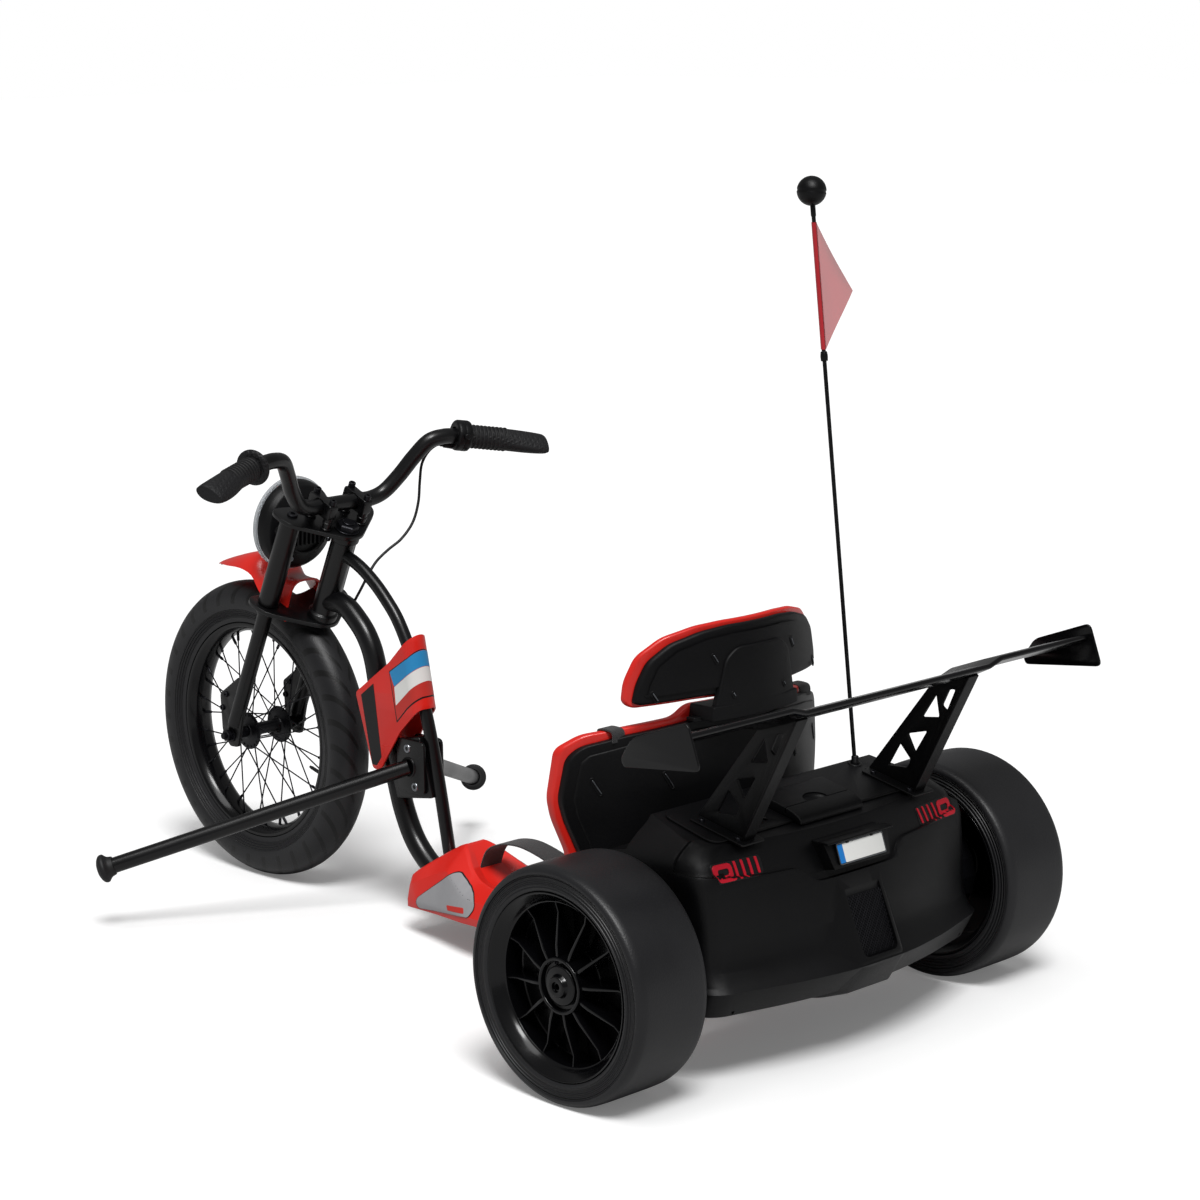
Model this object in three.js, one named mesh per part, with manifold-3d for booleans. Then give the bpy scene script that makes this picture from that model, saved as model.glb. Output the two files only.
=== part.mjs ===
import * as THREE from "three";
import { mergeVertices } from "three/addons/utils/BufferGeometryUtils.js";
import Module from "manifold-3d";

// A sit-down electric drift trike: a raked chopper fork with a fat spoked wheel in front, two
// smooth wide wheels behind, a low bucket seat, a moulded battery housing, a wing and a flag.
// Millimetres. X points forward, Y to the rider's left and Z up. While the parts are placed,
// the origin lies on the ground under the rear axle; the last lines centre the whole trike.

const wasm = await Module();
wasm.setup();

// Driving dimensions
const rearTyreRadius = 143;
const rearTyreWidth = 112;
const rearTrackHalf = 388;
const frontTyreRadius = 217;
const frontTyreWidth = 60;
const wheelbase = 1012;
const forkRakeDegrees = 24.5;
const forkOffset = 51.4;
const legSpacingHalf = 58;
const mainTubeRadius = 15;
const upperTubeRadius = 9;
const barRadius = 11;
const wheelClearance = 30;
const housingHalfWidth = rearTrackHalf - rearTyreWidth - wheelClearance;
const seatFront = 400;
const wingHalfSpan = 360;
const flagHeight = 1030;

// Clearances and the overrun of every cut
const seatGap = 0.3;
const runningGap = 0.35;
const overrun = 6;
const lap = 1; // how far pieces of one solid reach into each other
const weldDistance = 0.001;

const rake = THREE.MathUtils.degToRad(forkRakeDegrees);
const upright = Math.PI / 2;
const fullTurn = 2 * Math.PI;
const sides = [["left", 1], ["right", -1]];

const finish = {
  blackPaint: { color: 0x17171a, roughness: 0.28, metalness: 0.4 },
  blackPlastic: { color: 0x1b1b1e, roughness: 0.5, metalness: 0 },
  glossPlastic: { color: 0x101013, roughness: 0.15, metalness: 0 },
  redPlastic: { color: 0xd5221f, roughness: 0.3, metalness: 0 },
  redLens: { color: 0xc21d2b, roughness: 0.15, metalness: 0 },
  rubber: { color: 0x1c1c1d, roughness: 0.8, metalness: 0 },
  grip: { color: 0x202022, roughness: 0.85, metalness: 0 },
  webbing: { color: 0x262628, roughness: 0.95, metalness: 0 },
  steel: { color: 0x8d9095, roughness: 0.35, metalness: 1 },
  battery: { color: 0x3b4048, roughness: 0.6, metalness: 0 },
  lens: { color: 0xe9ecef, roughness: 0.1, metalness: 0 },
  pennant: { color: 0xd8332f, roughness: 0.6, metalness: 0 },
};

// Shapes

function solidOf(geometry) {
  const bare = geometry.index ? geometry.toNonIndexed() : geometry.clone();
  bare.deleteAttribute("normal");
  bare.deleteAttribute("uv");
  const merged = mergeVertices(bare, weldDistance);
  return new wasm.Manifold(
    new wasm.Mesh({
      numProp: 3,
      vertProperties: merged.attributes.position.array,
      triVerts: new Uint32Array(merged.index.array),
    }),
  );
}

function geometryOf(solid) {
  const mesh = solid.getMesh();
  const geometry = new THREE.BufferGeometry();
  const positions = new Float32Array(mesh.numVert * 3);
  for (let i = 0; i < mesh.numVert; i++) {
    positions.set(mesh.vertProperties.subarray(i * mesh.numProp, i * mesh.numProp + 3), i * 3);
  }
  geometry.setAttribute("position", new THREE.BufferAttribute(positions, 3));
  geometry.setIndex(new THREE.BufferAttribute(mesh.triVerts, 1));
  const flat = geometry.toNonIndexed();
  flat.computeVertexNormals();
  return flat;
}

function joined(first, ...others) {
  return others.reduce((sum, other) => sum.add(solidOf(other)), solidOf(first));
}

function without(solid, ...cutters) {
  return cutters.reduce((rest, cutter) => rest.subtract(solidOf(cutter)), solid);
}

function node(name, solid, look) {
  const geometry = solid.isBufferGeometry ? geometryOf(solidOf(solid)) : geometryOf(solid);
  const mesh = new THREE.Mesh(geometry, new THREE.MeshStandardMaterial(look));
  mesh.name = name;
  return mesh;
}

function at(geometry, x, y, z) {
  return geometry.translate(x, y, z);
}

// A box centred on a point.
function block(length, width, height, x, y, z) {
  return at(new THREE.BoxGeometry(length, width, height), x, y, z);
}

// A round bar along X, Y or Z, centred on a point.
function rod(axis, radius, length, x, y, z, count = 16) {
  const geometry = new THREE.CylinderGeometry(radius, radius, length, count);
  if (axis === "x") geometry.rotateZ(upright);
  if (axis === "z") geometry.rotateX(upright);
  return at(geometry, x, y, z);
}

// A polygon whose corners are rounded; a radius that is too large for an edge is shortened.
function roundedShape(points, radius) {
  const shape = new THREE.Shape();
  const corners = points.map(([x, y]) => new THREE.Vector2(x, y));
  if (THREE.ShapeUtils.area(corners) < 0) corners.reverse();
  corners.forEach((corner, i) => {
    const before = corners[(i + corners.length - 1) % corners.length];
    const after = corners[(i + 1) % corners.length];
    const back = before.clone().sub(corner);
    const on = after.clone().sub(corner);
    const reach = Math.min(radius, back.length() / 2.1, on.length() / 2.1);
    const start = corner.clone().add(back.setLength(reach));
    const end = corner.clone().add(on.setLength(reach));
    if (i === 0) shape.moveTo(start.x, start.y);
    else shape.lineTo(start.x, start.y);
    shape.quadraticCurveTo(corner.x, corner.y, end.x, end.y);
  });
  shape.closePath();
  return shape;
}

// Plates: an outline extruded evenly both ways from the plane that it lies in.
function plateAcrossZ(shape, thickness, curveSegments = 3) {
  const geometry = new THREE.ExtrudeGeometry(shape, {
    depth: thickness,
    bevelEnabled: false,
    curveSegments,
  });
  return geometry.translate(0, 0, -thickness / 2);
}

function plateAcrossY(shape, thickness, curveSegments = 3) {
  return plateAcrossZ(shape, thickness, curveSegments).rotateX(upright);
}

function plateAcrossX(shape, thickness, curveSegments = 3) {
  const turned = new THREE.Matrix4().makeBasis(
    new THREE.Vector3(0, 1, 0),
    new THREE.Vector3(0, 0, 1),
    new THREE.Vector3(1, 0, 0),
  );
  return plateAcrossZ(shape, thickness, curveSegments).applyMatrix4(turned);
}

function circleShape(radius, count) {
  const points = [];
  for (let i = 0; i < count; i++) {
    const angle = (i / count) * fullTurn;
    points.push(new THREE.Vector2(radius * Math.cos(angle), radius * Math.sin(angle)));
  }
  return new THREE.Shape(points);
}

function tubeAlong(points, radius, steps, count, tension = 0.5) {
  const path = new THREE.CatmullRomCurve3(
    points.map((point) => new THREE.Vector3(...point)),
    false,
    "catmullrom",
    tension,
  );
  return new THREE.ExtrudeGeometry(circleShape(radius, count), { steps, extrudePath: path });
}

// A closed profile of [radius, place along the axis] points turned about Y.
function revolved(profile, count) {
  const closed = [...profile, profile[0]];
  const points = closed.map(([radius, along]) => new THREE.Vector2(radius, along));
  const geometry = new THREE.LatheGeometry(points, count);
  return solidOf(geometry).volume() < 0 ? flipped(geometry) : geometry;
}

// An open profile from the axis to the axis, turned about Y.
function turned(profile, count) {
  const points = profile.map(([radius, along]) => new THREE.Vector2(radius, along));
  const geometry = new THREE.LatheGeometry(points, count);
  return solidOf(geometry).volume() < 0 ? flipped(geometry) : geometry;
}

function flipped(geometry) {
  const index = geometry.index.array;
  for (let i = 0; i < index.length; i += 3) {
    [index[i], index[i + 1]] = [index[i + 1], index[i]];
  }
  return geometry;
}

// A skin through rings of equally many points, closed by a fan at both ends.
function lofted(rings) {
  const count = rings[0].length;
  const positions = rings.flat(2);
  const indices = [];
  for (let r = 0; r + 1 < rings.length; r++) {
    for (let i = 0; i < count; i++) {
      const a = r * count + i;
      const b = r * count + ((i + 1) % count);
      indices.push(a, b, b + count, a, b + count, a + count);
    }
  }
  for (const [ring, forward] of [[0, false], [rings.length - 1, true]]) {
    const centre = positions.length / 3;
    for (const k of [0, 1, 2]) {
      positions.push(rings[ring].reduce((sum, point) => sum + point[k], 0) / count);
    }
    for (let i = 0; i < count; i++) {
      const a = ring * count + i;
      const b = ring * count + ((i + 1) % count);
      indices.push(...(forward ? [centre, a, b] : [centre, b, a]));
    }
  }
  const geometry = new THREE.BufferGeometry();
  geometry.setAttribute("position", new THREE.Float32BufferAttribute(positions, 3));
  geometry.setIndex(indices);
  return solidOf(geometry).volume() < 0 ? flipped(geometry) : geometry;
}

// The part's groups

const trike = new THREE.Group();
const ground = new THREE.Group();
trike.add(ground);

const frontAxlePlace = new THREE.Vector3(wheelbase, 0, frontTyreRadius);

// Everything that steers is placed along the steering axis: Z runs up it, X square to it.
const steering = new THREE.Group();
steering.rotation.y = -rake;
steering.position.set(
  frontAxlePlace.x - forkOffset * Math.cos(rake),
  0,
  frontAxlePlace.z - forkOffset * Math.sin(rake),
);
ground.add(steering);
steering.updateMatrix();

function onSteeringAxis(geometry) {
  return geometry.applyMatrix4(steering.matrix);
}

// Front wheel

const frontRim = { lipRadius: 158, seatRadius: 152.7, coreRadius: 143, channelHalf: 17, halfWidth: 21.5 };
const frontHub = {
  barrelRadius: 14,
  halfLength: 33,
  flangeRadius: 27,
  flangeHalfSpacing: 28.6,
  flangeThickness: 3,
  boreRadius: 5.35,
  spokeCircle: 23,
};
const spoke = { count: 36, radius: 1.15, crossCount: 3, rimSpread: 3.5 };
const tyreArc = { startDegrees: -40, sweepDegrees: 260, count: 6 };
const dropout = { thickness: 5, gap: seatGap };
const axleNut = { radius: 8.5, height: 9, collarRadius: 8 };

function frontTyre() {
  const bead = frontRim.channelHalf - seatGap;
  const seat = frontRim.seatRadius + seatGap;
  const lip = frontRim.lipRadius + seatGap;
  const half = frontTyreWidth / 2;
  const profile = [[seat, bead], [lip, bead], [lip + seatGap, frontRim.halfWidth]];
  const bulge = (frontTyreRadius - lip) / 2;
  const middle = frontTyreRadius - bulge;
  for (let i = 0; i <= tyreArc.count; i++) {
    const degrees = tyreArc.startDegrees + (tyreArc.sweepDegrees * i) / tyreArc.count;
    const angle = THREE.MathUtils.degToRad(degrees);
    profile.push([middle + bulge * Math.sin(angle), half * Math.cos(angle)]);
  }
  profile.push([lip + seatGap, -frontRim.halfWidth], [lip, -bead], [seat, -bead]);
  return revolved(profile, 32);
}

function frontRimRing() {
  const { lipRadius, seatRadius, coreRadius, channelHalf, halfWidth } = frontRim;
  const upperHalf = [
    [coreRadius, 0],
    [coreRadius + (lipRadius - coreRadius) * 0.1, halfWidth * 0.5],
    [coreRadius + (lipRadius - coreRadius) * 0.55, halfWidth],
    [lipRadius, halfWidth],
    [lipRadius, channelHalf],
    [seatRadius, channelHalf],
  ];
  const lowerHalf = upperHalf.slice(1).reverse().map(([radius, along]) => [radius, -along]);
  return revolved([...upperHalf, ...lowerHalf], 32);
}

function frontHubWithSpokes() {
  const { barrelRadius, halfLength, boreRadius } = frontHub;
  const { flangeRadius, flangeHalfSpacing, flangeThickness } = frontHub;
  const profile = [
    [boreRadius, halfLength],
    [barrelRadius * 0.8, halfLength],
    [barrelRadius, flangeHalfSpacing + flangeThickness],
    [flangeRadius, flangeHalfSpacing + flangeThickness / 2],
    [flangeRadius, flangeHalfSpacing - flangeThickness / 2],
    [barrelRadius, flangeHalfSpacing - flangeThickness],
  ];
  const mirrored = profile.slice().reverse().map(([radius, along]) => [radius, -along]);
  let hub = solidOf(revolved([...profile, ...mirrored], 12));
  for (let i = 0; i < spoke.count; i++) {
    const side = i % 2 ? 1 : -1;
    const lead = i % 4 < 2 ? 1 : -1;
    const rimAngle = (i / spoke.count) * fullTurn;
    const hubAngle = rimAngle + (lead * spoke.crossCount * fullTurn) / spoke.count;
    const start = new THREE.Vector3(
      frontHub.spokeCircle * Math.cos(hubAngle),
      side * flangeHalfSpacing,
      frontHub.spokeCircle * Math.sin(hubAngle),
    );
    const reach = frontRim.coreRadius - seatGap;
    const end = new THREE.Vector3(
      reach * Math.cos(rimAngle),
      side * spoke.rimSpread,
      reach * Math.sin(rimAngle),
    );
    const run = end.clone().sub(start);
    const bar = new THREE.CylinderGeometry(spoke.radius, spoke.radius, run.length(), 3);
    const turn = new THREE.Quaternion().setFromUnitVectors(
      new THREE.Vector3(0, 1, 0),
      run.clone().normalize(),
    );
    bar.applyQuaternion(turn);
    const middle = start.clone().add(end).multiplyScalar(0.5);
    hub = hub.add(solidOf(at(bar, middle.x, middle.y, middle.z)));
  }
  return hub;
}

function frontAxle() {
  const shaft = frontHub.boreRadius - runningGap;
  const plateInside = legSpacingHalf - dropout.thickness / 2 - dropout.gap;
  const plateOutside = legSpacingHalf + dropout.thickness / 2 + dropout.gap;
  const profile = [
    [0, plateOutside + axleNut.height * 1.5],
    [axleNut.radius * 0.6, plateOutside + axleNut.height * 1.3],
    [axleNut.radius * 0.8, plateOutside + axleNut.height],
    [axleNut.radius, plateOutside + axleNut.height],
    [axleNut.radius, plateOutside],
    [shaft, plateOutside],
    [shaft, plateInside],
    [axleNut.collarRadius, plateInside],
    [axleNut.collarRadius, frontHub.halfLength + dropout.gap],
    [shaft, frontHub.halfLength + dropout.gap],
  ];
  const mirrored = profile.slice().reverse().map(([radius, along]) => [radius, -along]);
  return turned([...profile, ...mirrored], 8);
}

const frontWheel = new THREE.Group();
frontWheel.position.set(forkOffset, 0, 0);
steering.add(frontWheel);
frontWheel.add(
  node("front_tyre", frontTyre(), finish.rubber),
  node("front_rim", frontRimRing(), finish.glossPlastic),
  node("front_hub_and_spokes", frontHubWithSpokes(), finish.blackPaint),
  node("front_axle", frontAxle(), finish.steel),
);

// Fork and headset

const tyreRoom = 8;
const clampSpan = 145;
const clampPlate = {
  legCorner: 23,
  nose: 22,
  thickness: 6,
  lowerTop: frontTyreRadius + tyreRoom,
  upperTop: frontTyreRadius + tyreRoom + clampSpan,
};
const leg = { upperRadius: 15, lowerRadius: 11, foot: 20 };
const steererRadius = 12.7;
const stemNutHeight = 9;
const headTube = { radius: 17.5, cupRadius: 21, cupHeight: 9 };

function clampOutline() {
  const { legCorner, nose } = clampPlate;
  const points = [
    [-nose, -nose * 0.55],
    [-nose, nose * 0.55],
    [forkOffset - legCorner * 0.75, legSpacingHalf + legCorner],
    [forkOffset + legCorner, legSpacingHalf + legCorner],
    [forkOffset + legCorner, legSpacingHalf - legCorner * 0.3],
    [forkOffset + legCorner * 0.3, 0],
    [forkOffset + legCorner, -legSpacingHalf + legCorner * 0.3],
    [forkOffset + legCorner, -legSpacingHalf - legCorner],
    [forkOffset - legCorner * 0.75, -legSpacingHalf - legCorner],
  ];
  return roundedShape(points, legCorner * 0.9);
}

function clampAt(top, holes) {
  const { thickness } = clampPlate;
  const middle = top - thickness / 2;
  const plate = at(plateAcrossZ(clampOutline(), thickness), 0, 0, middle);
  const cutters = holes.map(([x, y, radius]) => rod("z", radius, thickness + overrun, x, y, middle));
  return without(solidOf(plate), ...cutters);
}

function forkLeg(side) {
  const y = side * legSpacingHalf;
  const upperStart = clampPlate.lowerTop + seatGap;
  const upperEnd = clampPlate.upperTop - clampPlate.thickness - seatGap;
  const upperMiddle = (upperStart + upperEnd) / 2;
  const upper = rod("z", leg.upperRadius, upperEnd - upperStart, forkOffset, y, upperMiddle);
  const lowerEnd = upperStart + lap;
  const lowerMiddle = (lowerEnd + leg.foot) / 2;
  const lower = rod("z", leg.lowerRadius, lowerEnd - leg.foot, forkOffset, y, lowerMiddle);
  const reach = frontTyreRadius * 0.2;
  const outline = roundedShape(
    [
      [forkOffset - reach * 0.45, -reach * 0.2],
      [forkOffset - reach * 0.1, -reach * 0.4],
      [forkOffset + reach * 0.45, -reach * 0.1],
      [forkOffset + reach, reach],
      [forkOffset + reach * 0.4, reach * 2.05],
      [forkOffset - reach * 0.1, reach * 2.1],
    ],
    leg.lowerRadius * 0.5,
  );
  const plate = at(plateAcrossY(outline, dropout.thickness), 0, y, 0);
  const cutLength = dropout.thickness + overrun;
  const axleHole = rod("y", frontHub.boreRadius, cutLength, forkOffset, y, 0, 12);
  const screwX = forkOffset + reach * 0.72;
  const heightShares = [0.62, 1.15];
  const screwHoles = heightShares.map((share) =>
    rod("y", leg.lowerRadius * 0.25, cutLength, screwX, y, reach * share, 8),
  );
  return without(joined(upper, lower, plate), axleHole, ...screwHoles);
}

function steerer() {
  const foot = clampPlate.lowerTop - clampPlate.thickness - seatGap;
  const top = clampPlate.upperTop + seatGap;
  const stem = rod("z", steererRadius, top - foot + lap * 2, 0, 0, (top + foot) / 2);
  const footHeight = clampPlate.thickness / 3;
  const footPlate = rod("z", steererRadius * 1.3, footHeight, 0, 0, foot - footHeight / 2);
  const nut = rod("z", steererRadius * 1.3, stemNutHeight, 0, 0, top + stemNutHeight / 2, 6);
  const socket = rod("z", steererRadius * 0.5, stemNutHeight, 0, 0, top + stemNutHeight);
  return without(joined(stem, footPlate, nut), socket);
}

const legHoles = (radius) => sides.map(([, side]) => [forkOffset, side * legSpacingHalf, radius]);
const stemHole = [0, 0, steererRadius + seatGap];
const lowerClamp = clampAt(clampPlate.lowerTop, [stemHole, ...legHoles(leg.lowerRadius + seatGap)]);
steering.add(
  node("steerer", steerer(), finish.steel),
  node("lower_clamp", lowerClamp, finish.blackPaint),
  node("upper_clamp", clampAt(clampPlate.upperTop, [stemHole]), finish.blackPaint),
);
for (const [name, side] of sides) {
  steering.add(node("fork_leg_" + name, forkLeg(side), finish.blackPaint));
}

// Handlebar, its clamps, grips and throttle

const barLift = 27;
const barRise = 93.5;
const bar = {
  z: clampPlate.upperTop + barLift,
  flat: 56,
  gripStart: 190,
  riseZ: clampPlate.upperTop + barLift + barRise,
  sweepDegrees: 22,
};
const capWall = 2;
const barClamp = {
  y: 31,
  width: 14,
  rearBolt: 8.5,
  frontBolt: 44.4,
  column: 6.5,
  capFoot: bar.z - barRadius - capWall,
  capTop: bar.z + barRadius + capWall,
  head: 5,
  headHeight: 7.5,
};
const barX = (barClamp.rearBolt + barClamp.frontBolt) / 2;
const sweep = THREE.MathUtils.degToRad(bar.sweepDegrees);
const gripX = 10;

function barRoute() {
  const rise = bar.riseZ - bar.z;
  const out = bar.gripStart - bar.flat;
  // Shares of the way out and of the rise from the flat middle to the grip.
  const bendShares = [[0.16, 0.1], [0.3, 0.34], [0.43, 0.66], [0.56, 0.92]];
  const half = [[barX, bar.flat / 2, bar.z], [barX, bar.flat, bar.z]];
  for (const [outShare, riseShare] of bendShares) {
    const x = barX + (gripX - barX) * outShare * outShare;
    half.push([x, bar.flat + out * outShare, bar.z + rise * riseShare]);
  }
  const tip = (grip.length - grip.wall - runningGap * 2) * Math.cos(sweep);
  const tipShares = [-0.3, -0.15, 0, 0.5, 1];
  for (const share of tipShares) {
    half.push([gripX - tip * share * Math.tan(sweep), bar.gripStart + tip * share, bar.riseZ]);
  }
  const mirrored = half.slice().reverse().map(([x, y, z]) => [x, -y, z]);
  return [...mirrored, ...half];
}

function barClampSolid(side) {
  const { y, width, rearBolt, frontBolt, column, capFoot, capTop, head, headHeight } = barClamp;
  const foot = clampPlate.upperTop + seatGap;
  const outline = roundedShape(
    [
      [rearBolt - column, capFoot],
      [frontBolt + column, capFoot],
      [frontBolt + column, capTop],
      [rearBolt - column, capTop],
    ],
    column,
  );
  const parts = [at(plateAcrossY(outline, width), 0, side * y, 0)];
  for (const x of [rearBolt, frontBolt]) {
    parts.push(rod("z", column, capFoot + column - foot, x, side * y, (capFoot + column + foot) / 2, 10));
    parts.push(rod("z", head, headHeight * 1.2, x, side * y, capTop + headHeight * 0.4, 8));
  }
  const bore = rod("y", barRadius + seatGap * 3, width + overrun, barX, side * y, bar.z, 12);
  const sockets = [rearBolt, frontBolt].map((x) =>
    rod("z", head * 0.5, headHeight, x, side * y, capTop + headHeight, 6),
  );
  return without(joined(...parts), bore, ...sockets);
}

// A hand grip along +Y from its inner end: a flange, a round neck and a palm rest that
// widens backwards. Its bore takes the bar's end.
const grip = { length: 121, flangeRadius: 25, flangeThickness: 7, radius: 16.5, palm: 26, wall: 5 };

function gripBody(withFlange) {
  const { length, radius, palm } = grip;
  // Share of the length, share of the palm's extra reach, share of the radius in height.
  const stationShares = [
    [0, 0, 1],
    [0.28, 0, 0.95],
    [0.45, 0.25, 0.98],
    [0.7, 0.9, 0.9],
    [0.9, 1, 0.8],
    [1, 0.8, 0.65],
  ];
  const count = 12;
  const rings = stationShares.map(([along, reachShare, heightShare]) => {
    const ring = [];
    for (let i = 0; i < count; i++) {
      const angle = (i / count) * fullTurn;
      const back = Math.cos(angle) < 0 ? 1 + (palm / radius - 1) * reachShare : 1;
      ring.push([
        radius * back * Math.cos(angle),
        length * along,
        radius * heightShare * Math.sin(angle),
      ]);
    }
    return ring;
  });
  const body = [lofted(rings)];
  if (withFlange) {
    body.push(rod("y", grip.flangeRadius, grip.flangeThickness, 0, grip.flangeThickness / 2, 0, 20));
  }
  const depth = length - grip.wall;
  const bore = rod("y", barRadius + runningGap * 2, depth + overrun, 0, (depth - overrun) / 2, 0, 14);
  return without(joined(...body), bore);
}

const throttle = { radius: 22, length: 22, gap: 1, bootReach: 16, bootDrop: 17, bootRadius: 4 };

function throttleHousing() {
  const { radius, length } = throttle;
  const ring = rod("y", radius, length, 0, length / 2, 0, 20);
  const { bootReach, bootDrop, bootRadius } = throttle;
  const cone = new THREE.CylinderGeometry(bootRadius * 1.2, bootRadius * 0.8, bootReach * 2, 8);
  const boot = at(cone, 0, 0, bootDrop);
  const bore = rod("y", barRadius + runningGap * 4, length + overrun * 2, 0, length / 2, 0, 14);
  return without(joined(ring, boot), bore);
}

const handlebar = tubeAlong(barRoute(), barRadius, 30, 8);
steering.add(node("handlebar", handlebar, finish.blackPaint));
for (const [name, side] of sides) {
  steering.add(node("bar_clamp_" + name, barClampSolid(side), finish.blackPaint));
}

const gripLeft = new THREE.Group();
gripLeft.position.set(gripX, bar.gripStart, bar.riseZ);
gripLeft.rotation.z = sweep;
gripLeft.add(node("grip_left", gripBody(true), finish.grip));

const gripRight = new THREE.Group();
const throttleStart = bar.gripStart - throttle.length * 0.8;
const throttleX = gripX + throttle.length * 0.8 * Math.tan(sweep);
gripRight.position.set(throttleX, -throttleStart, bar.riseZ);
gripRight.rotation.z = -sweep;
const gripRightTurned = new THREE.Group();
gripRightTurned.rotation.x = Math.PI;
gripRight.add(gripRightTurned);
gripRightTurned.add(node("throttle_housing", throttleHousing(), finish.blackPlastic));
const twistShift = throttle.length + throttle.gap;
const twistLength = grip.length + (throttle.length * 0.8) / Math.cos(sweep) - twistShift;
const twistMesh = node("throttle_grip", gripBody(false), finish.grip);
twistMesh.position.y = twistShift;
twistMesh.scale.y = twistLength / grip.length;
gripRightTurned.add(twistMesh);
steering.add(gripLeft, gripRight);

// Throttle cable: it hangs from the throttle housing to a guide beside the head tube, in the
// steering frame, and runs on from there between the frame's tubes

const cableRadius = 2;
const hangingRoute = [
  [23.6, -156.4, 473.2], [26, -151, 470], [30, -145, 458], [31, -141, 438], [22, -138, 414],
  [8, -132, 390], [-4, -120, 366], [-11, -100, 346], [-13, -78, 332], [-17, -58, 319], [-23, -44, 306],
];
const framedRoute = [
  [-23.2, -43.6, 305.2], [-27, -36, 295], [-30, -29, 283], [-32, -22.5, 270], [-33, -18, 258],
];

function cableAlong(route, steps) {
  return tubeAlong(route, cableRadius, steps, 6);
}

steering.add(node("throttle_cable", cableAlong(hangingRoute, 26), finish.rubber));
const frameCable = cableAlong(framedRoute, 6);
ground.add(node("frame_cable", onSteeringAxis(frameCable), finish.rubber));

// Headlight and front fender

const lampDrop = 44;
const lamp = {
  radius: 64,
  depth: 28,
  wall: 3,
  back: 80,
  z: clampPlate.upperTop - lampDrop,
  leanDegrees: 5,
  lensRadius: 67,
  lensDepth: 9,
  lugY: 47,
  lugRadius: 6,
  lugLength: 24,
  ribCount: 7,
};

function lampShell() {
  const { radius, depth, wall, lugRadius, lugLength, lugY } = lamp;
  const profile = [
    [0, 0],
    [radius * 0.62, 0],
    [radius * 0.9, depth * 0.3],
    [radius, depth * 0.75],
    [radius, depth],
    [radius - wall, depth],
    [radius - wall, depth * 0.75],
    [radius * 0.88 - wall, depth * 0.35],
    [radius * 0.6, wall],
    [0, wall],
  ];
  const parts = [turned(profile, 24)];
  for (let i = 0; i < lamp.ribCount; i++) {
    const along = (i / (lamp.ribCount - 1) - 0.5) * radius;
    const half = Math.sqrt(radius * radius * 0.36 - along * along);
    parts.push(block(wall, wall * 2, half * 2, along, 0, 0));
  }
  for (const [, side] of sides) {
    parts.push(rod("y", lugRadius, lugLength, side * lugY, wall - lugLength / 2, 0, 10));
  }
  const intoLamp = headlight.matrix.clone().multiply(facingForward.matrix).invert();
  const legs = sides.map(([, side]) => {
    const room = rod("z", leg.upperRadius + seatGap, radius * 4, forkOffset, side * legSpacingHalf, lamp.z);
    return room.applyMatrix4(intoLamp);
  });
  return without(joined(...parts), ...legs);
}

function lampLens() {
  const { radius, lensRadius, lensDepth, depth } = lamp;
  const profile = [
    [0, depth + lensDepth * 1.4],
    [radius * 0.7, depth + lensDepth * 1.1],
    [radius * 0.92, depth + lensDepth * 0.7],
    [lensRadius, depth + lensDepth * 0.6],
    [lensRadius, depth + seatGap],
    [0, depth + seatGap],
  ];
  return turned(profile, 24);
}

const headlight = new THREE.Group();
headlight.position.set(lamp.back, 0, lamp.z);
headlight.rotation.set(0, rake - THREE.MathUtils.degToRad(lamp.leanDegrees), 0);
const facingForward = new THREE.Group();
facingForward.rotation.z = -upright;
headlight.add(facingForward);
headlight.updateMatrix();
facingForward.updateMatrix();
facingForward.add(
  node("headlight_shell", lampShell(), finish.blackPlastic),
  node("headlight_lens", lampLens(), finish.lens),
);
steering.add(headlight);

const fenderInset = 13;
const fender = { halfWidth: legSpacingHalf - fenderInset, skirt: 30, wall: 3 };
// Along X from the axle and the crown's height in shares of the tyre's radius, then shares of the
// half width and of the skirt.
const fenderShares = [
  [0.392, 2.074, 0.133, 0.033],
  [0.29, 2.115, 0.489, 0.133],
  [0.129, 2.166, 0.8, 0.4],
  [-0.055, 2.212, 0.956, 0.667],
  [-0.184, 2.207, 1, 0.867],
  [-0.253, 2.138, 1, 0.733],
  [-0.332, 2.092, 0.978, 0.667],
  [-0.424, 2.078, 0.956, 0.833],
  [-0.502, 2.078, 0.933, 1],
];

function fenderRing([alongShare, crownShare, halfShare, skirtShare], inset) {
  const x = wheelbase + frontTyreRadius * alongShare;
  const crown = frontTyreRadius * crownShare;
  const half = fender.halfWidth * halfShare - inset;
  const drop = fender.skirt * skirtShare;
  const top = crown - inset;
  const side = [
    [half, crown - drop],
    [half * 0.93, top - drop * 0.2],
    [half * 0.5, top],
  ];
  const other = side.slice().reverse().map(([y, z]) => [x, -y, z]);
  return [...side.map(([y, z]) => [x, y, z]), [x, 0, top], ...other];
}

function frontFender() {
  const rings = fenderShares.map((station) => [
    ...fenderRing(station, 0),
    ...fenderRing(station, fender.wall).reverse(),
  ]);
  return lofted(rings);
}

ground.add(node("front_fender", frontFender(), finish.redPlastic));

// Front frame

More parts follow.
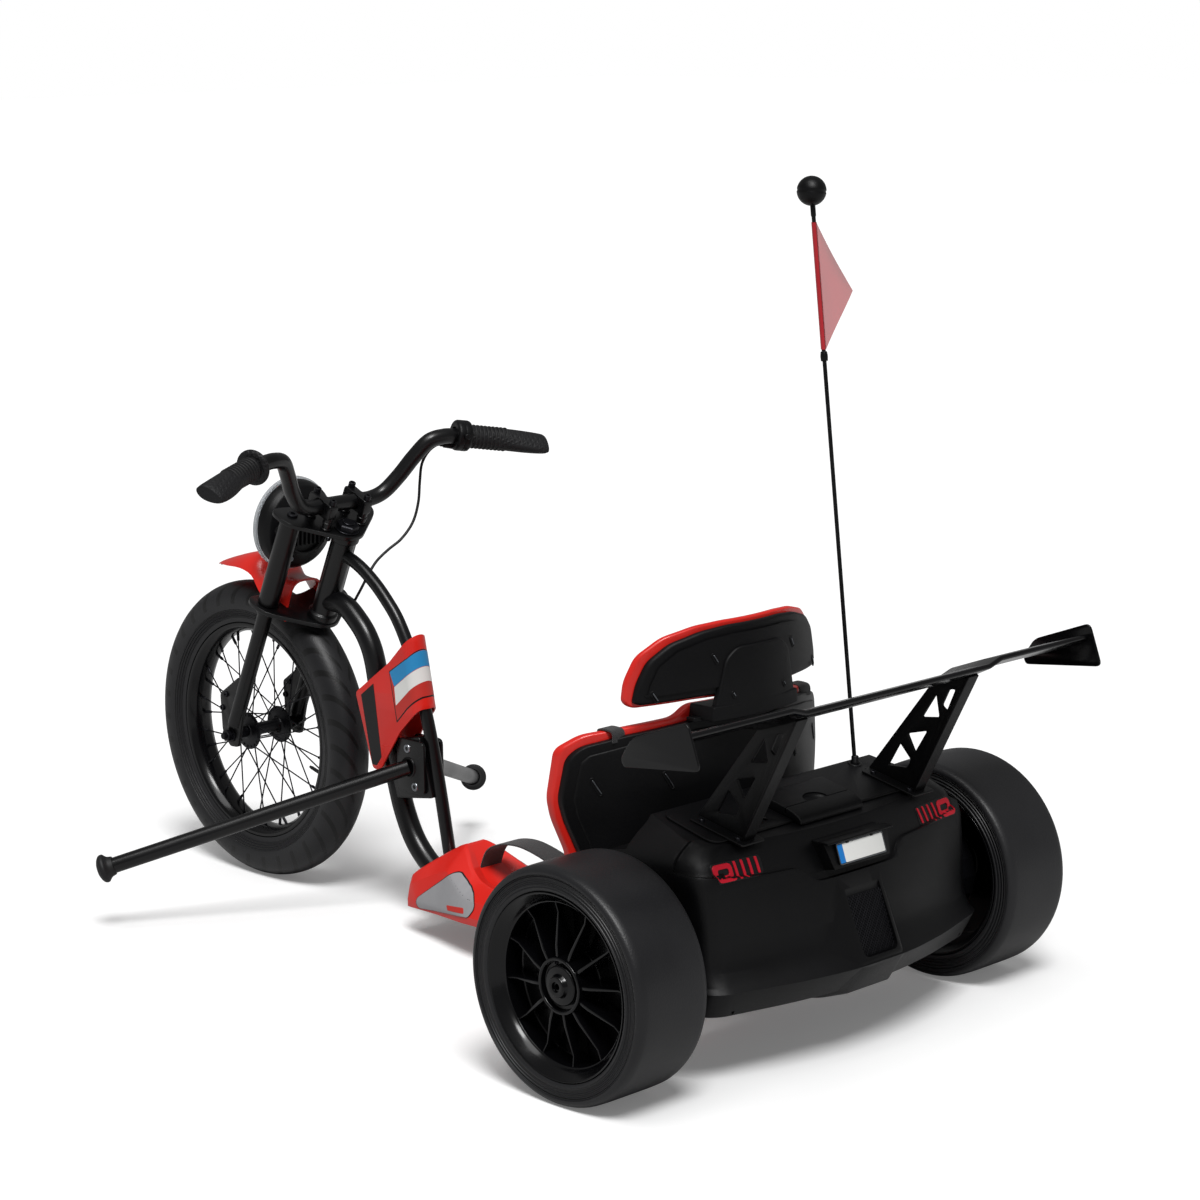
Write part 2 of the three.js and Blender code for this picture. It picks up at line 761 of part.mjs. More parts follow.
// Routes and outlines in X and Z are shares of this point's place, high on the steering axis.
const headDrop = 37;
const headPoint = new THREE.Vector3(0, 0, clampPlate.upperTop - headDrop);
headPoint.applyMatrix4(steering.matrix);
const mainRouteShares = [
  [1.039, 0.854], [0.993, 0.85], [0.959, 0.812], [0.934, 0.766], [0.916, 0.702],
  [0.899, 0.563], [0.867, 0.381], [0.85, 0.297], [0.825, 0.221], [0.788, 0.164],
  [0.748, 0.132], [0.712, 0.124], [0.688, 0.124], [0.648, 0.124],
];
const upperRouteShares = [
  [0.998, 0.995], [0.976, 0.987], [0.946, 0.965], [0.91, 0.926], [0.88, 0.882],
  [0.856, 0.838], [0.832, 0.772], [0.81, 0.692], [0.794, 0.612], [0.781, 0.537],
  [0.761, 0.393], [0.74, 0.219], [0.733, 0.16],
];
const gussetShares = [[0.878, 0.493], [0.792, 0.529], [0.761, 0.363], [0.856, 0.337]];
const gusset = { width: 26, corner: 6 };

function inFrame(shares) {
  return shares.map(([x, z]) => [x * headPoint.x, z * headPoint.z]);
}

function frameTube(shares, radius, steps, count) {
  return tubeAlong(inFrame(shares).map(([x, z]) => [x, 0, z]), radius, steps, count);
}

function mainFrame() {
  const foot = clampPlate.lowerTop + seatGap;
  const top = clampPlate.upperTop - clampPlate.thickness - seatGap;
  const middle = (top + foot) / 2;
  const { radius, cupRadius, cupHeight } = headTube;
  const head = [
    rod("z", radius, top - foot, 0, 0, middle, 16),
    rod("z", cupRadius, cupHeight, 0, 0, foot + cupHeight / 2, 16),
    rod("z", cupRadius, cupHeight, 0, 0, top - cupHeight / 2, 16),
  ].map(onSteeringAxis);
  const bore = onSteeringAxis(rod("z", steererRadius + runningGap, top - foot + overrun, 0, 0, middle));
  const main = frameTube(mainRouteShares, mainTubeRadius, 22, 8);
  const upper = frameTube(upperRouteShares, upperTubeRadius, 18, 8);
  const web = plateAcrossY(roundedShape(inFrame(gussetShares), gusset.corner), gusset.width);
  return without(joined(...head, main, upper, web), bore);
}

ground.add(node("main_frame", mainFrame(), finish.blackPaint));

// Foot pegs: a tube from each side of the gusset to a rubber cap

const pegRootShares = [0.8076, 0.4432];
const peg = {
  radius: 11,
  reach: 270,
  out: 340,
  drop: 130,
  plateLength: 56,
  plateHeight: 74,
  plateThickness: 5,
  capRadius: 20,
  capLength: 12,
};

function pegLine(side) {
  const face = gusset.width / 2 + seatGap;
  const [rootX, rootZ] = inFrame([pegRootShares])[0];
  const root = new THREE.Vector3(rootX, side * face, rootZ);
  const tip = new THREE.Vector3(rootX + peg.reach, side * peg.out, rootZ - peg.drop);
  return { face, root, tip, along: tip.clone().sub(root).normalize() };
}

function pegTube(side) {
  const { face, root, tip, along } = pegLine(side);
  const buried = root.clone().addScaledVector(along, -peg.radius);
  const tube = tubeAlong([buried.toArray(), tip.toArray()], peg.radius, 1, 16);
  const { plateLength, plateHeight, plateThickness } = peg;
  const away = peg.radius * 4;
  const inner = block(away, away, away, root.x, side * (face - away / 2), root.z);
  const plateY = side * (face + plateThickness / 2);
  const plate = block(plateLength, plateThickness, plateHeight, root.x, plateY, root.z);
  return without(joined(tube), inner).add(solidOf(plate));
}

function pegCap(side) {
  const { tip, along } = pegLine(side);
  const { capLength, capRadius, radius } = peg;
  const wall = capRadius - radius * 1.6;
  const profile = [
    [0, capLength * 0.9],
    [capRadius * 0.7, capLength * 0.8],
    [capRadius, capLength * 0.35],
    [capRadius, 0],
    [capRadius * 0.75, -capLength * 0.5],
    [radius + wall, -capLength],
    [radius + runningGap * 2, -capLength],
    [radius + runningGap * 2, seatGap],
    [0, seatGap],
  ];
  const turn = new THREE.Quaternion().setFromUnitVectors(new THREE.Vector3(0, 1, 0), along);
  return at(turned(profile, 12).applyQuaternion(turn), tip.x, tip.y, tip.z);
}

for (const [name, side] of sides) {
  ground.add(node("foot_peg_" + name, pegTube(side), finish.blackPaint));
  ground.add(node("peg_cap_" + name, pegCap(side), finish.rubber));
}

// Wrap panel: a folded guard round the two tubes, cut to a slanted outline

const wrapSideShares = [
  [0.795, 0.822], [0.757, 0.802], [0.734, 0.602], [0.783, 0.61], [0.827, 0.535],
  [0.872, 0.417], [0.889, 0.417], [0.929, 0.626], [0.852, 0.724],
];
const wrap = { wall: 2.5, rearRadius: 20, frontHalf: 31, height: 240, lean: 0.2 };
const wrapTubeShare = 0.8028;
const wrapFrontShare = 0.9551;
const wrapMiddleShare = 0.6116;
const spacerShares = [0.903, 0.6016];

function wrapPlan(inset) {
  const radius = wrap.rearRadius - inset;
  const tubeX = headPoint.x * wrapTubeShare;
  const front = headPoint.x * wrapFrontShare + inset;
  const shape = new THREE.Shape();
  shape.moveTo(front, wrap.frontHalf - inset);
  shape.lineTo(tubeX, radius);
  shape.absarc(tubeX, 0, radius, upright, 3 * upright, false);
  shape.lineTo(front, inset - wrap.frontHalf);
  shape.closePath();
  return shape;
}

function wrapBody(inset, extra) {
  const leaning = new THREE.Matrix4().makeShear(0, 0, 0, 0, wrap.lean, 0);
  const body = plateAcrossZ(wrapPlan(inset), wrap.height + extra, 8).applyMatrix4(leaning);
  return at(body, 0, 0, headPoint.z * wrapMiddleShare);
}

function wrapPanel() {
  const shell = without(solidOf(wrapBody(0, 0)), wrapBody(wrap.wall, overrun));
  const side = roundedShape(inFrame(wrapSideShares), wrap.wall * 2);
  const cut = shell.intersect(solidOf(plateAcrossY(side, wrap.rearRadius * 4)));
  const spanHalf = wrap.frontHalf - wrap.wall * 2;
  const [spacerX, spacerZ] = inFrame([spacerShares])[0];
  const spacer = rod("y", wrap.wall * 2.5, spanHalf * 2, spacerX, 0, spacerZ, 10);
  return without(
    cut.add(solidOf(spacer)),
    frameTube(mainRouteShares, mainTubeRadius + seatGap, 22, 8),
    frameTube(upperRouteShares, upperTubeRadius + seatGap, 18, 8),
  );
}

ground.add(node("wrap_panel", wrapPanel(), finish.redPlastic));

// Rear frame: a square spine under the seat that takes the main tube's end, a cross tube, two
// axle plates and the posts under the battery and the seat

const spineFrontShare = 0.6915;
const spine = {
  width: 40,
  z: headPoint.z * mainRouteShares.at(-1)[1],
  front: headPoint.x * spineFrontShare,
  back: 18,
};
const axlePlateInset = 43;
const axlePlate = { y: housingHalfWidth - axlePlateInset, thickness: 6, cornerRadius: 12 };
// Shares of the housing's front edge and of the wheel's radius, from the axle.
const axlePlateShares = [
  [0.843, -0.65], [-0.715, -0.65], [-0.766, 0.1], [-0.357, 0.3], [0.409, 0.3], [0.843, -0.1],
];
const rearAxleRadius = 8;
const deckPlane = { height: 300.5, slope: 0.2 };
const batteryRise = 21;
const batteryRoom = 64.5;
const battery = {
  length: 120,
  width: 180,
  height: deckPlane.height - batteryRoom - rearTyreRadius - batteryRise,
  x: -12,
  foot: rearTyreRadius + batteryRise,
};
const shellFront = { foot: 56, top: 28 };
const pan = { foot: 94, floor: 4, rimHeight: 20, wall: 4, front: seatFront - seatGap, back: 84 };
const post = { width: 12, batteryX: 36, tray: 5 };
const seatPostShares = [0.336, 0.811];

function rearFrame() {
  const top = spine.z + spine.width / 2;
  const low = spine.z;
  const parts = [
    block(spine.front - spine.back, spine.width, spine.width, (spine.front + spine.back) / 2, 0, spine.z),
    block(spine.width * 0.75, axlePlate.y * 2, spine.width * 0.75, spine.width * 0.8, 0, spine.z),
  ];
  const postHeight = battery.foot - seatGap - low;
  parts.push(block(post.width, battery.width * 0.3, postHeight, post.batteryX, 0, low + postHeight / 2));
  const trayZ = battery.foot - seatGap - post.tray / 2;
  parts.push(block(battery.length, battery.width, post.tray, battery.x, 0, trayZ));
  const seatHeight = pan.foot - seatGap - low;
  const padHeight = pan.foot - seatGap - top + lap;
  for (const share of seatPostShares) {
    const x = pan.back + (pan.front - pan.back) * share;
    const padZ = pan.foot - seatGap - padHeight / 2;
    parts.push(block(post.width * 2, spine.width * 3, padHeight, x, 0, padZ));
    parts.push(block(post.width, spine.width * 0.8, seatHeight, x, 0, low + seatHeight / 2));
  }
  const cutters = [];
  for (const [, side] of sides) {
    const outline = axlePlateShares.map(([x, z]) => [x * shellFront.foot, (1 + z) * rearTyreRadius]);
    const plate = plateAcrossY(roundedShape(outline, axlePlate.cornerRadius), axlePlate.thickness);
    parts.push(at(plate, 0, side * axlePlate.y, 0));
    const holeLength = axlePlate.thickness + overrun;
    cutters.push(rod("y", rearAxleRadius + runningGap, holeLength, 0, side * axlePlate.y, rearTyreRadius));
  }
  const tubeEnd = inFrame(mainRouteShares).at(-1)[0];
  const boreLength = (spine.front - tubeEnd) * 2;
  cutters.push(rod("x", mainTubeRadius + runningGap * 3, boreLength, spine.front, 0, spine.z, 12));
  return without(joined(...parts), ...cutters);
}

function rearAxle() {
  const reach = rearWheel.y + rearRim.recessFloor - seatGap * 2;
  return rod("y", rearAxleRadius, reach * 2, 0, 0, rearTyreRadius);
}

// Rear wheels. Profiles run from the wheel's middle plane, outside face positive.

const rearWheel = { y: rearTrackHalf - rearTyreWidth / 2 };
const rearRim = {
  barrelRadius: 104,
  lipRadius: 112,
  lipSide: 55,
  lipRoot: 52,
  bead: 46,
  wall: 2.5,
  dishRadius: 97,
  dishSide: 40,
  webSide: 16,
  webThickness: 6,
  hubRadius: 34,
  hubWall: 5,
  hubSide: 49,
  recessFloor: 40,
  bossLength: 36,
};
const rearRib = { count: 12, thickness: 2.6 };
const rearShoulder = 5;
const hubCap = { radius: 24, step: 6, frontRadius: 12, length: 12, hex: 6 };

function rearTyre() {
  const { barrelRadius, lipRadius, lipRoot, bead, lipSide } = rearRim;
  const half = rearTyreWidth / 2;
  const outside = [
    [barrelRadius + seatGap, bead - seatGap],
    [lipRadius + seatGap, lipRoot - seatGap],
    [lipRadius + seatGap, lipSide],
    [lipRadius + rearShoulder, half],
    [rearTyreRadius - rearShoulder * 2, half],
    [rearTyreRadius - rearShoulder * 0.8, half - rearShoulder * 0.7],
    [rearTyreRadius, half - rearShoulder * 2.2],
  ];
  const inside = outside.slice().reverse().map(([radius, along]) => [radius, -along]);
  return revolved([...outside, ...inside], 24);
}

function rearRimSolid() {
  const r = rearRim;
  const bore = rearAxleRadius + runningGap;
  const profile = [
    [bore, r.recessFloor],
    [r.hubRadius - r.hubWall, r.recessFloor],
    [r.hubRadius - r.hubWall, r.hubSide],
    [r.hubRadius, r.hubSide],
    [r.hubRadius, r.webSide],
    [r.dishRadius, r.webSide],
    [r.dishRadius, r.dishSide],
    [r.dishRadius + r.wall, r.dishSide],
    [r.barrelRadius - r.wall, r.bead],
    [r.lipRadius - r.wall, r.lipSide],
    [r.lipRadius, r.lipSide],
    [r.lipRadius, r.lipRoot],
    [r.barrelRadius, r.bead],
    [r.barrelRadius, -r.bead],
    [r.lipRadius, -r.lipRoot],
    [r.lipRadius, -r.lipSide],
    [r.lipRadius - r.wall, -r.lipSide],
    [r.barrelRadius - r.wall, -r.bead],
    [r.dishRadius, r.webSide - r.webThickness],
    [r.hubRadius, r.webSide - r.webThickness],
    [r.hubRadius, r.webSide - r.bossLength],
    [bore, r.webSide - r.bossLength],
  ];
  let rim = solidOf(revolved(profile, 24));
  const side = new THREE.Shape();
  side.moveTo(r.hubRadius - r.hubWall / 2, r.webSide - r.webThickness / 2);
  side.lineTo(r.dishRadius + r.wall, r.webSide - r.webThickness / 2);
  side.lineTo(r.dishRadius + r.wall / 2, r.dishSide - r.wall / 2);
  side.lineTo(r.hubRadius - r.hubWall / 2, r.hubSide - r.wall / 2);
  side.closePath();
  for (let i = 0; i < rearRib.count; i++) {
    const rib = plateAcrossZ(side, rearRib.thickness).rotateY((i / rearRib.count) * fullTurn);
    rim = rim.add(solidOf(rib));
  }
  return rim;
}

function hubCapSolid() {
  const floor = rearRim.recessFloor + seatGap;
  const { radius, step, frontRadius, length, hex } = hubCap;
  const cap = turned(
    [
      [0, floor + length],
      [frontRadius, floor + length],
      [frontRadius + step / 2, floor + step],
      [radius - step / 3, floor + step],
      [radius, floor + step / 2],
      [radius, floor],
      [0, floor],
    ],
    16,
  );
  return without(solidOf(cap), rod("y", hex, length, 0, floor + length + step / 2, 0, 6));
}

for (const [name, side] of sides) {
  const wheel = new THREE.Group();
  wheel.position.set(0, side * rearWheel.y, rearTyreRadius);
  if (side < 0) wheel.rotation.z = Math.PI;
  wheel.add(
    node("rear_tyre_" + name, rearTyre(), finish.rubber),
    node("rear_rim_" + name, rearRimSolid(), finish.glossPlastic),
    node("hub_cap_" + name, hubCapSolid(), finish.glossPlastic),
  );
  ground.add(wheel);
}

// Drive motors inside the wheels' inner barrels

const motor = { radius: 62, length: 46, neckRadius: 20, bevel: 6 };

function motorSolid() {
  const outer = rearRim.webSide - rearRim.bossLength - runningGap * 8;
  const inner = outer - motor.length;
  const neckEnd = axlePlate.y + axlePlate.thickness / 2 + seatGap - rearWheel.y;
  const bore = rearAxleRadius + runningGap;
  return revolved(
    [
      [bore, outer],
      [motor.radius - motor.bevel, outer],
      [motor.radius, outer - motor.bevel],
      [motor.radius, inner + motor.bevel],
      [motor.radius - motor.bevel, inner],
      [motor.neckRadius, inner],
      [motor.neckRadius, neckEnd],
      [bore, neckEnd],
    ],
    16,
  );
}

for (const [name, side] of sides) {
  const place = new THREE.Group();
  place.position.set(0, side * rearWheel.y, rearTyreRadius);
  if (side < 0) place.rotation.z = Math.PI;
  place.add(node("motor_" + name, motorSolid(), finish.blackPaint));
  ground.add(place);
}

ground.add(
  node("rear_frame", rearFrame(), finish.blackPaint),
  node("rear_axle", rearAxle(), finish.steel),
  node(
    "battery",
    block(battery.length, battery.width, battery.height, battery.x, 0, battery.foot + battery.height / 2),
    finish.battery,
  ),
);

// Nose cover: a red shell over the joint of the tubes and the spine

const noseFrontShare = 0.7665;
const nose = {
  back: seatFront,
  length: headPoint.x * noseFrontShare - seatFront,
  halfWidth: 100,
  height: 128,
  foot: 38,
  rise: 18,
  wall: 3,
  dip: 22,
};
// Share of the length, of the height at the top, of the half width at foot and top, of the dip.
const noseShares = [
  [1, 0.33, 0.57, 0.4, 0],
  [0.97, 0.39, 0.61, 0.46, 0],
  [0.72, 0.7, 0.7, 0.2, 0],
  [0.64, 0.7, 0.74, 0.24, 0.1],
  [0.52, 0.66, 0.8, 0.42, 0.8],
  [0.4, 0.6, 0.86, 0.48, 1],
  [0.17, 0.53, 0.93, 0.6, 0.3],
  [0, 0.47, 1, 0.7, 0],
];

function noseSkin(inset, below) {
  const rings = noseShares.map(([along, topShare, footShare, crownShare, dipShare], i) => {
    const end = i === 0 ? -inset : i === noseShares.length - 1 ? -inset * 2 : 0;
    const x = nose.back + nose.length * along + end;
    const top = nose.foot + nose.height * topShare - inset;
    const low = nose.foot + nose.rise * (1 - along) - below;
    const foot = nose.halfWidth * footShare - inset;
    const crown = nose.halfWidth * crownShare - inset;
    const dip = nose.dip * dipShare;
    const half = [
      [foot, low],
      [foot, low + below + nose.height * 0.08],
      [(foot * 2 + crown) / 3, (low + below) * 0.35 + top * 0.65],
      [crown + nose.wall, top - nose.wall],
      [crown - nose.wall, top],
      [crown * 0.55, top - dip],
    ];
    const other = half.slice().reverse().map(([y, z]) => [x, -y, z]);
    return [...half.map(([y, z]) => [x, y, z]), ...other];
  });
  return lofted(rings);
}

function noseCover() {
  const shell = without(solidOf(noseSkin(0, 0)), noseSkin(nose.wall, overrun));
  const spineRoom = spine.width + seatGap * 2;
  return without(
    shell,
    frameTube(mainRouteShares, mainTubeRadius + seatGap, 22, 8),
    frameTube(upperRouteShares, upperTubeRadius + seatGap, 18, 8),
    block(spine.front, spineRoom, spineRoom, spine.front / 2, 0, spine.z),
  );
}

ground.add(node("nose_cover", noseCover(), finish.redPlastic));

// Seat: a pan, a curved back of a red shell and a black cover, and a headrest made alike

const seatInset = 12;
const seatBack = {
  halfWidth: housingHalfWidth - seatInset,
  foot: 0,
  top: 410,
  rear: 60,
  cover: 12,
  shell: 12,
  bow: 312,
};
const backShares = [
  [0.32, 1], [0.4, 0.966], [0.62, 0.954], [0.855, 0.937], [0.966, 0.898], [1, 0.751],
  [0.979, 0.683], [0.876, 0.58], [0.705, 0.541], [0.641, 0.3],
];
const backCoverShares = [
  [0.312, 0.956], [0.684, 0.929], [0.88, 0.902], [0.936, 0.871], [0.97, 0.751],
  [0.949, 0.683], [0.88, 0.61], [0.748, 0.566], [0.6, 0.556],
];
const headrestSink = 8;
const headrestHeight = 112;
const headrest = {
  halfWidth: 167,
  foot: seatBack.top - headrestSink,
  top: seatBack.top - headrestSink + headrestHeight,
  rear: 34,
  cover: 12,
  shell: 8,
  bow: 250,
  neckRise: 3,
};
const headShares = [
  [0.28, 1], [0.5, 0.975], [0.74, 0.88], [0.91, 0.69],
  [0.985, 0.42], [1, 0.2], [0.95, 0.13], [0.54, 0.17],
];
const headCoverShares = [
  [0.28, 0.96], [0.49, 0.925], [0.72, 0.82], [0.87, 0.64],
  [0.94, 0.4], [0.965, 0.2], [0.93, 0.17], [0.53, 0.21],
];
const neckPanelShares = [[0.233, 0.718], [0.333, 0.598], [0.43, 0.02]];
const neckShares = [[0.32, 0.12], [0.33, -0.08]];
const seatCorner = 16;
const panShares = [[1, 0.42], [0.97, 0.5], [0.68, 0.84], [0.28, 1], [0, 0.9]];
const panHalfWidth = 168;
const panRibCount = 5;

// A slab that bows backwards in plan, cut to an outline that is symmetric about the middle.
function bowedSlab(rear, thickness, outlineShares, frame) {
  const height = frame.top - frame.foot;
  const half = outlineShares.map(([y, z]) => [y * frame.halfWidth, frame.foot + z * height]);
  const other = half.slice().reverse().map(([y, z]) => [-y, z]);
  const outline = plateAcrossX(roundedShape([...half, ...other], seatCorner), frame.halfWidth * 3);
  const bow = [];
  const count = 10;
  for (let i = 0; i <= count; i++) {
    const y = (i / count - 0.5) * 2.2 * frame.halfWidth;
    bow.push(new THREE.Vector2(rear + (y * y) / (2 * frame.bow), y));
  }
  const front = bow.map(({ x, y }) => new THREE.Vector2(x + thickness, y)).reverse();
  const plan = new THREE.Shape([...bow, ...front]);
  const slab = at(plateAcrossZ(plan, height * 3), 0, 0, frame.foot + height / 2);
  return solidOf(slab).intersect(solidOf(outline));
}

function panOutline(inset) {
  const length = pan.front - pan.back;
  const half = panShares.map(([x, y]) => [pan.back + x * length - inset * x, y * panHalfWidth - inset]);
  return roundedShape([...half, ...half.slice().reverse().map(([x, y]) => [x, -y])], seatCorner);
}

function seatPan() {
  const { foot, floor, rimHeight, wall, front, back } = pan;
  const tray = at(plateAcrossZ(panOutline(0), rimHeight), 0, 0, foot + rimHeight / 2);
  const roomZ = foot + floor + rimHeight / 2;
  const room = at(plateAcrossZ(panOutline(wall), rimHeight), 0, 0, roomZ);
  const backRoom = block(back + wall * 8, panHalfWidth * 2 + overrun, rimHeight, back, 0, roomZ);
  let solid = without(solidOf(tray), room, backRoom);
  for (let i = 0; i < panRibCount; i++) {
    const x = back + (front - back) * (0.45 + (0.45 * i) / (panRibCount - 1));
    const rib = block(wall, panHalfWidth, floor * 2, x, 0, foot + floor);
    solid = solid.add(solidOf(rib));
  }
  return solid;
}

function backShell() {
  const rear = seatBack.rear + seatBack.cover + seatGap;
  const foot = (pan.foot + pan.floor + seatGap) / seatBack.top;
  const legShares = [[0.6, 0.7], [0.6, foot]];
  const leg = bowedSlab(rear, seatBack.shell, legShares, seatBack);
  return bowedSlab(rear, seatBack.shell, backShares, seatBack).add(leg);
}

function headrestCover() {
  const { rear, cover, neckRise } = headrest;
  const slab = bowedSlab(rear, cover, headCoverShares, headrest);
  const panel = bowedSlab(rear - neckRise, cover, neckPanelShares, headrest);
  const neckDepth = seatBack.rear + seatBack.cover - rear + neckRise;
  const neckFrame = { ...headrest, bow: seatBack.bow, halfWidth: seatBack.halfWidth };
  const neck = bowedSlab(rear - neckRise, neckDepth, neckShares, neckFrame);
  return slab.add(panel).add(neck);
}

function headrestShell() {
  return bowedSlab(headrest.rear + headrest.cover + seatGap, headrest.shell, headShares, headrest);
}

ground.add(
  node("seat_pan", seatPan(), finish.redPlastic),
  node("back_shell", backShell(), finish.redPlastic),
  node(
    "back_cover",
    bowedSlab(seatBack.rear, seatBack.cover, backCoverShares, seatBack),
    finish.blackPlastic,
  ),
  node("headrest_cover", headrestCover(), finish.blackPlastic),
  node("headrest_shell", headrestShell(), finish.redPlastic),
);

// Seat belts: webbing over the back's top edge, and a strap that arches from the nose to the pan

const webbing = { width: 20, thickness: 2.4, archWidth: 38, drop: 150, hook: 9 };
const beltShare = 0.718;
// Shares of the nose cover's length and height, from where the seat pan ends.
const archShares = [
  [0.54, 0.5605], [0.496, 0.715], [0.414, 0.805], [0.297, 0.855],
  [0.172, 0.852], [-0.001, 0.781], [-0.17, 0.656], [-0.278, 0.508],
];

// A band of even thickness along a path in X and Z, as wide as asked across Y.
function band(path, thickness, width) {
  const curve = new THREE.CatmullRomCurve3(path.map(([x, z]) => new THREE.Vector3(x, z, 0)));
  const count = path.length * 2;
  const one = [];
  const two = [];
  for (let i = 0; i <= count; i++) {
    const point = curve.getPoint(i / count);
    const tangent = curve.getTangent(i / count);
    const across = new THREE.Vector3(-tangent.y, tangent.x, 0).setLength(thickness / 2);
    one.push(new THREE.Vector2(point.x + across.x, point.y + across.y));
    two.unshift(new THREE.Vector2(point.x - across.x, point.y - across.y));
  }
  return plateAcrossY(new THREE.Shape([...one, ...two]), width, 1);
}

function beltLoop(side) {
  const { width, thickness, drop, hook } = webbing;
  const y = seatBack.halfWidth * beltShare;
  const bow = (y * y) / (2 * seatBack.bow);
  const edge = (width * y) / (2 * seatBack.bow);
  const rear = seatBack.rear + seatBack.cover + bow - edge;
  const front = rear + seatBack.shell + edge * 2 + thickness;
  const top = seatBack.top * 0.945 + thickness;
  const length = front + thickness - rear;
  const over = block(length, width, thickness, rear + length / 2, side * y, top + thickness / 2);
  const down = block(thickness, width, drop, front + thickness / 2, side * y, top + thickness - drop / 2);
  const back = block(thickness, width, hook, rear - thickness / 2, side * y, top + thickness - hook / 2);
  return joined(over, down, back);
}

for (const [name, side] of sides) {
  ground.add(node("belt_" + name, beltLoop(side), finish.webbing));
}
const archPath = archShares.map(([along, up]) => [
  nose.back + nose.length * along,
  nose.foot + nose.height * up,
]);
ground.add(node("belt_arch", band(archPath, webbing.thickness, webbing.archWidth), finish.webbing));

// Battery housing: a moulded shell with a sloping deck, a flared skirt and a centre block

const shellWall = 3;
const shellDepth = 170;
// For each height in shares of the deck's height: how far back the middle and the corner lie, in
// shares of the depth, and the half width in shares of the greatest one.
const shellShares = [
  [0.316, 0.82, 0.62, 0.972],
  [0.386, 0.985, 0.72, 1],
  [0.403, 0.955, 0.69, 0.988],
  [0.832, 0.68, 0.57, 1],
  [0.905, 0.62, 0.52, 0.976],
  [0.958, 0.56, 0.45, 0.902],
  [1.0, 0.49, 0.36, 0.825],
  [1.06, 0.4, 0.26, 0.77],
];

function shellSkin(offset, low) {
  const rings = shellShares.map(([levelShare, middleShare, cornerShare, halfShare]) => {
    const z = deckPlane.height * levelShare;
    const middle = -shellDepth * middleShare - offset;
    const corner = -shellDepth * cornerShare - offset;
    const half = housingHalfWidth * halfShare + offset;
    const front = (levelShare < 0.9 ? shellFront.foot : shellFront.top) + offset;
    const round = housingHalfWidth * 0.05;
    const back = [
      [front, half],
      [corner + round * 3, half],
      [corner + round, half - round * 0.4],
      [corner, half - round * 1.6],
      [(middle * 2 + corner) / 3, half * 0.52],
      [middle, half * 0.2],
    ];
    const other = back.slice().reverse().map(([x, y]) => [x, -y, z]);
    return [...back.map(([x, y]) => [x, y, z]), ...other];
  });
  if (low > 0) rings.unshift(rings[0].map(([x, y, z]) => [x, y, z - low]));
  return lofted(rings);
}

// Everything above the deck plane, lifted by some distance.
function aboveDeck(lift) {
  const reach = shellDepth * 3;
  const height = deckPlane.height + lift;
  const shape = new THREE.Shape([
    new THREE.Vector2(-reach, height - reach * deckPlane.slope),
    new THREE.Vector2(reach, height + reach * deckPlane.slope),
    new THREE.Vector2(reach, height + reach),
    new THREE.Vector2(-reach, height + reach),
  ]);
  return plateAcrossY(shape, housingHalfWidth * 4);
}

const creaseShare = 0.4093;
const dropShare = 0.2762;
const blockTopShare = 0.7121;
const centreBlock = {
  half: 38,
  out: 167,
  creaseZ: deckPlane.height * creaseShare,
  dropX: 142,
  dropZ: deckPlane.height * dropShare,
  topX: 128,
  topZ: deckPlane.height * blockTopShare,
};
const grilleLowShare = 0.4393;
const grilleHeight = 70;
const grille = {
  half: 28,
  low: deckPlane.height * grilleLowShare,
  high: deckPlane.height * grilleLowShare + grilleHeight,
  depth: 5,
};
const hatch = { half: 57, back: -84, front: -14, rim: 5, lift: 15 };
const flagFootShare = 0.6138;
const flagFoot = {
  x: 11,
  y: housingHalfWidth * flagFootShare,
  socketRadius: 7,
  radius: 2.6,
  collarRadius: 5.5,
  collarHeight: 12,
};

function hatchOpening(inset) {
  const length = hatch.front - hatch.back - inset * 2;
  const middle = (hatch.front + hatch.back) / 2;
  return block(length, (hatch.half - inset) * 2, hatch.half, middle, 0, deckPlane.height);
}

function rearHousing() {
  const skin = without(solidOf(shellSkin(0, 0)), aboveDeck(0));
  const { half, out, creaseZ, dropX, dropZ, topX, topZ } = centreBlock;
  const side = new THREE.Shape([
    new THREE.Vector2(-topX + shellDepth * 0.2, topZ + half * 0.5),
    new THREE.Vector2(-topX, topZ),
    new THREE.Vector2(-out, creaseZ),
    new THREE.Vector2(-dropX, dropZ),
    new THREE.Vector2(-dropX + shellDepth * 0.15, dropZ),
  ]);
  const solid = skin.add(solidOf(plateAcrossY(side, half * 2)));
  const room = without(solidOf(shellSkin(-shellWall, shellDepth)), aboveDeck(-shellWall));
  const recess = new THREE.Shape([
    new THREE.Vector2(-out - overrun, grille.low),
    new THREE.Vector2(-out - overrun, grille.high),
    new THREE.Vector2(-topX - half * 0.12, grille.high),
    new THREE.Vector2(-out + grille.depth * 2, grille.low),
  ]);
  const cutters = [hatchOpening(hatch.rim * 2), plateAcrossY(recess, grille.half * 2)];
  for (const [, y] of sides) {
    const radius = motor.neckRadius + seatGap * 3;
    cutters.push(rod("y", radius, shellDepth / 4, 0, y * housingHalfWidth, rearTyreRadius, 20));
  }
  const spineRoom = spine.width + overrun;
  cutters.push(block(spine.front, spineRoom, spineRoom, spine.front / 2, 0, spine.z));
  const shell = solid.subtract(room);
  return without(shell, ...cutters);
}

// The deck's loose panel lies on the shell between the seams.
const deck = { thickness: 3, back: -72, front: 20, corner: 18 };
const deckHalfShares = [0.8, 0.772];

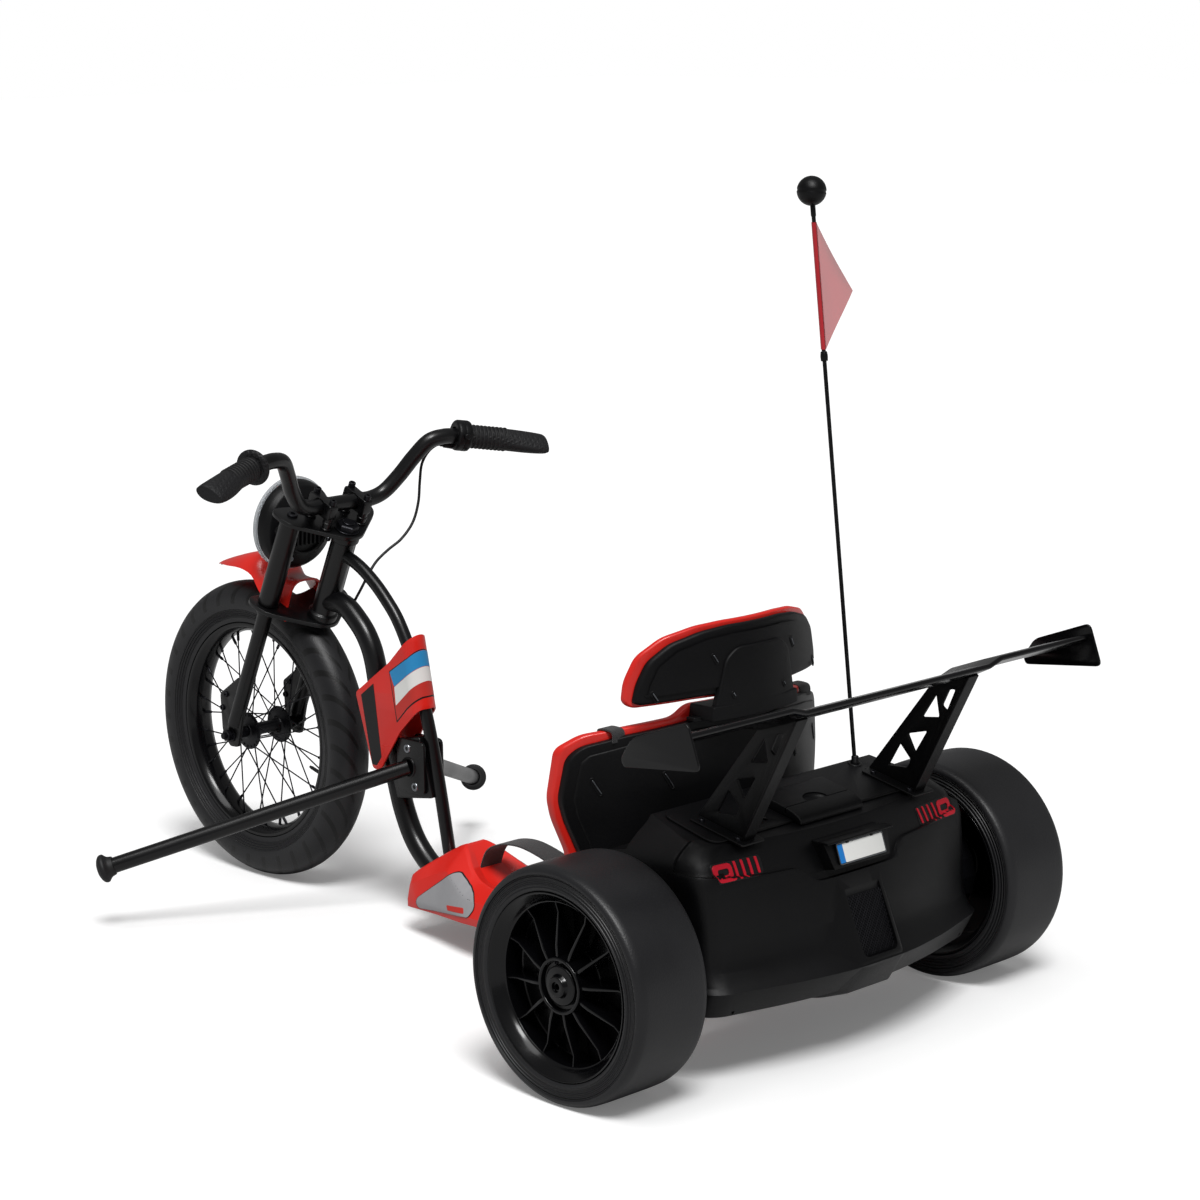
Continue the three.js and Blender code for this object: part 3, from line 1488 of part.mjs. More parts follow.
function tilted(geometry, lift) {
  const lean = new THREE.Matrix4().makeShear(0, deckPlane.slope, 0, 0, 0, 0);
  return at(geometry.applyMatrix4(lean), 0, 0, deckPlane.height + lift);
}

function deckPanel() {
  const { thickness, back, front, corner } = deck;
  const [backHalf, frontHalf] = deckHalfShares.map((share) => share * housingHalfWidth);
  const corners = [[back, -backHalf], [front, -frontHalf], [front, frontHalf], [back, backHalf]];
  const outline = roundedShape(corners, corner);
  const plate = tilted(plateAcrossZ(outline, thickness), thickness / 2 + seatGap);
  const notchLength = hatch.front - hatch.back + seatGap * 2;
  const notchWidth = (hatch.half + seatGap) * 2;
  const notchX = (hatch.front + hatch.back) / 2;
  const notch = block(notchLength, notchWidth, hatch.half, notchX, 0, deckPlane.height);
  const socket = rod("z", flagFoot.socketRadius, hatch.half, flagFoot.x, -flagFoot.y, deckPlane.height);
  return without(solidOf(plate), notch, socket);
}

function hatchLid() {
  const { half, back, front, lift } = hatch;
  const plane = (x) => deckPlane.height + x * deckPlane.slope + seatGap;
  const low = lift * 0.25;
  const side = new THREE.Shape();
  side.moveTo(back, plane(back));
  side.lineTo(back, plane(back) + low);
  const middle = (back + front) / 2;
  side.quadraticCurveTo(back + lift, plane(back) + lift * 0.6, middle, plane(middle) + lift * 0.55);
  side.lineTo(front - low, plane(front) + lift);
  side.lineTo(front, plane(front) + lift * 0.8);
  side.lineTo(front, plane(front));
  side.closePath();
  const scoop = rod("z", half * 0.35, lift, back + lift * 0.2, 0, plane(back) + lift * 0.95, 20);
  return without(solidOf(plateAcrossY(side, half * 2, 5)), scoop);
}

// A thin raised piece that follows the housing's rear face inside an outline in Y and Z.
function onRearFace(shape, from, to) {
  const lower = housingHalfWidth;
  const skin = without(solidOf(shellSkin(to, 0)), shellSkin(from, lower));
  const cutter = at(plateAcrossX(shape, shellDepth, 1), -shellDepth * 0.75, 0, 0);
  return skin.intersect(solidOf(cutter));
}

const lampFootShare = 0.8286;
const lampHeight = 17;
const rearLamp = {
  low: deckPlane.height * lampFootShare,
  high: deckPlane.height * lampFootShare + lampHeight,
  thickness: 2,
  loop: 24,
  bar: 3.4,
  barCount: 4,
  base: 0.8,
};
const lampInnerShare = 0.593;
const lampOuterShare = 0.902;

function lampSolid(side) {
  const { low, high, thickness, loop, bar, barCount, base } = rearLamp;
  const inner = housingHalfWidth * lampInnerShare;
  const outer = housingHalfWidth * lampOuterShare;
  const outline = (a, b, c, d, radius) =>
    roundedShape([[side * a, c], [side * b, c], [side * b, d], [side * a, d]], radius);
  const sink = base / 2;
  let lens = onRearFace(outline(inner, outer, low, high, bar), seatGap, seatGap + base);
  const ring = outline(outer - loop, outer, low, high, bar * 2);
  ring.holes.push(outline(outer - loop + bar, outer - bar, low + bar, high - bar, bar));
  lens = lens.add(onRearFace(ring, seatGap + sink, thickness));
  for (let i = 0; i < barCount; i++) {
    const y = inner + (i + 0.5) * ((outer - loop - inner) / barCount);
    lens = lens.add(onRearFace(outline(y, y + bar, low, high, bar / 4), seatGap + sink, thickness));
  }
  return lens;
}

const plateFootShare = 0.7654;
const plateTopShare = 0.8985;
const plateBox = {
  half: 58,
  low: deckPlane.height * plateFootShare,
  high: deckPlane.height * plateTopShare,
  back: 128,
  lean: 8,
  corner: 4,
  plateHalf: 42,
  plateHeight: 26,
  plateLean: 0.33,
  inset: 2,
};

function plateHolder() {
  const { half, low, high, back, lean, plateHalf, plateHeight, plateLean, inset } = plateBox;
  const side = new THREE.Shape([
    new THREE.Vector2(-back / 2, high),
    new THREE.Vector2(-back + lean, high),
    new THREE.Vector2(-back - lean / 2, low + lean),
    new THREE.Vector2(-back / 2, low - lean),
  ]);
  const body = solidOf(plateAcrossY(side, half * 2));
  const foot = half * 0.8;
  const front = [[-half, high + lap], [half, high + lap], [foot, low - lean], [-foot, low - lean]];
  const taper = plateAcrossX(roundedShape(front, plateBox.corner), back * 3);
  const plate = new THREE.BoxGeometry(inset, plateHalf * 2, plateHeight).rotateY(plateLean);
  const recess = at(plate, -back, 0, (low + high + lean) / 2);
  return without(body.intersect(solidOf(taper)), shellSkin(seatGap, housingHalfWidth), recess);
}

ground.add(
  node("rear_housing", rearHousing(), finish.blackPlastic),
  node("deck_panel", deckPanel(), finish.blackPlastic),
  node("hatch_lid", hatchLid(), finish.blackPlastic),
  node("plate_holder", plateHolder(), finish.blackPlastic),
);
for (const [name, side] of sides) {
  ground.add(node("lamp_" + name, lampSolid(side), finish.redLens));
}

// Wing: a blade with a lowered middle on two cut-out struts, with a plate on each end

const strutPlaceShare = 0.63;
const strutSink = 10.5;
const strut = {
  y: housingHalfWidth * strutPlaceShare,
  web: 4,
  flange: 20,
  flangeThickness: 3,
  length: 164,
  foot: deckPlane.height - strutSink,
  height: 150,
  corner: 3,
};
const strutShares = [[-0.055, 0.088], [-0.537, -0.018], [-1.055, 1.04], [-0.652, 0.895]];
const strutWindowShares = [
  [[-0.713, 0.833], [-0.579, 0.617], [-0.744, 0.643]],
  [[-0.895, 0.9], [-0.815, 0.71], [-0.768, 0.745], [-0.835, 0.89]],
  [[-0.439, 0.453], [-0.628, 0.507], [-0.512, 0.307]],
  [[-0.366, 0.36], [-0.47, 0.24], [-0.439, 0.165], [-0.25, 0.15]],
];
const wingLift = 167.5;
const wing = {
  chord: 88,
  thickness: 10,
  rise: 0.344,
  rearX: 190,
  rearZ: deckPlane.height + wingLift,
  drop: 6.5,
  kinkStart: 11,
  kinkRun: 22,
};
const wingPlate = { thickness: 3, corner: 8 };
const endPlateShares = [
  [-0.543, 0.897], [-0.646, 1.067], [-1.171, 1.28], [-1.287, 0.927], [-0.567, 0.833],
];

function onStrut(shares) {
  return shares.map(([x, z]) => [x * strut.length, strut.foot + z * strut.height]);
}

function strutSolid(side) {
  const y = side * strut.y;
  const outline = roundedShape(onStrut(strutShares), strut.corner);
  for (const windowShares of strutWindowShares) {
    outline.holes.push(roundedShape(onStrut(windowShares), strut.corner));
  }
  const web = at(plateAcrossY(outline, strut.web, 2), 0, y, 0);
  const [front, rear, rearTop] = onStrut(strutShares);
  const edge = (a, b) => {
    const run = new THREE.Vector2(b[0] - a[0], b[1] - a[1]);
    const bar = new THREE.BoxGeometry(run.length(), strut.flange, strut.flangeThickness);
    bar.rotateY(-Math.atan2(run.y, run.x));
    return at(bar, (a[0] + b[0]) / 2, y, (a[1] + b[1]) / 2);
  };
  const solid = joined(web, edge(rear, rearTop), edge(front, rear));
  const high = housingHalfWidth;
  const underDeck = block(shellDepth * 3, high * 3, high, 0, 0, -high / 2);
  return without(solid, tilted(underDeck, deck.thickness + seatGap * 2), wingClear());
}

// Around the blade's section: shares of the chord from the rear edge, of the thickness from the top.
const bladeShares = [[0, 0], [0.35, 0.12], [0.96, 0], [1, -0.5], [0.94, -1], [0.4, -1], [0, -0.6]];

function bladeRing(y, drop, grow) {
  const { chord, thickness, rise, rearX, rearZ } = wing;
  const along = new THREE.Vector2(1, -rise).normalize();
  const up = new THREE.Vector2(rise, 1).normalize();
  return bladeShares.map(([alongShare, upShare]) => {
    const point = new THREE.Vector2(-rearX, rearZ - drop);
    point.addScaledVector(along, alongShare * (chord + grow * 2) - grow);
    point.addScaledVector(up, upShare * (thickness + grow * 2) + grow);
    return [point.x, y, point.y];
  });
}

function bladeSkin(grow) {
  const { drop, kinkStart, kinkRun } = wing;
  const kinkIn = strut.y + kinkStart;
  const kinkOut = kinkIn + kinkRun;
  const half = wingHalfSpan + grow;
  const stations = [[-half, 0], [-kinkOut, 0], [-kinkIn, drop], [kinkIn, drop], [kinkOut, 0], [half, 0]];
  return lofted(stations.map(([y, down]) => bladeRing(y, down, grow)));
}

function wingClear() {
  return bladeSkin(seatGap);
}

function endPlate(side) {
  const { thickness, corner } = wingPlate;
  const plate = plateAcrossY(roundedShape(onStrut(endPlateShares), corner), thickness);
  return at(plate, 0, side * (wingHalfSpan + seatGap + thickness / 2), 0);
}

ground.add(node("wing_blade", bladeSkin(0), finish.glossPlastic));
for (const [name, side] of sides) {
  ground.add(node("wing_strut_" + name, strutSolid(side), finish.blackPlastic));
  ground.add(node("wing_plate_" + name, endPlate(side), finish.glossPlastic));
}

// Flag: a leaning rod, its ball and its pennant

const flag = { topX: 84, ballRadius: 18.5, pennantOut: 44, cloth: 1.2 };
const pennantTopShare = 0.955;
const pennantLowShare = 0.735;
const poleShares = [0, 0.25, 0.5, 0.75, 1];

function flagPoint(share) {
  const rise = flagHeight - flag.ballRadius - flagStart();
  return [
    flagFoot.x + (flag.topX - flagFoot.x) * share,
    -flagFoot.y,
    flagStart() + rise * share,
  ];
}

function flagStart() {
  return deckPlane.height + (flagFoot.x + flagFoot.collarRadius) * deckPlane.slope + seatGap;
}

function flagPole() {
  const pole = tubeAlong(poleShares.map(flagPoint), flagFoot.radius, 8, 6);
  const [x, y, z] = flagPoint(0);
  const { collarRadius, collarHeight } = flagFoot;
  return joined(pole, rod("z", collarRadius, collarHeight, x, y, z + collarHeight / 2, 10));
}

function flagBall() {
  const [x, y, z] = flagPoint(1);
  const ball = at(new THREE.SphereGeometry(flag.ballRadius, 12, 7).rotateX(upright), x, y, z);
  const bore = tubeAlong(poleShares.map(flagPoint), flagFoot.radius + seatGap, 8, 6);
  return without(solidOf(ball), bore);
}

function flagPennant() {
  const [topX, , topZ] = flagPoint(pennantTopShare);
  const [lowX, , lowZ] = flagPoint(pennantLowShare);
  const sleeve = flagFoot.radius * 1.6;
  const outline = new THREE.Shape([
    new THREE.Vector2(topX - sleeve, topZ),
    new THREE.Vector2(topX - sleeve * 2 - flag.pennantOut, (topZ + lowZ) / 2 - flag.cloth),
    new THREE.Vector2(lowX - sleeve, lowZ),
    new THREE.Vector2(lowX + sleeve, lowZ),
    new THREE.Vector2(topX + sleeve, topZ),
  ]);
  const sheet = at(plateAcrossY(outline, flag.cloth), 0, -flagFoot.y, 0);
  const points = poleShares.map(flagPoint);
  const tube = tubeAlong(points, sleeve, 8, 6);
  const middleX = (topX + lowX) / 2;
  const middleZ = (topZ + lowZ) / 2;
  const part = block(sleeve * 8, sleeve * 8, topZ - lowZ, middleX, -flagFoot.y, middleZ);
  const sleeveSolid = solidOf(tube).intersect(solidOf(part));
  return without(sleeveSolid.add(solidOf(sheet)), tubeAlong(points, flagFoot.radius + seatGap, 8, 6));
}

ground.add(
  node("flag_pole", flagPole(), finish.blackPlastic),
  node("flag_ball", flagBall(), finish.blackPlastic),
  node("flag_pennant", flagPennant(), finish.pennant),
);

trike.updateMatrixWorld(true);
const reach = new THREE.Box3().setFromObject(trike, true);
ground.position.x = -(reach.min.x + reach.max.x) / 2;
trike.updateMatrixWorld(true);
export default trike;
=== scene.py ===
# Drift trike seen from behind its left rear wheel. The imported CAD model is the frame; every piece
# here dresses or replaces one of its nodes. Sizes are in millimetres from the ground under the rear
# axle (X forward, Y left, Z up), and the place matrices turn them into the scene's metres.
import math
import bpy
import bmesh
from mathutils import Matrix, Vector
from mathutils.bvhtree import BVHTree


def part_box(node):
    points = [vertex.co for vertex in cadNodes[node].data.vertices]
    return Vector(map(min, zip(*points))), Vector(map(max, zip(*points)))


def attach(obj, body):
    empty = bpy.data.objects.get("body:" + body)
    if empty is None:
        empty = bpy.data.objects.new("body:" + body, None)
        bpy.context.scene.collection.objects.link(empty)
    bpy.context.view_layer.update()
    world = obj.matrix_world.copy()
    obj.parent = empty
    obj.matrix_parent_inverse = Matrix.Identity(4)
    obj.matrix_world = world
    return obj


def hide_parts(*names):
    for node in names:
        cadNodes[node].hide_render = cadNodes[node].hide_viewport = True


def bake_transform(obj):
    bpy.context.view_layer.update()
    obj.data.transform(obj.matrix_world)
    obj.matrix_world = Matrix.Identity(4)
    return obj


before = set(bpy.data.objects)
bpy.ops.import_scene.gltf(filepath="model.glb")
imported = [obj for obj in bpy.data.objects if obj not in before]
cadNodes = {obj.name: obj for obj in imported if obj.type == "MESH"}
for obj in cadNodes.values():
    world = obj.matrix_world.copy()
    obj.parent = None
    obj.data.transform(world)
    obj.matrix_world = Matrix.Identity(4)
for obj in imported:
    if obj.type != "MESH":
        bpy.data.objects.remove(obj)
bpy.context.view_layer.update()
print("frame loaded:", len(cadNodes), "nodes")

mm = 0.001
fullTurn = 2 * math.pi
axleLow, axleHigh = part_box("rear_axle")
axleX = (axleLow.x + axleHigh.x) / 2
trikePlace = Matrix.Translation((axleX, 0, 0)) @ Matrix.Scale(mm, 4)

head = {"x": 965.228, "z": 195.685, "rakeDegrees": 24.5}
steerPlace = (
    trikePlace
    @ Matrix.Translation((head["x"], 0, head["z"]))
    @ Matrix.Rotation(-math.radians(head["rakeDegrees"]), 4, "Y")
)


# camera, at the photograph's view

camera = {
    "x": -2466.05, "y": 2722.88, "z": 1263.79,
    "yaw": -44.443, "pitch": 11.20376, "roll": -0.71427,
    "lens": 93.012, "shiftX": -0.00029, "shiftY": 0.00292,
}


def addObject(name, data):
    # a new object in the scene that shows this data
    thing = bpy.data.objects.new(name, data)
    bpy.context.scene.collection.objects.link(thing)
    return thing


def makeCamera():
    yaw, pitch, roll = (math.radians(camera[key]) for key in ("yaw", "pitch", "roll"))
    ahead = Vector((math.cos(pitch) * math.cos(yaw), math.cos(pitch) * math.sin(yaw), -math.sin(pitch)))
    levelRight = ahead.cross(Vector((0, 0, 1))).normalized()
    levelUp = levelRight.cross(ahead)
    right = levelRight * math.cos(roll) + levelUp * math.sin(roll)
    up = levelUp * math.cos(roll) - levelRight * math.sin(roll)
    data = bpy.data.cameras.new("photoCamera")
    data.lens = camera["lens"]
    data.sensor_width = 36
    data.shift_x = camera["shiftX"]
    data.shift_y = camera["shiftY"]
    data.clip_end = 200
    eye = addObject("photoCamera", data)
    turn = Matrix((right, up, -ahead)).transposed().to_4x4()
    eye.matrix_world = Matrix.Translation(trikePlace @ Vector((camera["x"], camera["y"], camera["z"]))) @ turn
    bpy.context.scene.camera = eye


makeCamera()


# node and material helpers

def linear(hexColor, strength=1.0):
    # an sRGB hex colour as the linear one that a shader socket takes
    parts = [int(hexColor[i:i + 2], 16) / 255 for i in (0, 2, 4)]
    return [strength * (p / 12.92 if p <= 0.04045 else ((p + 0.055) / 1.055) ** 2.4) for p in parts] + [1.0]


def addNode(tree, kind, inputs=None, **settings):
    node = tree.nodes.new(kind)
    for key, value in settings.items():
        setattr(node, key, value)
    for key, value in (inputs or {}).items():
        if isinstance(value, bpy.types.NodeSocket):
            tree.links.new(value, node.inputs[key])
        else:
            node.inputs[key].default_value = value
    return node


def addMath(tree, operation, *values):
    return addNode(tree, "ShaderNodeMath", dict(enumerate(values)), operation=operation).outputs[0]


def mixColor(tree, share, first, second):
    # inputs 0, 6 and 7 and output 2 are the ones for colours
    return addNode(tree, "ShaderNodeMix", {0: share, 6: first, 7: second}, data_type="RGBA").outputs[2]


def spread(tree, value, low, high, toLow, toHigh):
    inputs = {"Value": value, "From Min": low, "From Max": high, "To Min": toLow, "To Max": toHigh}
    return addNode(tree, "ShaderNodeMapRange", inputs).outputs[0]


def surface(name, color, worn, roughness, metallic=0.0, specular=0.5, grain=900, depth=0.05, coat=0.0):
    # One moulded, painted or cast finish: a broad mottle moves colour and roughness a little, a
    # fine grain breaks the highlight. Returns the material, its tree, shader and coordinates.
    material = bpy.data.materials.new(name)
    material.use_nodes = True
    tree = material.node_tree
    shader = tree.nodes["Principled BSDF"]
    place = addNode(tree, "ShaderNodeTexCoord").outputs["Object"]
    broad = addNode(tree, "ShaderNodeTexNoise", {"Vector": place, "Scale": 7.0, "Detail": 5.0}).outputs[0]
    fine = addNode(tree, "ShaderNodeTexNoise", {"Vector": place, "Scale": grain, "Detail": 2.0}).outputs[0]
    share = spread(tree, broad, 0.35, 0.75, 0.0, 1.0)
    tree.links.new(mixColor(tree, share, linear(color), linear(worn)), shader.inputs["Base Color"])
    rough = spread(tree, broad, 0.3, 0.7, roughness * 0.85, min(1.0, roughness * 1.2))
    tree.links.new(rough, shader.inputs["Roughness"])
    bump = addNode(tree, "ShaderNodeBump", {"Height": fine, "Strength": depth, "Distance": 0.001})
    tree.links.new(bump.outputs[0], shader.inputs["Normal"])
    shader.inputs["Metallic"].default_value = metallic
    shader.inputs["Specular IOR Level"].default_value = specular
    shader.inputs["Coat Weight"].default_value = coat
    shader.inputs["Coat Roughness"].default_value = 0.08
    return material, tree, shader, place


looks = {
    # the name, the colour and its worn tone, roughness, metallic, specular, grain scale and depth, coat
    # powder-coated tube: deep black with a soft clear highlight along its length
    "blackPaint": ("glossBlackPowderCoat", "060607", "09090b", 0.3, 0.0, 0.35, 700, 0.1, 0.1),
    # moulded housing plastic: satin black with a fine spark-eroded grain
    "blackPlastic": ("satinBlackHousing", "050506", "08080a", 0.38, 0.0, 0.24, 1400, 0.22),
    # seat backs: the same plastic, a little more matt
    "seatPlastic": ("mattBlackSeatBack", "060607", "09090b", 0.45, 0.0, 0.22, 1100, 0.3),
    # rims, wing and end plates: piano black that shows sharp light edges
    "glossBlack": ("pianoBlackPlastic", "040405", "060608", 0.2, 0.0, 0.3, 400, 0.02, 0.1),
    # bright red moulded panels, semi-gloss
    "redPlastic": ("signalRedPanel", "dc261c", "cf2018", 0.3, 0.0, 0.45, 800, 0.06, 0.15),
    # zinc-plated bolts: small cool grey glints
    "steel": ("zincPlatedBolt", "8f9297", "75787d", 0.32, 1.0, 0.5, 600, 0.08),
    # blackened screws, spokes and nuts: dark metal that only its edges give away
    "blackSteel": ("blackenedBolt", "16161a", "222227", 0.36, 0.7, 0.5, 600, 0.1),
    # cast hubs: a shade lighter than the paint, with a broad metal sheen
    "hubAlloy": ("blackHubAlloy", "101013", "1a1a1e", 0.3, 0.5, 0.5, 500, 0.06),
    # cable and valve: dull black sheath
    "cableSheath": ("cableSheath", "0e0e0f", "151517", 0.5, 0.0, 0.4, 1500, 0.1),
    # battery: plain dark grey case
    "battery": ("greyBatteryCase", "2a2d31", "34373c", 0.6, 0.0, 0.4, 600, 0.1),
    # peg caps and grip bands: soft matt rubber without a highlight
    "capRubber": ("pegCapRubber", "121213", "1b1b1c", 0.62, 0.0, 0.4, 900, 0.3),
    # printed films, each an even colour with a faint gloss
    "paleSticker": ("greySticker", "9a9a9c", "8d8d90", 0.42, 0.0, 0.4, 500, 0.03),
    "blackSticker": ("blackSticker", "0c0c0d", "101011", 0.35, 0.0, 0.4, 500, 0.02),
    "redSticker": ("redSticker", "c4342c", "b92d26", 0.4, 0.0, 0.4, 500, 0.02),
    "whiteSticker": ("whiteSticker", "e9e9e6", "dedfdc", 0.35, 0.0, 0.4, 500, 0.02),
    "blueSticker": ("skyBlueSticker", "2b8fc9", "2787bf", 0.35, 0.0, 0.4, 500, 0.02),
    # the plate's blue end, a stronger blue than the panel's band
    "plateBlue": ("plateBlueBand", "1d7fd0", "1b56a0", 0.35, 0.0, 0.4, 500, 0.02),
    # red lamp lens: deep red that stays saturated where light falls on it
    "redLens": ("redLampLens", "c8102a", "b20d22", 0.32, 0.0, 0.4, 300, 0.02, 0.0),
}
finish = {look: surface(*values)[0] for look, values in looks.items()}


def addRelief(tree, shader, height, strength, distance):
    # a coarser bump on top of the finish's own grain
    inner = shader.inputs["Normal"].links[0].from_socket
    inputs = {"Height": height, "Normal": inner, "Strength": strength, "Distance": distance}
    bump = addNode(tree, "ShaderNodeBump", inputs)
    tree.links.new(bump.outputs[0], shader.inputs["Normal"])


def makeTyreRubber(name, centre, ringRadii, sipes=None):
    # rubber with fine moulding rings on the sidewall and, for a tread, swept sipes whose grooves are painted
    # near black as painted shade
    material, tree, shader, place = surface(name, "19191b", "202022", 0.42, 0.0, 0.38, 500, 0.25)

    def op(operation, *values):
        return addMath(tree, operation, *values)

    mapping = {"Vector": place, "Location": [-c for c in centre]}
    centred = addNode(tree, "ShaderNodeMapping", mapping).outputs[0]
    x, y, z = addNode(tree, "ShaderNodeSeparateXYZ", {0: centred}).outputs
    radius = op("SQRT", op("ADD", op("MULTIPLY", x, x), op("MULTIPLY", z, z)))
    low, high, pitch = ringRadii
    wave = op("SINE", op("MULTIPLY", radius, fullTurn / (pitch * mm)))
    within = op("MULTIPLY", op("GREATER_THAN", radius, low * mm), op("LESS_THAN", radius, high * mm))
    height = op("MULTIPLY", op("MULTIPLY", wave, within), 0.25)
    if sipes:
        across = op("ABSOLUTE", y)
        turns = op("MULTIPLY", op("ARCTAN2", z, x), sipes["count"] / fullTurn)
        bend = op("POWER", op("DIVIDE", across, sipes["half"] * mm), 0.7)
        sweep = op("MULTIPLY", bend, sipes["sweep"])
        phase = op("ADD", op("ADD", turns, sweep), op("MULTIPLY", op("SIGN", y), 0.25))
        offLine = op("ABSOLUTE", op("SUBTRACT", op("FRACT", phase), 0.5))
        line = op("LESS_THAN", offLine, sipes["width"])
        outside = op("GREATER_THAN", radius, sipes["fromRadius"] * mm)
        onTread = op("MULTIPLY", outside, op("GREATER_THAN", across, sipes["centre"] * mm))
        groove = op("MULTIPLY", line, onTread)
        height = op("SUBTRACT", height, groove)
        # painted shade: the sipe grooves get a near-black colour, standing in for the shade that falls inside
        # them
        old = shader.inputs["Base Color"].links[0].from_socket
        grooveShadePainted = mixColor(tree, op("MULTIPLY", groove, 0.9), old, linear("020202"))
        tree.links.new(grooveShadePainted, shader.inputs["Base Color"])
    addRelief(tree, shader, height, 1.0, 0.004)
    return material


def makeWebbing():
    # black webbing: a twill of raised ribs across the strap and a soft sheen
    material, tree, shader, place = surface("blackWebbing", "151516", "1d1d1f", 0.85, 0.0, 0.3, 1500, 0.3)
    inputs = {"Vector": place, "Scale": 260.0, "Distortion": 0.4}
    wave = addNode(tree, "ShaderNodeTexWave", inputs, bands_direction="DIAGONAL")
    addRelief(tree, shader, wave.outputs[1], 0.7, 0.0006)
    shader.inputs["Sheen Weight"].default_value = 0.35
    return material


def makeGripRubber():
    # soft rubber with a raised diamond grid, as on palm grips
    material, tree, shader, place = surface("ribbedGripRubber", "101012", "171719", 0.6, 0.0, 0.35, 900, 0.2)
    turned = addNode(tree, "ShaderNodeMapping", {"Vector": place, "Rotation": (0.4, 0.0, 0.55)}).outputs[0]
    split = addNode(tree, "ShaderNodeSeparateXYZ", {0: turned})
    waves = [addMath(tree, "SINE", addMath(tree, "MULTIPLY", axis, 1150.0)) for axis in split.outputs]
    grid = addMath(tree, "MAXIMUM", addMath(tree, "MAXIMUM", waves[0], waves[1]), waves[2])
    addRelief(tree, shader, grid, 0.6, 0.0008)
    return material


def makeClearLens():
    # clear headlight lens, faintly milky all over
    material, shader = surface("clearHeadlightLens", "e6e9ec", "dde2e6", 0.08, 0.0, 0.5, 200, 0.02)[::2]
    shader.inputs["Transmission Weight"].default_value = 0.6
    shader.inputs["IOR"].default_value = 1.49
    return material


def makeFlagCloth():
    # thin dyed flag cloth: light comes through it, a fine weave shows close up
    material, tree, shader, place = surface("redFlagCloth", "c92c35", "bd2630", 0.75, 0.0, 0.3, 1200, 0.1)
    wave = addNode(tree, "ShaderNodeTexWave", {"Vector": place, "Scale": 420.0}, bands_direction="Z")
    addRelief(tree, shader, wave.outputs[1], 0.3, 0.0003)
    shader.inputs["Sheen Weight"].default_value = 0.2
    shader.inputs["Alpha"].default_value = 0.8
    return material


finish["webbing"] = makeWebbing()
finish["grip"] = makeGripRubber()
finish["lens"] = makeClearLens()
finish["flagCloth"] = makeFlagCloth()
print("materials made:", len(finish))


# shape helpers

def roundCorners(points, radius, steps=4, closed=True):
    # every corner of a 2-D outline becomes a short curve; a radius may be given for each point
    done = []
    count = len(points)
    for i, corner in enumerate(points):
        here = Vector(corner[:2])
        reach = corner[2] if len(corner) > 2 else radius
        if not closed and i in (0, count - 1):
            done.append((here.x, here.y))
            continue
        back = Vector(points[i - 1][:2]) - here
        on = Vector(points[(i + 1) % count][:2]) - here
        reach = min(reach, back.length / 2.05, on.length / 2.05)
        start = here + back.normalized() * reach
        end = here + on.normalized() * reach
        for k in range(steps + 1):
            t = k / steps
            point = start * (1 - t) ** 2 + here * 2 * t * (1 - t) + end * t * t
            done.append((point.x, point.y))
    return done


def smoothPath(points, perStep=6):
    # a smooth curve through the points, close enough together to look round
    points = [Vector(p) for p in points]
    first = points[0] * 2 - points[1]
    last = points[-1] * 2 - points[-2]
    ends = [first] + points + [last]
    path = []
    for i in range(1, len(ends) - 2):
        a, b, c, d = ends[i - 1:i + 3]
        for k in range(perStep):
            t = k / perStep
            bend = (2 * a - 5 * b + 4 * c - d) * t * t
            path.append(0.5 * (2 * b + (c - a) * t + bend + (3 * b - a - 3 * c + d) * t ** 3))
    path.append(points[-1])
    return path


def tubeShape(path, radius, sides=16, flat=1.0):
    # verts and faces of a round tube along a path; radius may be a list, one for each point
    path = [Vector(p) for p in path]
    radii = radius if isinstance(radius, (list, tuple)) else [radius] * len(path)
    verts = []
    faces = []
    tangent = (path[1] - path[0]).normalized()
    across = tangent.orthogonal().normalized()
    for i, point in enumerate(path):
        ahead = path[min(i + 1, len(path) - 1)] - path[max(i - 1, 0)]
        turn = tangent.rotation_difference(ahead.normalized())
        across = (turn @ across).normalized()
        tangent = ahead.normalized()
        other = tangent.cross(across)
        for k in range(sides):
            angle = fullTurn * k / sides
            verts.append(point + (across * math.cos(angle) + other * math.sin(angle) * flat) * radii[i])
    for i in range(len(path) - 1):
        for k in range(sides):
            a = i * sides + k
            b = i * sides + (k + 1) % sides
            faces.append((a, b, b + sides, a + sides))
    faces.append(tuple(reversed(range(sides))))
    faces.append(tuple(range((len(path) - 1) * sides, len(path) * sides)))
    return verts, faces


def spunShape(profile, steps=64, closed=True):
    # (radius, along Y) points turned about Y; an open profile starts and ends on the axis
    verts = []
    faces = []
    rows = []
    for radius, along in profile:
        if radius < 1e-6:
            rows.append([len(verts)] * steps)
            verts.append(Vector((0, along, 0)))
            continue
        rows.append(list(range(len(verts), len(verts) + steps)))
        for k in range(steps):
            angle = fullTurn * k / steps
            verts.append(Vector((radius * math.cos(angle), along, radius * math.sin(angle))))
    pairs = list(zip(rows, rows[1:]))
    if closed:
        pairs.append((rows[-1], rows[0]))
    for one, two in pairs:
        for k in range(steps):
            quad = [one[k], one[(k + 1) % steps], two[(k + 1) % steps], two[k]]
            kept = list(dict.fromkeys(quad))
            if len(kept) > 2:
                faces.append(tuple(kept))
    return verts, faces


def loftShape(rings):
    # a closed skin through rings of equally many points, flat at both ends
    verts = [Vector(p) for ring in rings for p in ring]
    count = len(rings[0])
    faces = []
    for i in range(len(rings) - 1):
        for k in range(count):
            a = i * count + k
            b = i * count + (k + 1) % count
            faces.append((a, b, b + count, a + count))
    faces.append(tuple(reversed(range(count))))
    faces.append(tuple(range((len(rings) - 1) * count, len(rings) * count)))
    return verts, faces


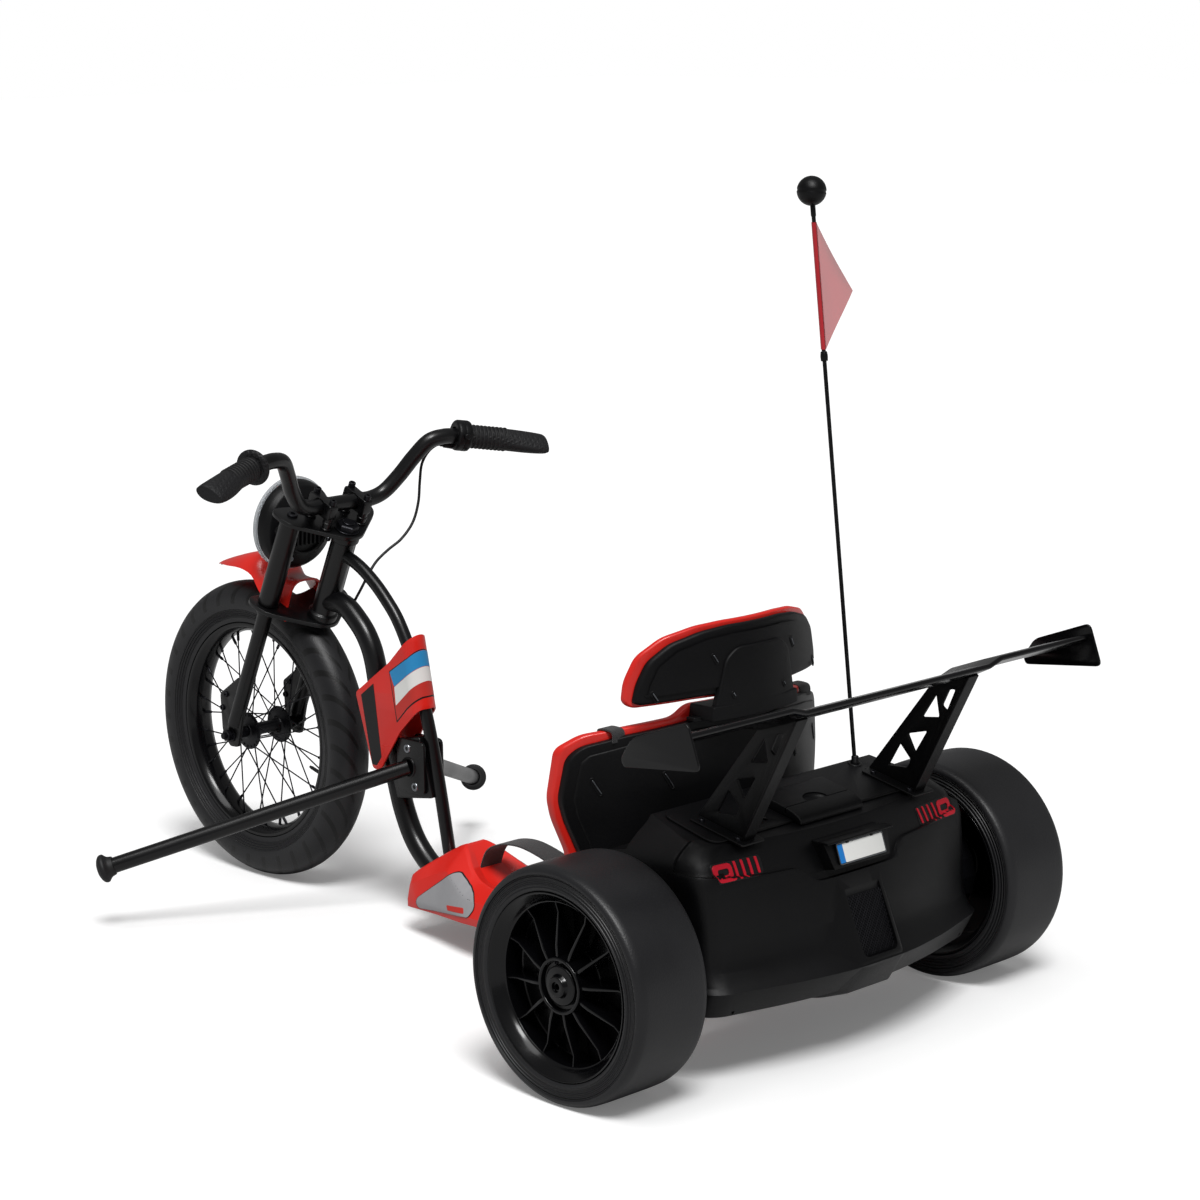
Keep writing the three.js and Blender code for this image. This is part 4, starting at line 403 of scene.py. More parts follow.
def boxShape(size, centre=(0, 0, 0)):
    half = [s / 2 for s in size]
    rings = []
    for z in (-half[2], half[2]):
        ring = [(-half[0], -half[1]), (half[0], -half[1]), (half[0], half[1]), (-half[0], half[1])]
        rings.append([(x + centre[0], y + centre[1], z + centre[2]) for x, y in ring])
    return loftShape(rings)


def moved(shape, matrix):
    return [matrix @ Vector(v) for v in shape[0]], shape[1]


def merged(*shapes):
    verts = []
    faces = []
    for shapeVerts, shapeFaces in shapes:
        start = len(verts)
        verts += shapeVerts
        faces += [tuple(i + start for i in face) for face in shapeFaces]
    return verts, faces


def cleaned(mesh):
    bm = bmesh.new()
    bm.from_mesh(mesh)
    bmesh.ops.remove_doubles(bm, verts=bm.verts, dist=1e-6)
    bmesh.ops.recalc_face_normals(bm, faces=bm.faces)
    bm.to_mesh(mesh)
    bm.free()


def newObject(name, shape, look, place=trikePlace):
    # a shape as an object; its look is a material or the name of a finish
    verts, faces = shape
    mesh = bpy.data.meshes.new(name)
    mesh.from_pydata([place @ Vector(v) for v in verts], [], faces)
    cleaned(mesh)
    mesh.materials.append(finish[look] if isinstance(look, str) else look)
    return addObject(name, mesh)


def takenApart(mesh):
    return [v.co.copy() for v in mesh.vertices], [tuple(p.vertices) for p in mesh.polygons]


def plateShape(outline, thickness, holes=(), bevel=0.8, bevelSteps=2):
    # a flat plate in XY, centred on its thickness, with holes and softened edges, from a filled curve
    curve = bpy.data.curves.new("plateOutline", "CURVE")
    curve.dimensions = "2D"
    curve.fill_mode = "BOTH"
    curve.extrude = thickness / 2 - bevel
    curve.bevel_depth = bevel
    curve.bevel_resolution = bevelSteps
    curve.offset = -bevel
    for loop in (outline, *holes):
        spline = curve.splines.new("POLY")
        spline.points.add(len(loop) - 1)
        for point, (x, y) in zip(spline.points, loop):
            point.co = (x, y, 0, 1)
        spline.use_cyclic_u = True
    holder = addObject("plateOutline", curve)
    depsgraph = bpy.context.evaluated_depsgraph_get()
    mesh = bpy.data.meshes.new_from_object(holder.evaluated_get(depsgraph))
    cleaned(mesh)
    shape = takenApart(mesh)
    bpy.data.objects.remove(holder)
    bpy.data.curves.remove(curve)
    bpy.data.meshes.remove(mesh)
    return shape


asMade = Matrix.Identity(4)
flatOnY = Matrix.Rotation(math.pi / 2, 4, "X")  # XY outlines become XZ outlines, and what is spun stands on Z
flatOnX = Matrix(((0, 0, 1, 0), (1, 0, 0, 0), (0, 1, 0, 0), (0, 0, 0, 1)))  # XY becomes YZ
leftAndRight = (("left", 1), ("right", -1))


def at(x, y, z):
    return Matrix.Translation((x, y, z))


def turnTo(axis, aim):
    # the rotation that lays a part's own axis along aim
    return Vector(axis).rotation_difference(Vector(aim)).to_matrix().to_4x4()


def mirrored(half):
    # half an outline and its mirror image across Y = 0, run backwards
    return half + [(point[0], -point[1], *point[2:]) for point in reversed(half)]


def roundRect(x0, x1, y0, y1, radius, steps=3):
    return roundCorners([(x0, y0), (x1, y0), (x1, y1), (x0, y1)], radius, steps)


def domeShape(profile, radius, steps):
    # an open profile from axis to axis, softened in between and turned about Y
    middle = roundCorners(profile[1:-1], radius, 3, closed=False)
    return spunShape([profile[0]] + middle + [profile[-1]], steps, closed=False)


def plateXZ(outline, thickness, y, holes=(), bevel=0.8):
    # in XZ the plate's own Y is the scene's Z
    return moved(plateShape(outline, thickness, holes, bevel), at(0, y, 0) @ flatOnY)


def circle2d(x, y, radius, steps=24):
    angles = [fullTurn * k / steps for k in range(steps)]
    return [(x + radius * math.cos(a), y + radius * math.sin(a)) for a in angles]


def rodShape(start, end, radius, sides=20, chamfer=0.0):
    # a straight round bar, with a chamfer at both ends
    start = Vector(start)
    end = Vector(end)
    along = (end - start).normalized() * chamfer
    if chamfer:
        path = [start, start + along, end - along, end]
        return tubeShape(path, [radius - chamfer, radius, radius, radius - chamfer], sides)
    return tubeShape([start, end], radius, sides)


def socketScrewShape(radius, height, hexRadius, sides=24):
    # a socket-head screw standing on Z = 0, with its hexagon sunk into the top
    rings = []
    for r, z in ((radius, 0), (radius, height - radius * 0.15), (radius * 0.88, height)):
        rings.append([(x, y, z) for x, y in circle2d(0, 0, r, sides)])
    for z in (height, height * 0.35):
        ring = []
        for k in range(sides):
            angle = fullTurn * k / sides
            reach = hexRadius * math.cos(math.pi / 6) / math.cos((angle % (math.pi / 3)) - math.pi / 6)
            ring.append((reach * math.cos(angle), reach * math.sin(angle), z))
        rings.append(ring)
    return loftShape(rings)


def domeScrewShape(radius, height, sides=20):
    # a low pan-head screw on Z = 0 with a dimple in its top
    shares = [(0, 0), (1, 0), (1, 0.4), (0.8, 0.8), (0.45, 1), (0.3, 0.45), (0, 0.4)]
    profile = [(radius * r, height * z) for r, z in shares]
    return moved(spunShape(profile, sides, closed=False), flatOnY)


def facing(spot, normal):
    # a matrix that stands a part's own Z along a normal at a spot
    return Matrix.Translation(spot) @ turnTo((0, 0, 1), normal)


def addModifier(piece, kind, **settings):
    modifier = piece.modifiers.new(kind.lower(), kind)
    for key, value in settings.items():
        setattr(modifier, key, value)


def applyModifiers(piece):
    depsgraph = bpy.context.evaluated_depsgraph_get()
    mesh = bpy.data.meshes.new_from_object(piece.evaluated_get(depsgraph))
    old = piece.data
    piece.modifiers.clear()
    piece.data = mesh
    bpy.data.meshes.remove(old)


def settle(piece, body, nodes=(), angle=32):
    # shades a piece smooth between its sharp edges and sends it along with its body
    piece.data.shade_smooth()
    piece.data.set_sharp_from_angle(angle=math.radians(angle))
    if body:
        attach(piece, body)
    if nodes:
        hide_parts(*nodes)


def cutMesh(piece, axis, places):
    # extra edge loops where a flat face is about to bend
    bm = bmesh.new()
    bm.from_mesh(piece.data)
    for place in places:
        origin = Vector((0, 0, 0))
        normal = Vector((0, 0, 0))
        origin[axis] = place
        normal[axis] = 1
        geometry = bm.verts[:] + bm.edges[:] + bm.faces[:]
        bmesh.ops.bisect_plane(bm, geom=geometry, plane_co=origin, plane_no=normal)
    bm.to_mesh(piece.data)
    bm.free()


def discard(piece):
    # removes a scratch object together with its mesh
    mesh = piece.data
    bpy.data.objects.remove(piece)
    bpy.data.meshes.remove(mesh)


def meshShape(piece):
    # takes a scratch object apart again into verts and faces
    shape = takenApart(piece.data)
    discard(piece)
    return shape


def carved(base, *steps):
    # boolean steps on plain shapes: ("DIFFERENCE", shape), ("INTERSECT", shape), ("UNION", shape)
    piece = newObject("carving", base, "blackPlastic", asMade)
    cutters = []
    for operation, shape in steps:
        cutter = newObject("cutter", shape, "blackPlastic", asMade)
        addModifier(piece, "BOOLEAN", operation=operation, object=cutter, solver="EXACT")
        cutters.append(cutter)
    applyModifiers(piece)
    for cutter in cutters:
        discard(cutter)
    return meshShape(piece)


def softened(shape, width, angle=24, segments=2):
    # the same shape with its sharp edges rounded
    piece = newObject("softening", shape, "blackPlastic", asMade)
    limit = math.radians(angle)
    addModifier(piece, "BEVEL", width=width, segments=segments, limit_method="ANGLE", angle_limit=limit)
    applyModifiers(piece)
    return meshShape(piece)


def prism(outline, thickness, axis, centre=0.0):
    # a straight prism: the outline lies in XZ for axis Y, in YZ for axis X, in XY for axis Z
    rings = []
    for end in (centre - thickness / 2, centre + thickness / 2):
        points = {"X": [(end, a, b) for a, b in outline], "Y": [(a, end, b) for a, b in outline]}
        rings.append(points.get(axis) or [(a, b, end) for a, b in outline])
    return loftShape(rings)


def laidOn(flat, target, aim, lift, far=400.0):
    # presses a flat part onto a surface: its points travel along aim until they meet the target
    tree = BVHTree.FromPolygons([Vector(v) for v in target[0]], target[1])
    aim = Vector(aim)
    verts = []
    for v in flat[0]:
        depth = v.dot(aim)
        spot = tree.ray_cast(v - aim * (depth + far), aim)[0]
        verts.append(None if spot is None else spot + aim * (depth - lift))
    known = [v for v in verts if v is not None]
    for i, v in enumerate(verts):
        if v is None:
            here = flat[0][i]
            verts[i] = min(known, key=lambda k: (k - here - aim * (k - here).dot(aim)).length).copy()
    return verts, flat[1]


def gridded(shape, axes, step):
    # the same flat part with edge loops every few millimetres, ready to be pressed onto a curve
    piece = newObject("gridding", shape, "blackPlastic", asMade)
    for axis in axes:
        low = min(v[axis] for v in shape[0])
        high = max(v[axis] for v in shape[0])
        cutMesh(piece, axis, [low + step * (i + 0.5) for i in range(int((high - low) / step))])
    return meshShape(piece)


# Geometry Nodes: one tree sets copies round an axle, one sets them in a row

def copyTree(name, around):
    tree = bpy.data.node_groups.new(name, "GeometryNodeTree")
    kinds = {"Part": "Object", "Count": "Int", "First": "Float", "Step": "Vector", "Finish": "Material"}
    for socket, kind in kinds.items():
        tree.interface.new_socket(socket, in_out="INPUT", socket_type="NodeSocket" + kind)
    tree.interface.new_socket("Geometry", in_out="OUTPUT", socket_type="NodeSocketGeometry")
    given = tree.nodes.new("NodeGroupInput").outputs
    line = addNode(tree, "GeometryNodeMeshLine", {"Count": given["Count"], "Offset": given["Step"]}).outputs[0]
    part = addNode(tree, "GeometryNodeObjectInfo", {"Object": given["Part"]}).outputs["Geometry"]
    inputs = {"Points": line, "Instance": part}
    if around:
        index = addNode(tree, "GeometryNodeInputIndex").outputs[0]
        share = addMath(tree, "DIVIDE", addMath(tree, "MULTIPLY", index, fullTurn), given["Count"])
        angle = addMath(tree, "ADD", share, given["First"])
        inputs["Rotation"] = addNode(tree, "ShaderNodeCombineXYZ", {"Y": angle}).outputs[0]
    copies = addNode(tree, "GeometryNodeInstanceOnPoints", inputs).outputs[0]
    solid = addNode(tree, "GeometryNodeRealizeInstances", {"Geometry": copies}).outputs[0]
    inputs = {"Geometry": solid, "Material": given["Finish"]}
    painted = addNode(tree, "GeometryNodeSetMaterial", inputs).outputs[0]
    result = tree.nodes.new("NodeGroupOutput")
    tree.links.new(painted, result.inputs[0])
    return tree


aroundAxle = copyTree("copiesRoundAxle", True)
inRow = copyTree("copiesInRow", False)


def repeated(name, shape, look, count, place, first=0.0, step=(0, 0, 0), tree=None):
    # runs a copy tree on one small part and keeps the result as a plain mesh
    part = newObject(name + "Part", shape, look, asMade)
    holder = addObject(name, bpy.data.meshes.new(name))
    modifier = holder.modifiers.new("copies", "NODES")
    modifier.node_group = tree or aroundAxle
    values = {"Part": part, "Count": count, "First": first, "Step": step, "Finish": finish[look]}
    for item in modifier.node_group.interface.items_tree:
        if item.in_out == "INPUT":
            modifier[item.identifier] = values[item.name]
    bpy.context.view_layer.update()
    applyModifiers(holder)
    bpy.data.objects.remove(part)
    holder.data.transform(place)
    return holder


def joinedPieces(name, pieces):
    # several plain meshes as one object, each keeping its own material
    bm = bmesh.new()
    materials = []
    for piece in pieces:
        slots = []
        for material in piece.data.materials:
            if material not in materials:
                materials.append(material)
            slots.append(materials.index(material))
        start = len(bm.faces)
        bm.from_mesh(piece.data)
        bm.faces.ensure_lookup_table()
        for face in bm.faces[start:]:
            face.material_index = slots[min(face.material_index, len(slots) - 1)]
    mesh = bpy.data.meshes.new(name)
    bm.to_mesh(mesh)
    bm.free()
    for material in materials:
        mesh.materials.append(material)
    whole = addObject(name, mesh)
    for piece in pieces:
        bpy.data.objects.remove(piece)
    return whole


# throttle cable: from the throttle's boot down to the head tube and in between the tubes

cable = {
    "radius": 2.0,
    # the route of the part's two cable solids, in the steering frame
    "hanging": [
        (23.6, -156.4, 473.2), (26, -151, 470), (30, -145, 458), (31, -141, 438), (22, -138, 414),
        (8, -132, 390), (-4, -120, 366), (-11, -100, 346), (-13, -78, 332), (-17, -58, 319), (-23, -44, 306),
    ],
    "framed": [(-27, -36, 295), (-30, -29, 283), (-32, -22.5, 270), (-33, -18, 258)],
}


def makeCable():
    path = smoothPath(cable["hanging"] + cable["framed"], 6)
    piece = newObject("throttleCable", tubeShape(path, cable["radius"], 12), "cableSheath", steerPlace)
    settle(piece, None, ("throttle_cable", "frame_cable"))
    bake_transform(piece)


makeCable()


# rear wheels: wide smooth tyres on deep twelve-spoke rims

rearTyre = {
    "radius": 143.0, "halfWidth": 56.0, "shoulder": 9.0, "crown": 26.0, "seat": 104.4, "lip": 112.4,
    "bead": 45.6, "lipRoot": 51.6, "sideRings": (117.0, 133.0, 4.0), "steps": 112,
}
rearRim = {
    "barrel": 104.0, "lip": 112.0, "lipSide": 55.0, "lipRoot": 52.0, "bead": 46.0, "wall": 2.5,
    "dish": 97.0, "dishSide": 40.0, "web": 14.0, "webThickness": 5.0, "hub": 34.0, "hubSide": 47.5,
    "recess": 40.0, "bore": 9.0, "boss": -20.0, "ribs": 12, "ribRoot": 4.2, "ribTip": 2.6, "ribSide": 45.0,
    "ribOut": 33.0,
}
hubCap = {
    "radius": 24.0, "front": 12.5, "length": 12.0, "hex": 6.2, "plugHex": 4.2,
    "screwCircle": 26.7, "screws": 3, "screwRadius": 2.6, "screwHeight": 1.8,
}
halfTrack = 332.0


def rearTyreProfile():
    t = rearTyre
    half = t["halfWidth"]
    outside = [
        (t["seat"], t["bead"], 0.5), (t["lip"], t["lipRoot"], 0.5), (t["lip"] + 0.4, half - 2.2, 0.8),
        (t["lip"] + 3.5, half - 0.2, 2), (t["lip"] + 7, half - 0.2, 1), (t["lip"] + 8, half - 1.4, 0.6),
        (t["radius"] - 12, half - 1.4, 0.6), (t["radius"] - 11, half - 0.2, 0.8),
        (t["radius"] - 7.5, half - 0.2, 1.5), (t["radius"] - 3.5, half - 2.6, 3),
        (t["radius"] - 0.6, half - t["shoulder"], 7), (t["radius"], half - t["crown"], 8),
    ]
    return roundCorners(mirrored(outside), 1, 3)


def rearRimProfile():
    r = rearRim
    points = [
        (r["bore"], r["recess"], 0.8), (r["hub"] - 5, r["recess"], 1.5), (r["hub"] - 4.2, r["hubSide"], 1.6),
        (r["hub"], r["hubSide"], 1.6), (r["hub"] + 1, r["web"], 2.5), (r["dish"] - 1, r["web"], 3),
        (r["dish"], r["dishSide"], 1), (r["dish"] + 1.6, r["dishSide"] + 0.6, 0.6),
        (r["barrel"] - 2.6, r["bead"] - 1, 2), (r["lip"] - 2.2, r["lipSide"] - 0.6, 1.2),
        (r["lip"] - 0.2, r["lipSide"], 0.9), (r["lip"], r["lipRoot"], 0.6), (r["barrel"], r["bead"], 0.6),
        (r["barrel"], -r["bead"], 0.6), (r["lip"], -r["lipRoot"], 0.6), (r["lip"], -r["lipSide"], 0.8),
        (r["lip"] - 2.5, -r["lipSide"], 1), (r["barrel"] - 2.5, -r["bead"], 2),
        (r["dish"], r["web"] - r["webThickness"], 2), (r["hub"], r["web"] - r["webThickness"], 2),
        (r["hub"], r["boss"], 1), (r["bore"], r["boss"], 0.8),
    ]
    return roundCorners(points, 1, 3)


def rearRibShape():
    # one rib of the dish: thin, deep at the rim and tapered, from the hub ring out to the lip cone
    r = rearRim
    side = [
        (r["hub"] - 2, r["web"] - 1), (r["dish"] + 1.5, r["web"] - 1), (r["dish"] + 1.5, r["dishSide"] - 1),
        (r["dish"] - 12, r["ribOut"] + 3), (r["hub"] + 14, r["ribSide"] - 1), (r["hub"] - 2, r["ribSide"]),
    ]
    rings = []
    for half in (-1, 1):
        thick = [r["ribRoot"] if x < r["dish"] - 20 else r["ribTip"] for x, y in side]
        rings.append([(x, y, half * wide / 2) for (x, y), wide in zip(side, thick)])
    return loftShape(rings)


def makeRearWheel(sideName, side):
    body = "rear_wheel_" + sideName
    turn = asMade if side > 0 else Matrix.Rotation(math.pi, 4, "Z")
    place = trikePlace @ at(0, side * halfTrack, rearTyre["radius"]) @ turn
    rubber = makeTyreRubber("slickTyreRubber" + sideName.title(), place.translation, rearTyre["sideRings"])
    tyre = newObject("slickTyre_" + sideName, spunShape(rearTyreProfile(), rearTyre["steps"]), rubber, place)
    settle(tyre, body, ("rear_tyre_" + sideName,), angle=40)
    rim = newObject("dishRim_" + sideName, spunShape(rearRimProfile(), 96), "glossBlack", place)
    rib = newObject("dishRibOne", rearRibShape(), "glossBlack", asMade)
    addModifier(rib, "BEVEL", width=1.1, segments=2, limit_method="ANGLE", angle_limit=0.5)
    applyModifiers(rib)
    ribs = repeated("dishRibs_" + sideName, meshShape(rib), "glossBlack", rearRim["ribs"], place, first=0.13)
    rim = joinedPieces("dishRim_" + sideName, [rim, ribs])
    settle(rim, body, ("rear_rim_" + sideName,), angle=35)
    makeHubCap(sideName, body, place)


def makeHubCap(sideName, body, place):
    cap = hubCap
    floor = rearRim["recess"]
    low = floor + 0.4
    high = floor + cap["length"]
    outward = Matrix.Rotation(-math.pi / 2, 4, "X")
    profile = [
        (cap["hex"], high), (cap["front"] - 1, high), (cap["front"], high - 1), (cap["front"] + 2, floor + 6),
        (cap["radius"] - 1.5, floor + 5.5), (cap["radius"], floor + 4), (cap["radius"], low), (cap["hex"], low),
    ]
    shell = spunShape(roundCorners(profile, 0.6, 2), 48)
    plug = socketScrewShape(cap["hex"] + 0.4, cap["length"] - 3, cap["plugHex"])
    screw = domeScrewShape(cap["screwRadius"], cap["screwHeight"])
    pieces = [
        newObject("hubCap_" + sideName, shell, "glossBlack", place),
        newObject("hubPlug", moved(plug, at(0, low, 0) @ outward), "glossBlack", place),
    ]
    screw = moved(screw, at(cap["screwCircle"], floor, 0) @ outward)
    pieces.append(repeated("hubScrews", screw, "blackSteel", cap["screws"], place, first=0.9))
    settle(joinedPieces("hubCap_" + sideName, pieces), body, ("hub_cap_" + sideName,))


for sideName, side in leftAndRight:
    makeRearWheel(sideName, side)
print("rear wheels made")


# front wheel: balloon tyre with swept sipes, deep rim, thirty-six crossed spokes

frontTyre = {
    "radius": 217.0, "halfWidth": 30.0, "seat": 153.0, "lip": 158.4, "bead": 16.6, "edge": 21.6,
    "sideRings": (165.0, 178.0, 3.2), "steps": 144,
    "sipes": {"count": 34.0, "half": 30.0, "sweep": 1.5, "width": 0.13, "fromRadius": 186.0, "centre": 3.0},
}
frontRim = {"lip": 158.0, "seat": 152.7, "core": 143.0, "channel": 17.0, "half": 21.5}
frontHub = {
    "barrel": 9.0, "half": 33.0, "flange": 27.0, "spacing": 28.6, "flangeThickness": 3.0,
    "holes": 18, "holeCircle": 23.0, "headRadius": 1.9, "headLength": 1.6,
}
valve = {
    "path": [(0, 7, 118), (0, 6.5, 122), (0, 5, 136), (0, 3, 146)], "radii": [1.6, 2.6, 2.6, 4.2],
    "turn": -1.9
}
spokes = {
    "crosses": 3, "radius": 1.05, "rimSpread": 3.5, "nippleRadius": 2.1, "nippleLength": 13.0, "total": 36
}
wheelCentre = Vector((1012, 0, 217))
frontPlace = trikePlace @ Matrix.Translation(wheelCentre)


def frontTyreProfile():
    t = frontTyre
    bulge = (t["radius"] - t["lip"]) / 2
    middle = t["radius"] - bulge
    points = [(t["seat"], t["bead"]), (t["lip"], t["bead"]), (t["lip"] + 0.3, t["edge"])]
    for i in range(29):
        angle = math.radians(-42 + 264 * i / 28)
        # a little squarer than a circle across the tread
        reach = 1 + 0.035 * math.sin(2 * angle) ** 2
        out = middle + min(bulge, bulge * math.sin(angle) * reach)
        points.append((out, t["halfWidth"] * math.cos(angle) * reach * 0.985))
    points += [(t["lip"] + 0.3, -t["edge"]), (t["lip"], -t["bead"]), (t["seat"], -t["bead"])]
    return points


def frontRimProfile():
    r = frontRim
    half = [
        (r["core"] + 0.2, 3, 1), (r["core"] + 1.5, r["half"] * 0.55, 4),
        (r["core"] + 8.5, r["half"] - 0.3, 3), (r["lip"] - 1.2, r["half"], 1.2),
        (r["lip"], r["half"] - 1.2, 0.8), (r["lip"], r["channel"], 0.6), (r["seat"], r["channel"], 0.5),
    ]
    return roundCorners(mirrored(half), 1, 3)


def spokeGroupShape():
    # the four spokes of one repeat, two from each flange, one leading and one trailing
    parts = []
    for k in range(4):
        side = 1 if k % 2 else -1
        lead = 1 if k < 2 else -1
        rimAngle = k * fullTurn / spokes["total"]
        hubAngle = rimAngle + lead * spokes["crosses"] * fullTurn / spokes["total"]
        y = side * (frontHub["spacing"] + lead * 1.4)
        circle = frontHub["holeCircle"]
        start = Vector((circle * math.cos(hubAngle), y, circle * math.sin(hubAngle)))
        reach = frontRim["core"] + 0.5
        end = Vector((reach * math.cos(rimAngle), side * spokes["rimSpread"], reach * math.sin(rimAngle)))
        along = (end - start).normalized()
        parts.append(tubeShape([start, end], spokes["radius"], 6))
        nipple = [end - along * spokes["nippleLength"], end - along * (spokes["nippleLength"] - 1.5), end]
        parts.append(tubeShape(nipple, [spokes["radius"], spokes["nippleRadius"], spokes["nippleRadius"]], 8))
    return merged(*parts)


def frontHubShape():
    h = frontHub
    half = [
        (5.4, h["half"], 0.4), (9.5, h["half"], 0.8), (10.5, h["spacing"] + 2.4, 1),
        (h["flange"] - 6, h["spacing"] + 1.6, 1), (h["flange"], h["spacing"] + 1.2, 0.8),
        (h["flange"], h["spacing"] - 1.2, 0.8), (h["barrel"] + 3, h["spacing"] - 2.5, 2),
        (h["barrel"], h["spacing"] - 8, 4),
    ]
    return spunShape(roundCorners(mirrored(half), 1, 2), 48)


def makeFrontWheel():
    t = frontTyre
    rubber = makeTyreRubber("balloonTyreRubber", frontPlace.translation, t["sideRings"], t["sipes"])
    tyre = newObject("balloonTyre", spunShape(frontTyreProfile(), t["steps"]), rubber, frontPlace)
    settle(tyre, "front_wheel", ("front_tyre",), angle=50)
    rim = newObject("deepRim", spunShape(frontRimProfile(), 128), "glossBlack", frontPlace)
    stem = moved(tubeShape(valve["path"], valve["radii"], 12), Matrix.Rotation(valve["turn"], 4, "Y"))
    rim = joinedPieces("deepRim", [rim, newObject("valveStem", stem, "cableSheath", frontPlace)])
    settle(rim, "front_wheel", ("front_rim",), angle=40)
    hub = newObject("spokeHub", frontHubShape(), "hubAlloy", frontPlace)
    cage = repeated("crossedSpokes", spokeGroupShape(), "blackSteel", spokes["total"] // 4, frontPlace)
    near = frontHub["spacing"] + frontHub["flangeThickness"] / 2 - 0.6
    circle = frontHub["holeCircle"]
    far = near + frontHub["headLength"]
    ends = [((circle, side * near, 0), (circle, side * far, 0)) for side in (1, -1)]
    rods = merged(*[rodShape(inner, outer, frontHub["headRadius"], 8) for inner, outer in ends])
    heads = repeated("spokeHeads", rods, "blackSteel", frontHub["holes"], frontPlace, first=0.08)
    hub = joinedPieces("spokeHub", [hub, cage, heads])
    settle(hub, "front_wheel", ("front_hub_and_spokes",), angle=40)


makeFrontWheel()
print("front wheel made")


# fork: two stepped legs, chamfered dropouts, two clamp plates, stem nut

fork = {
    "legX": 51.4, "legY": 58.0, "upperRadius": 15.0, "lowerRadius": 11.0, "upperFoot": 225.3,
    "upperTop": 363.7, "foot": 20.0,
    "dropout": [(95.7, 43.3), (68, 89), (46, 91), (42, 60), (31, -8.7), (47, -17.4), (71, -4.3)],
    "dropoutThickness": 5.0, "axleHole": 5.6, "screwHoles": [(82.6, 26.9), (82.6, 49.9)],
    "plateTops": (225.0, 370.0), "plateThickness": 6.0, "plateCorner": 23.0, "plateNose": 22.0,
    "seal": [(10.9, 0, 0.2), (14.2, 0, 1), (14.2, 7, 1.5), (10.9, 8.5, 0.2)], "sealDrop": 15.2,
    # the toe over the dropout: forward of the leg, above the foot, radius
    "toe": [(0, 16, 11), (1, -6, 9.5), (3, -26, 4)],
}
stem = {
    "nut": [(0, 0, 371), (0, 0, 379), (0, 0, 380.2)], "nutRadii": [16, 16, 14.4],
    # rods along the steering axis: from, to, radius, sides, chamfer
    "rods": [(216, 370.5, 12.7, 32, 0.0), (370.4, 372, 17.5, 32, 0.4), (380, 382.4, 8.5, 24, 0.8)],
}
frontAxle = {
    "half": 76.0, "radius": 4.6, "nut": (62.6, 70, 71), "nutRadii": [8.8, 8.8, 7.6],
    "washer": (60.8, 62.6, 10.5, 0.3), "spacer": (33.4, 55.2, 8.0, 0.5),
}


def makeFork():
    f = fork
    for sideName, side in leftAndRight:
        y = side * f["legY"]
        legX, foot, shoulder = f["legX"], f["foot"], f["upperFoot"]
        upper = rodShape((legX, y, shoulder), (legX, y, f["upperTop"]), f["upperRadius"], 40, 1.0)
        seal = spunShape(roundCorners(f["seal"], 1, 2), 40)
        seal = moved(seal, at(legX, y, shoulder - f["sealDrop"]) @ flatOnY)
        lower = rodShape((legX, y, foot - 2), (legX, y, shoulder + 1), f["lowerRadius"], 36)
        toePath = [(legX + x, y, foot + z) for x, z, radius in f["toe"]]
        toe = tubeShape(toePath, [radius for x, z, radius in f["toe"]], 24, 0.55)
        piece = newObject("forkLeg_" + sideName, merged(upper, seal, lower, toe), "blackPaint", steerPlace)
        holes = [circle2d(legX, 0, f["axleHole"])]
        holes += [circle2d(x, z, 2.8, 16) for x, z in f["screwHoles"]]
        plate = plateXZ(roundCorners(f["dropout"], 4, 3), f["dropoutThickness"], y, holes, 0.7)
        platePiece = newObject("dropout", plate, "blackPaint", steerPlace)
        screws = []
        for x, z in f["screwHoles"]:
            for out in (-1, 1):
                spot = at(x, y + out * 2.4, z) @ Matrix.Rotation(-out * math.pi / 2, 4, "X")
                screws.append(moved(socketScrewShape(4.2, 2.6, 1.9), spot))
        screwPiece = newObject("dropoutScrews", merged(*screws), "blackSteel", steerPlace)
        piece = joinedPieces("forkLeg_" + sideName, [piece, platePiece, screwPiece])
        settle(piece, "steering", ("fork_leg_" + sideName,))
    corner, nose, x, y = f["plateCorner"], f["plateNose"], f["legX"], f["legY"]
    half = [
        (-nose, nose * 0.55), (x - corner * 0.75, y + corner), (x + corner, y + corner),
        (x + corner, y - corner * 0.3), (x + corner * 0.3, 0),
    ]
    outline = roundCorners([(-nose, -nose * 0.55)] + half + [(a, -b) for a, b in reversed(half[1:-1])], 20, 6)
    for name, node, top in zip(("lowerClamp", "upperClamp"), ("lower_clamp", "upper_clamp"), f["plateTops"]):
        holes = [circle2d(0, 0, 13.1, 32)]
        if name == "lowerClamp":
            holes += [circle2d(x, s * y, f["lowerRadius"] + 0.2, 32) for s in (1, -1)]
        thickness = f["plateThickness"]
        plate = moved(plateShape(outline, thickness, holes, 0.9), at(0, 0, top - thickness / 2))
        piece = newObject(name, plate, "blackPaint", steerPlace)
        if name == "upperClamp":
            caps = [moved(socketScrewShape(7.5, 3.5, 4), at(x, s * y, top)) for s in (1, -1)]
            piece = joinedPieces(name, [piece, newObject("legCaps", merged(*caps), "blackSteel", steerPlace)])
        settle(piece, "steering", (node,))
    parts = [tubeShape(stem["nut"], stem["nutRadii"], 6)]
    for low, high, radius, sides, chamfer in stem["rods"]:
        parts.append(rodShape((0, 0, low), (0, 0, high), radius, sides, chamfer))
    nut = newObject("stemNut", merged(*parts), "blackSteel", steerPlace)
    settle(nut, "steering", ("steerer",))


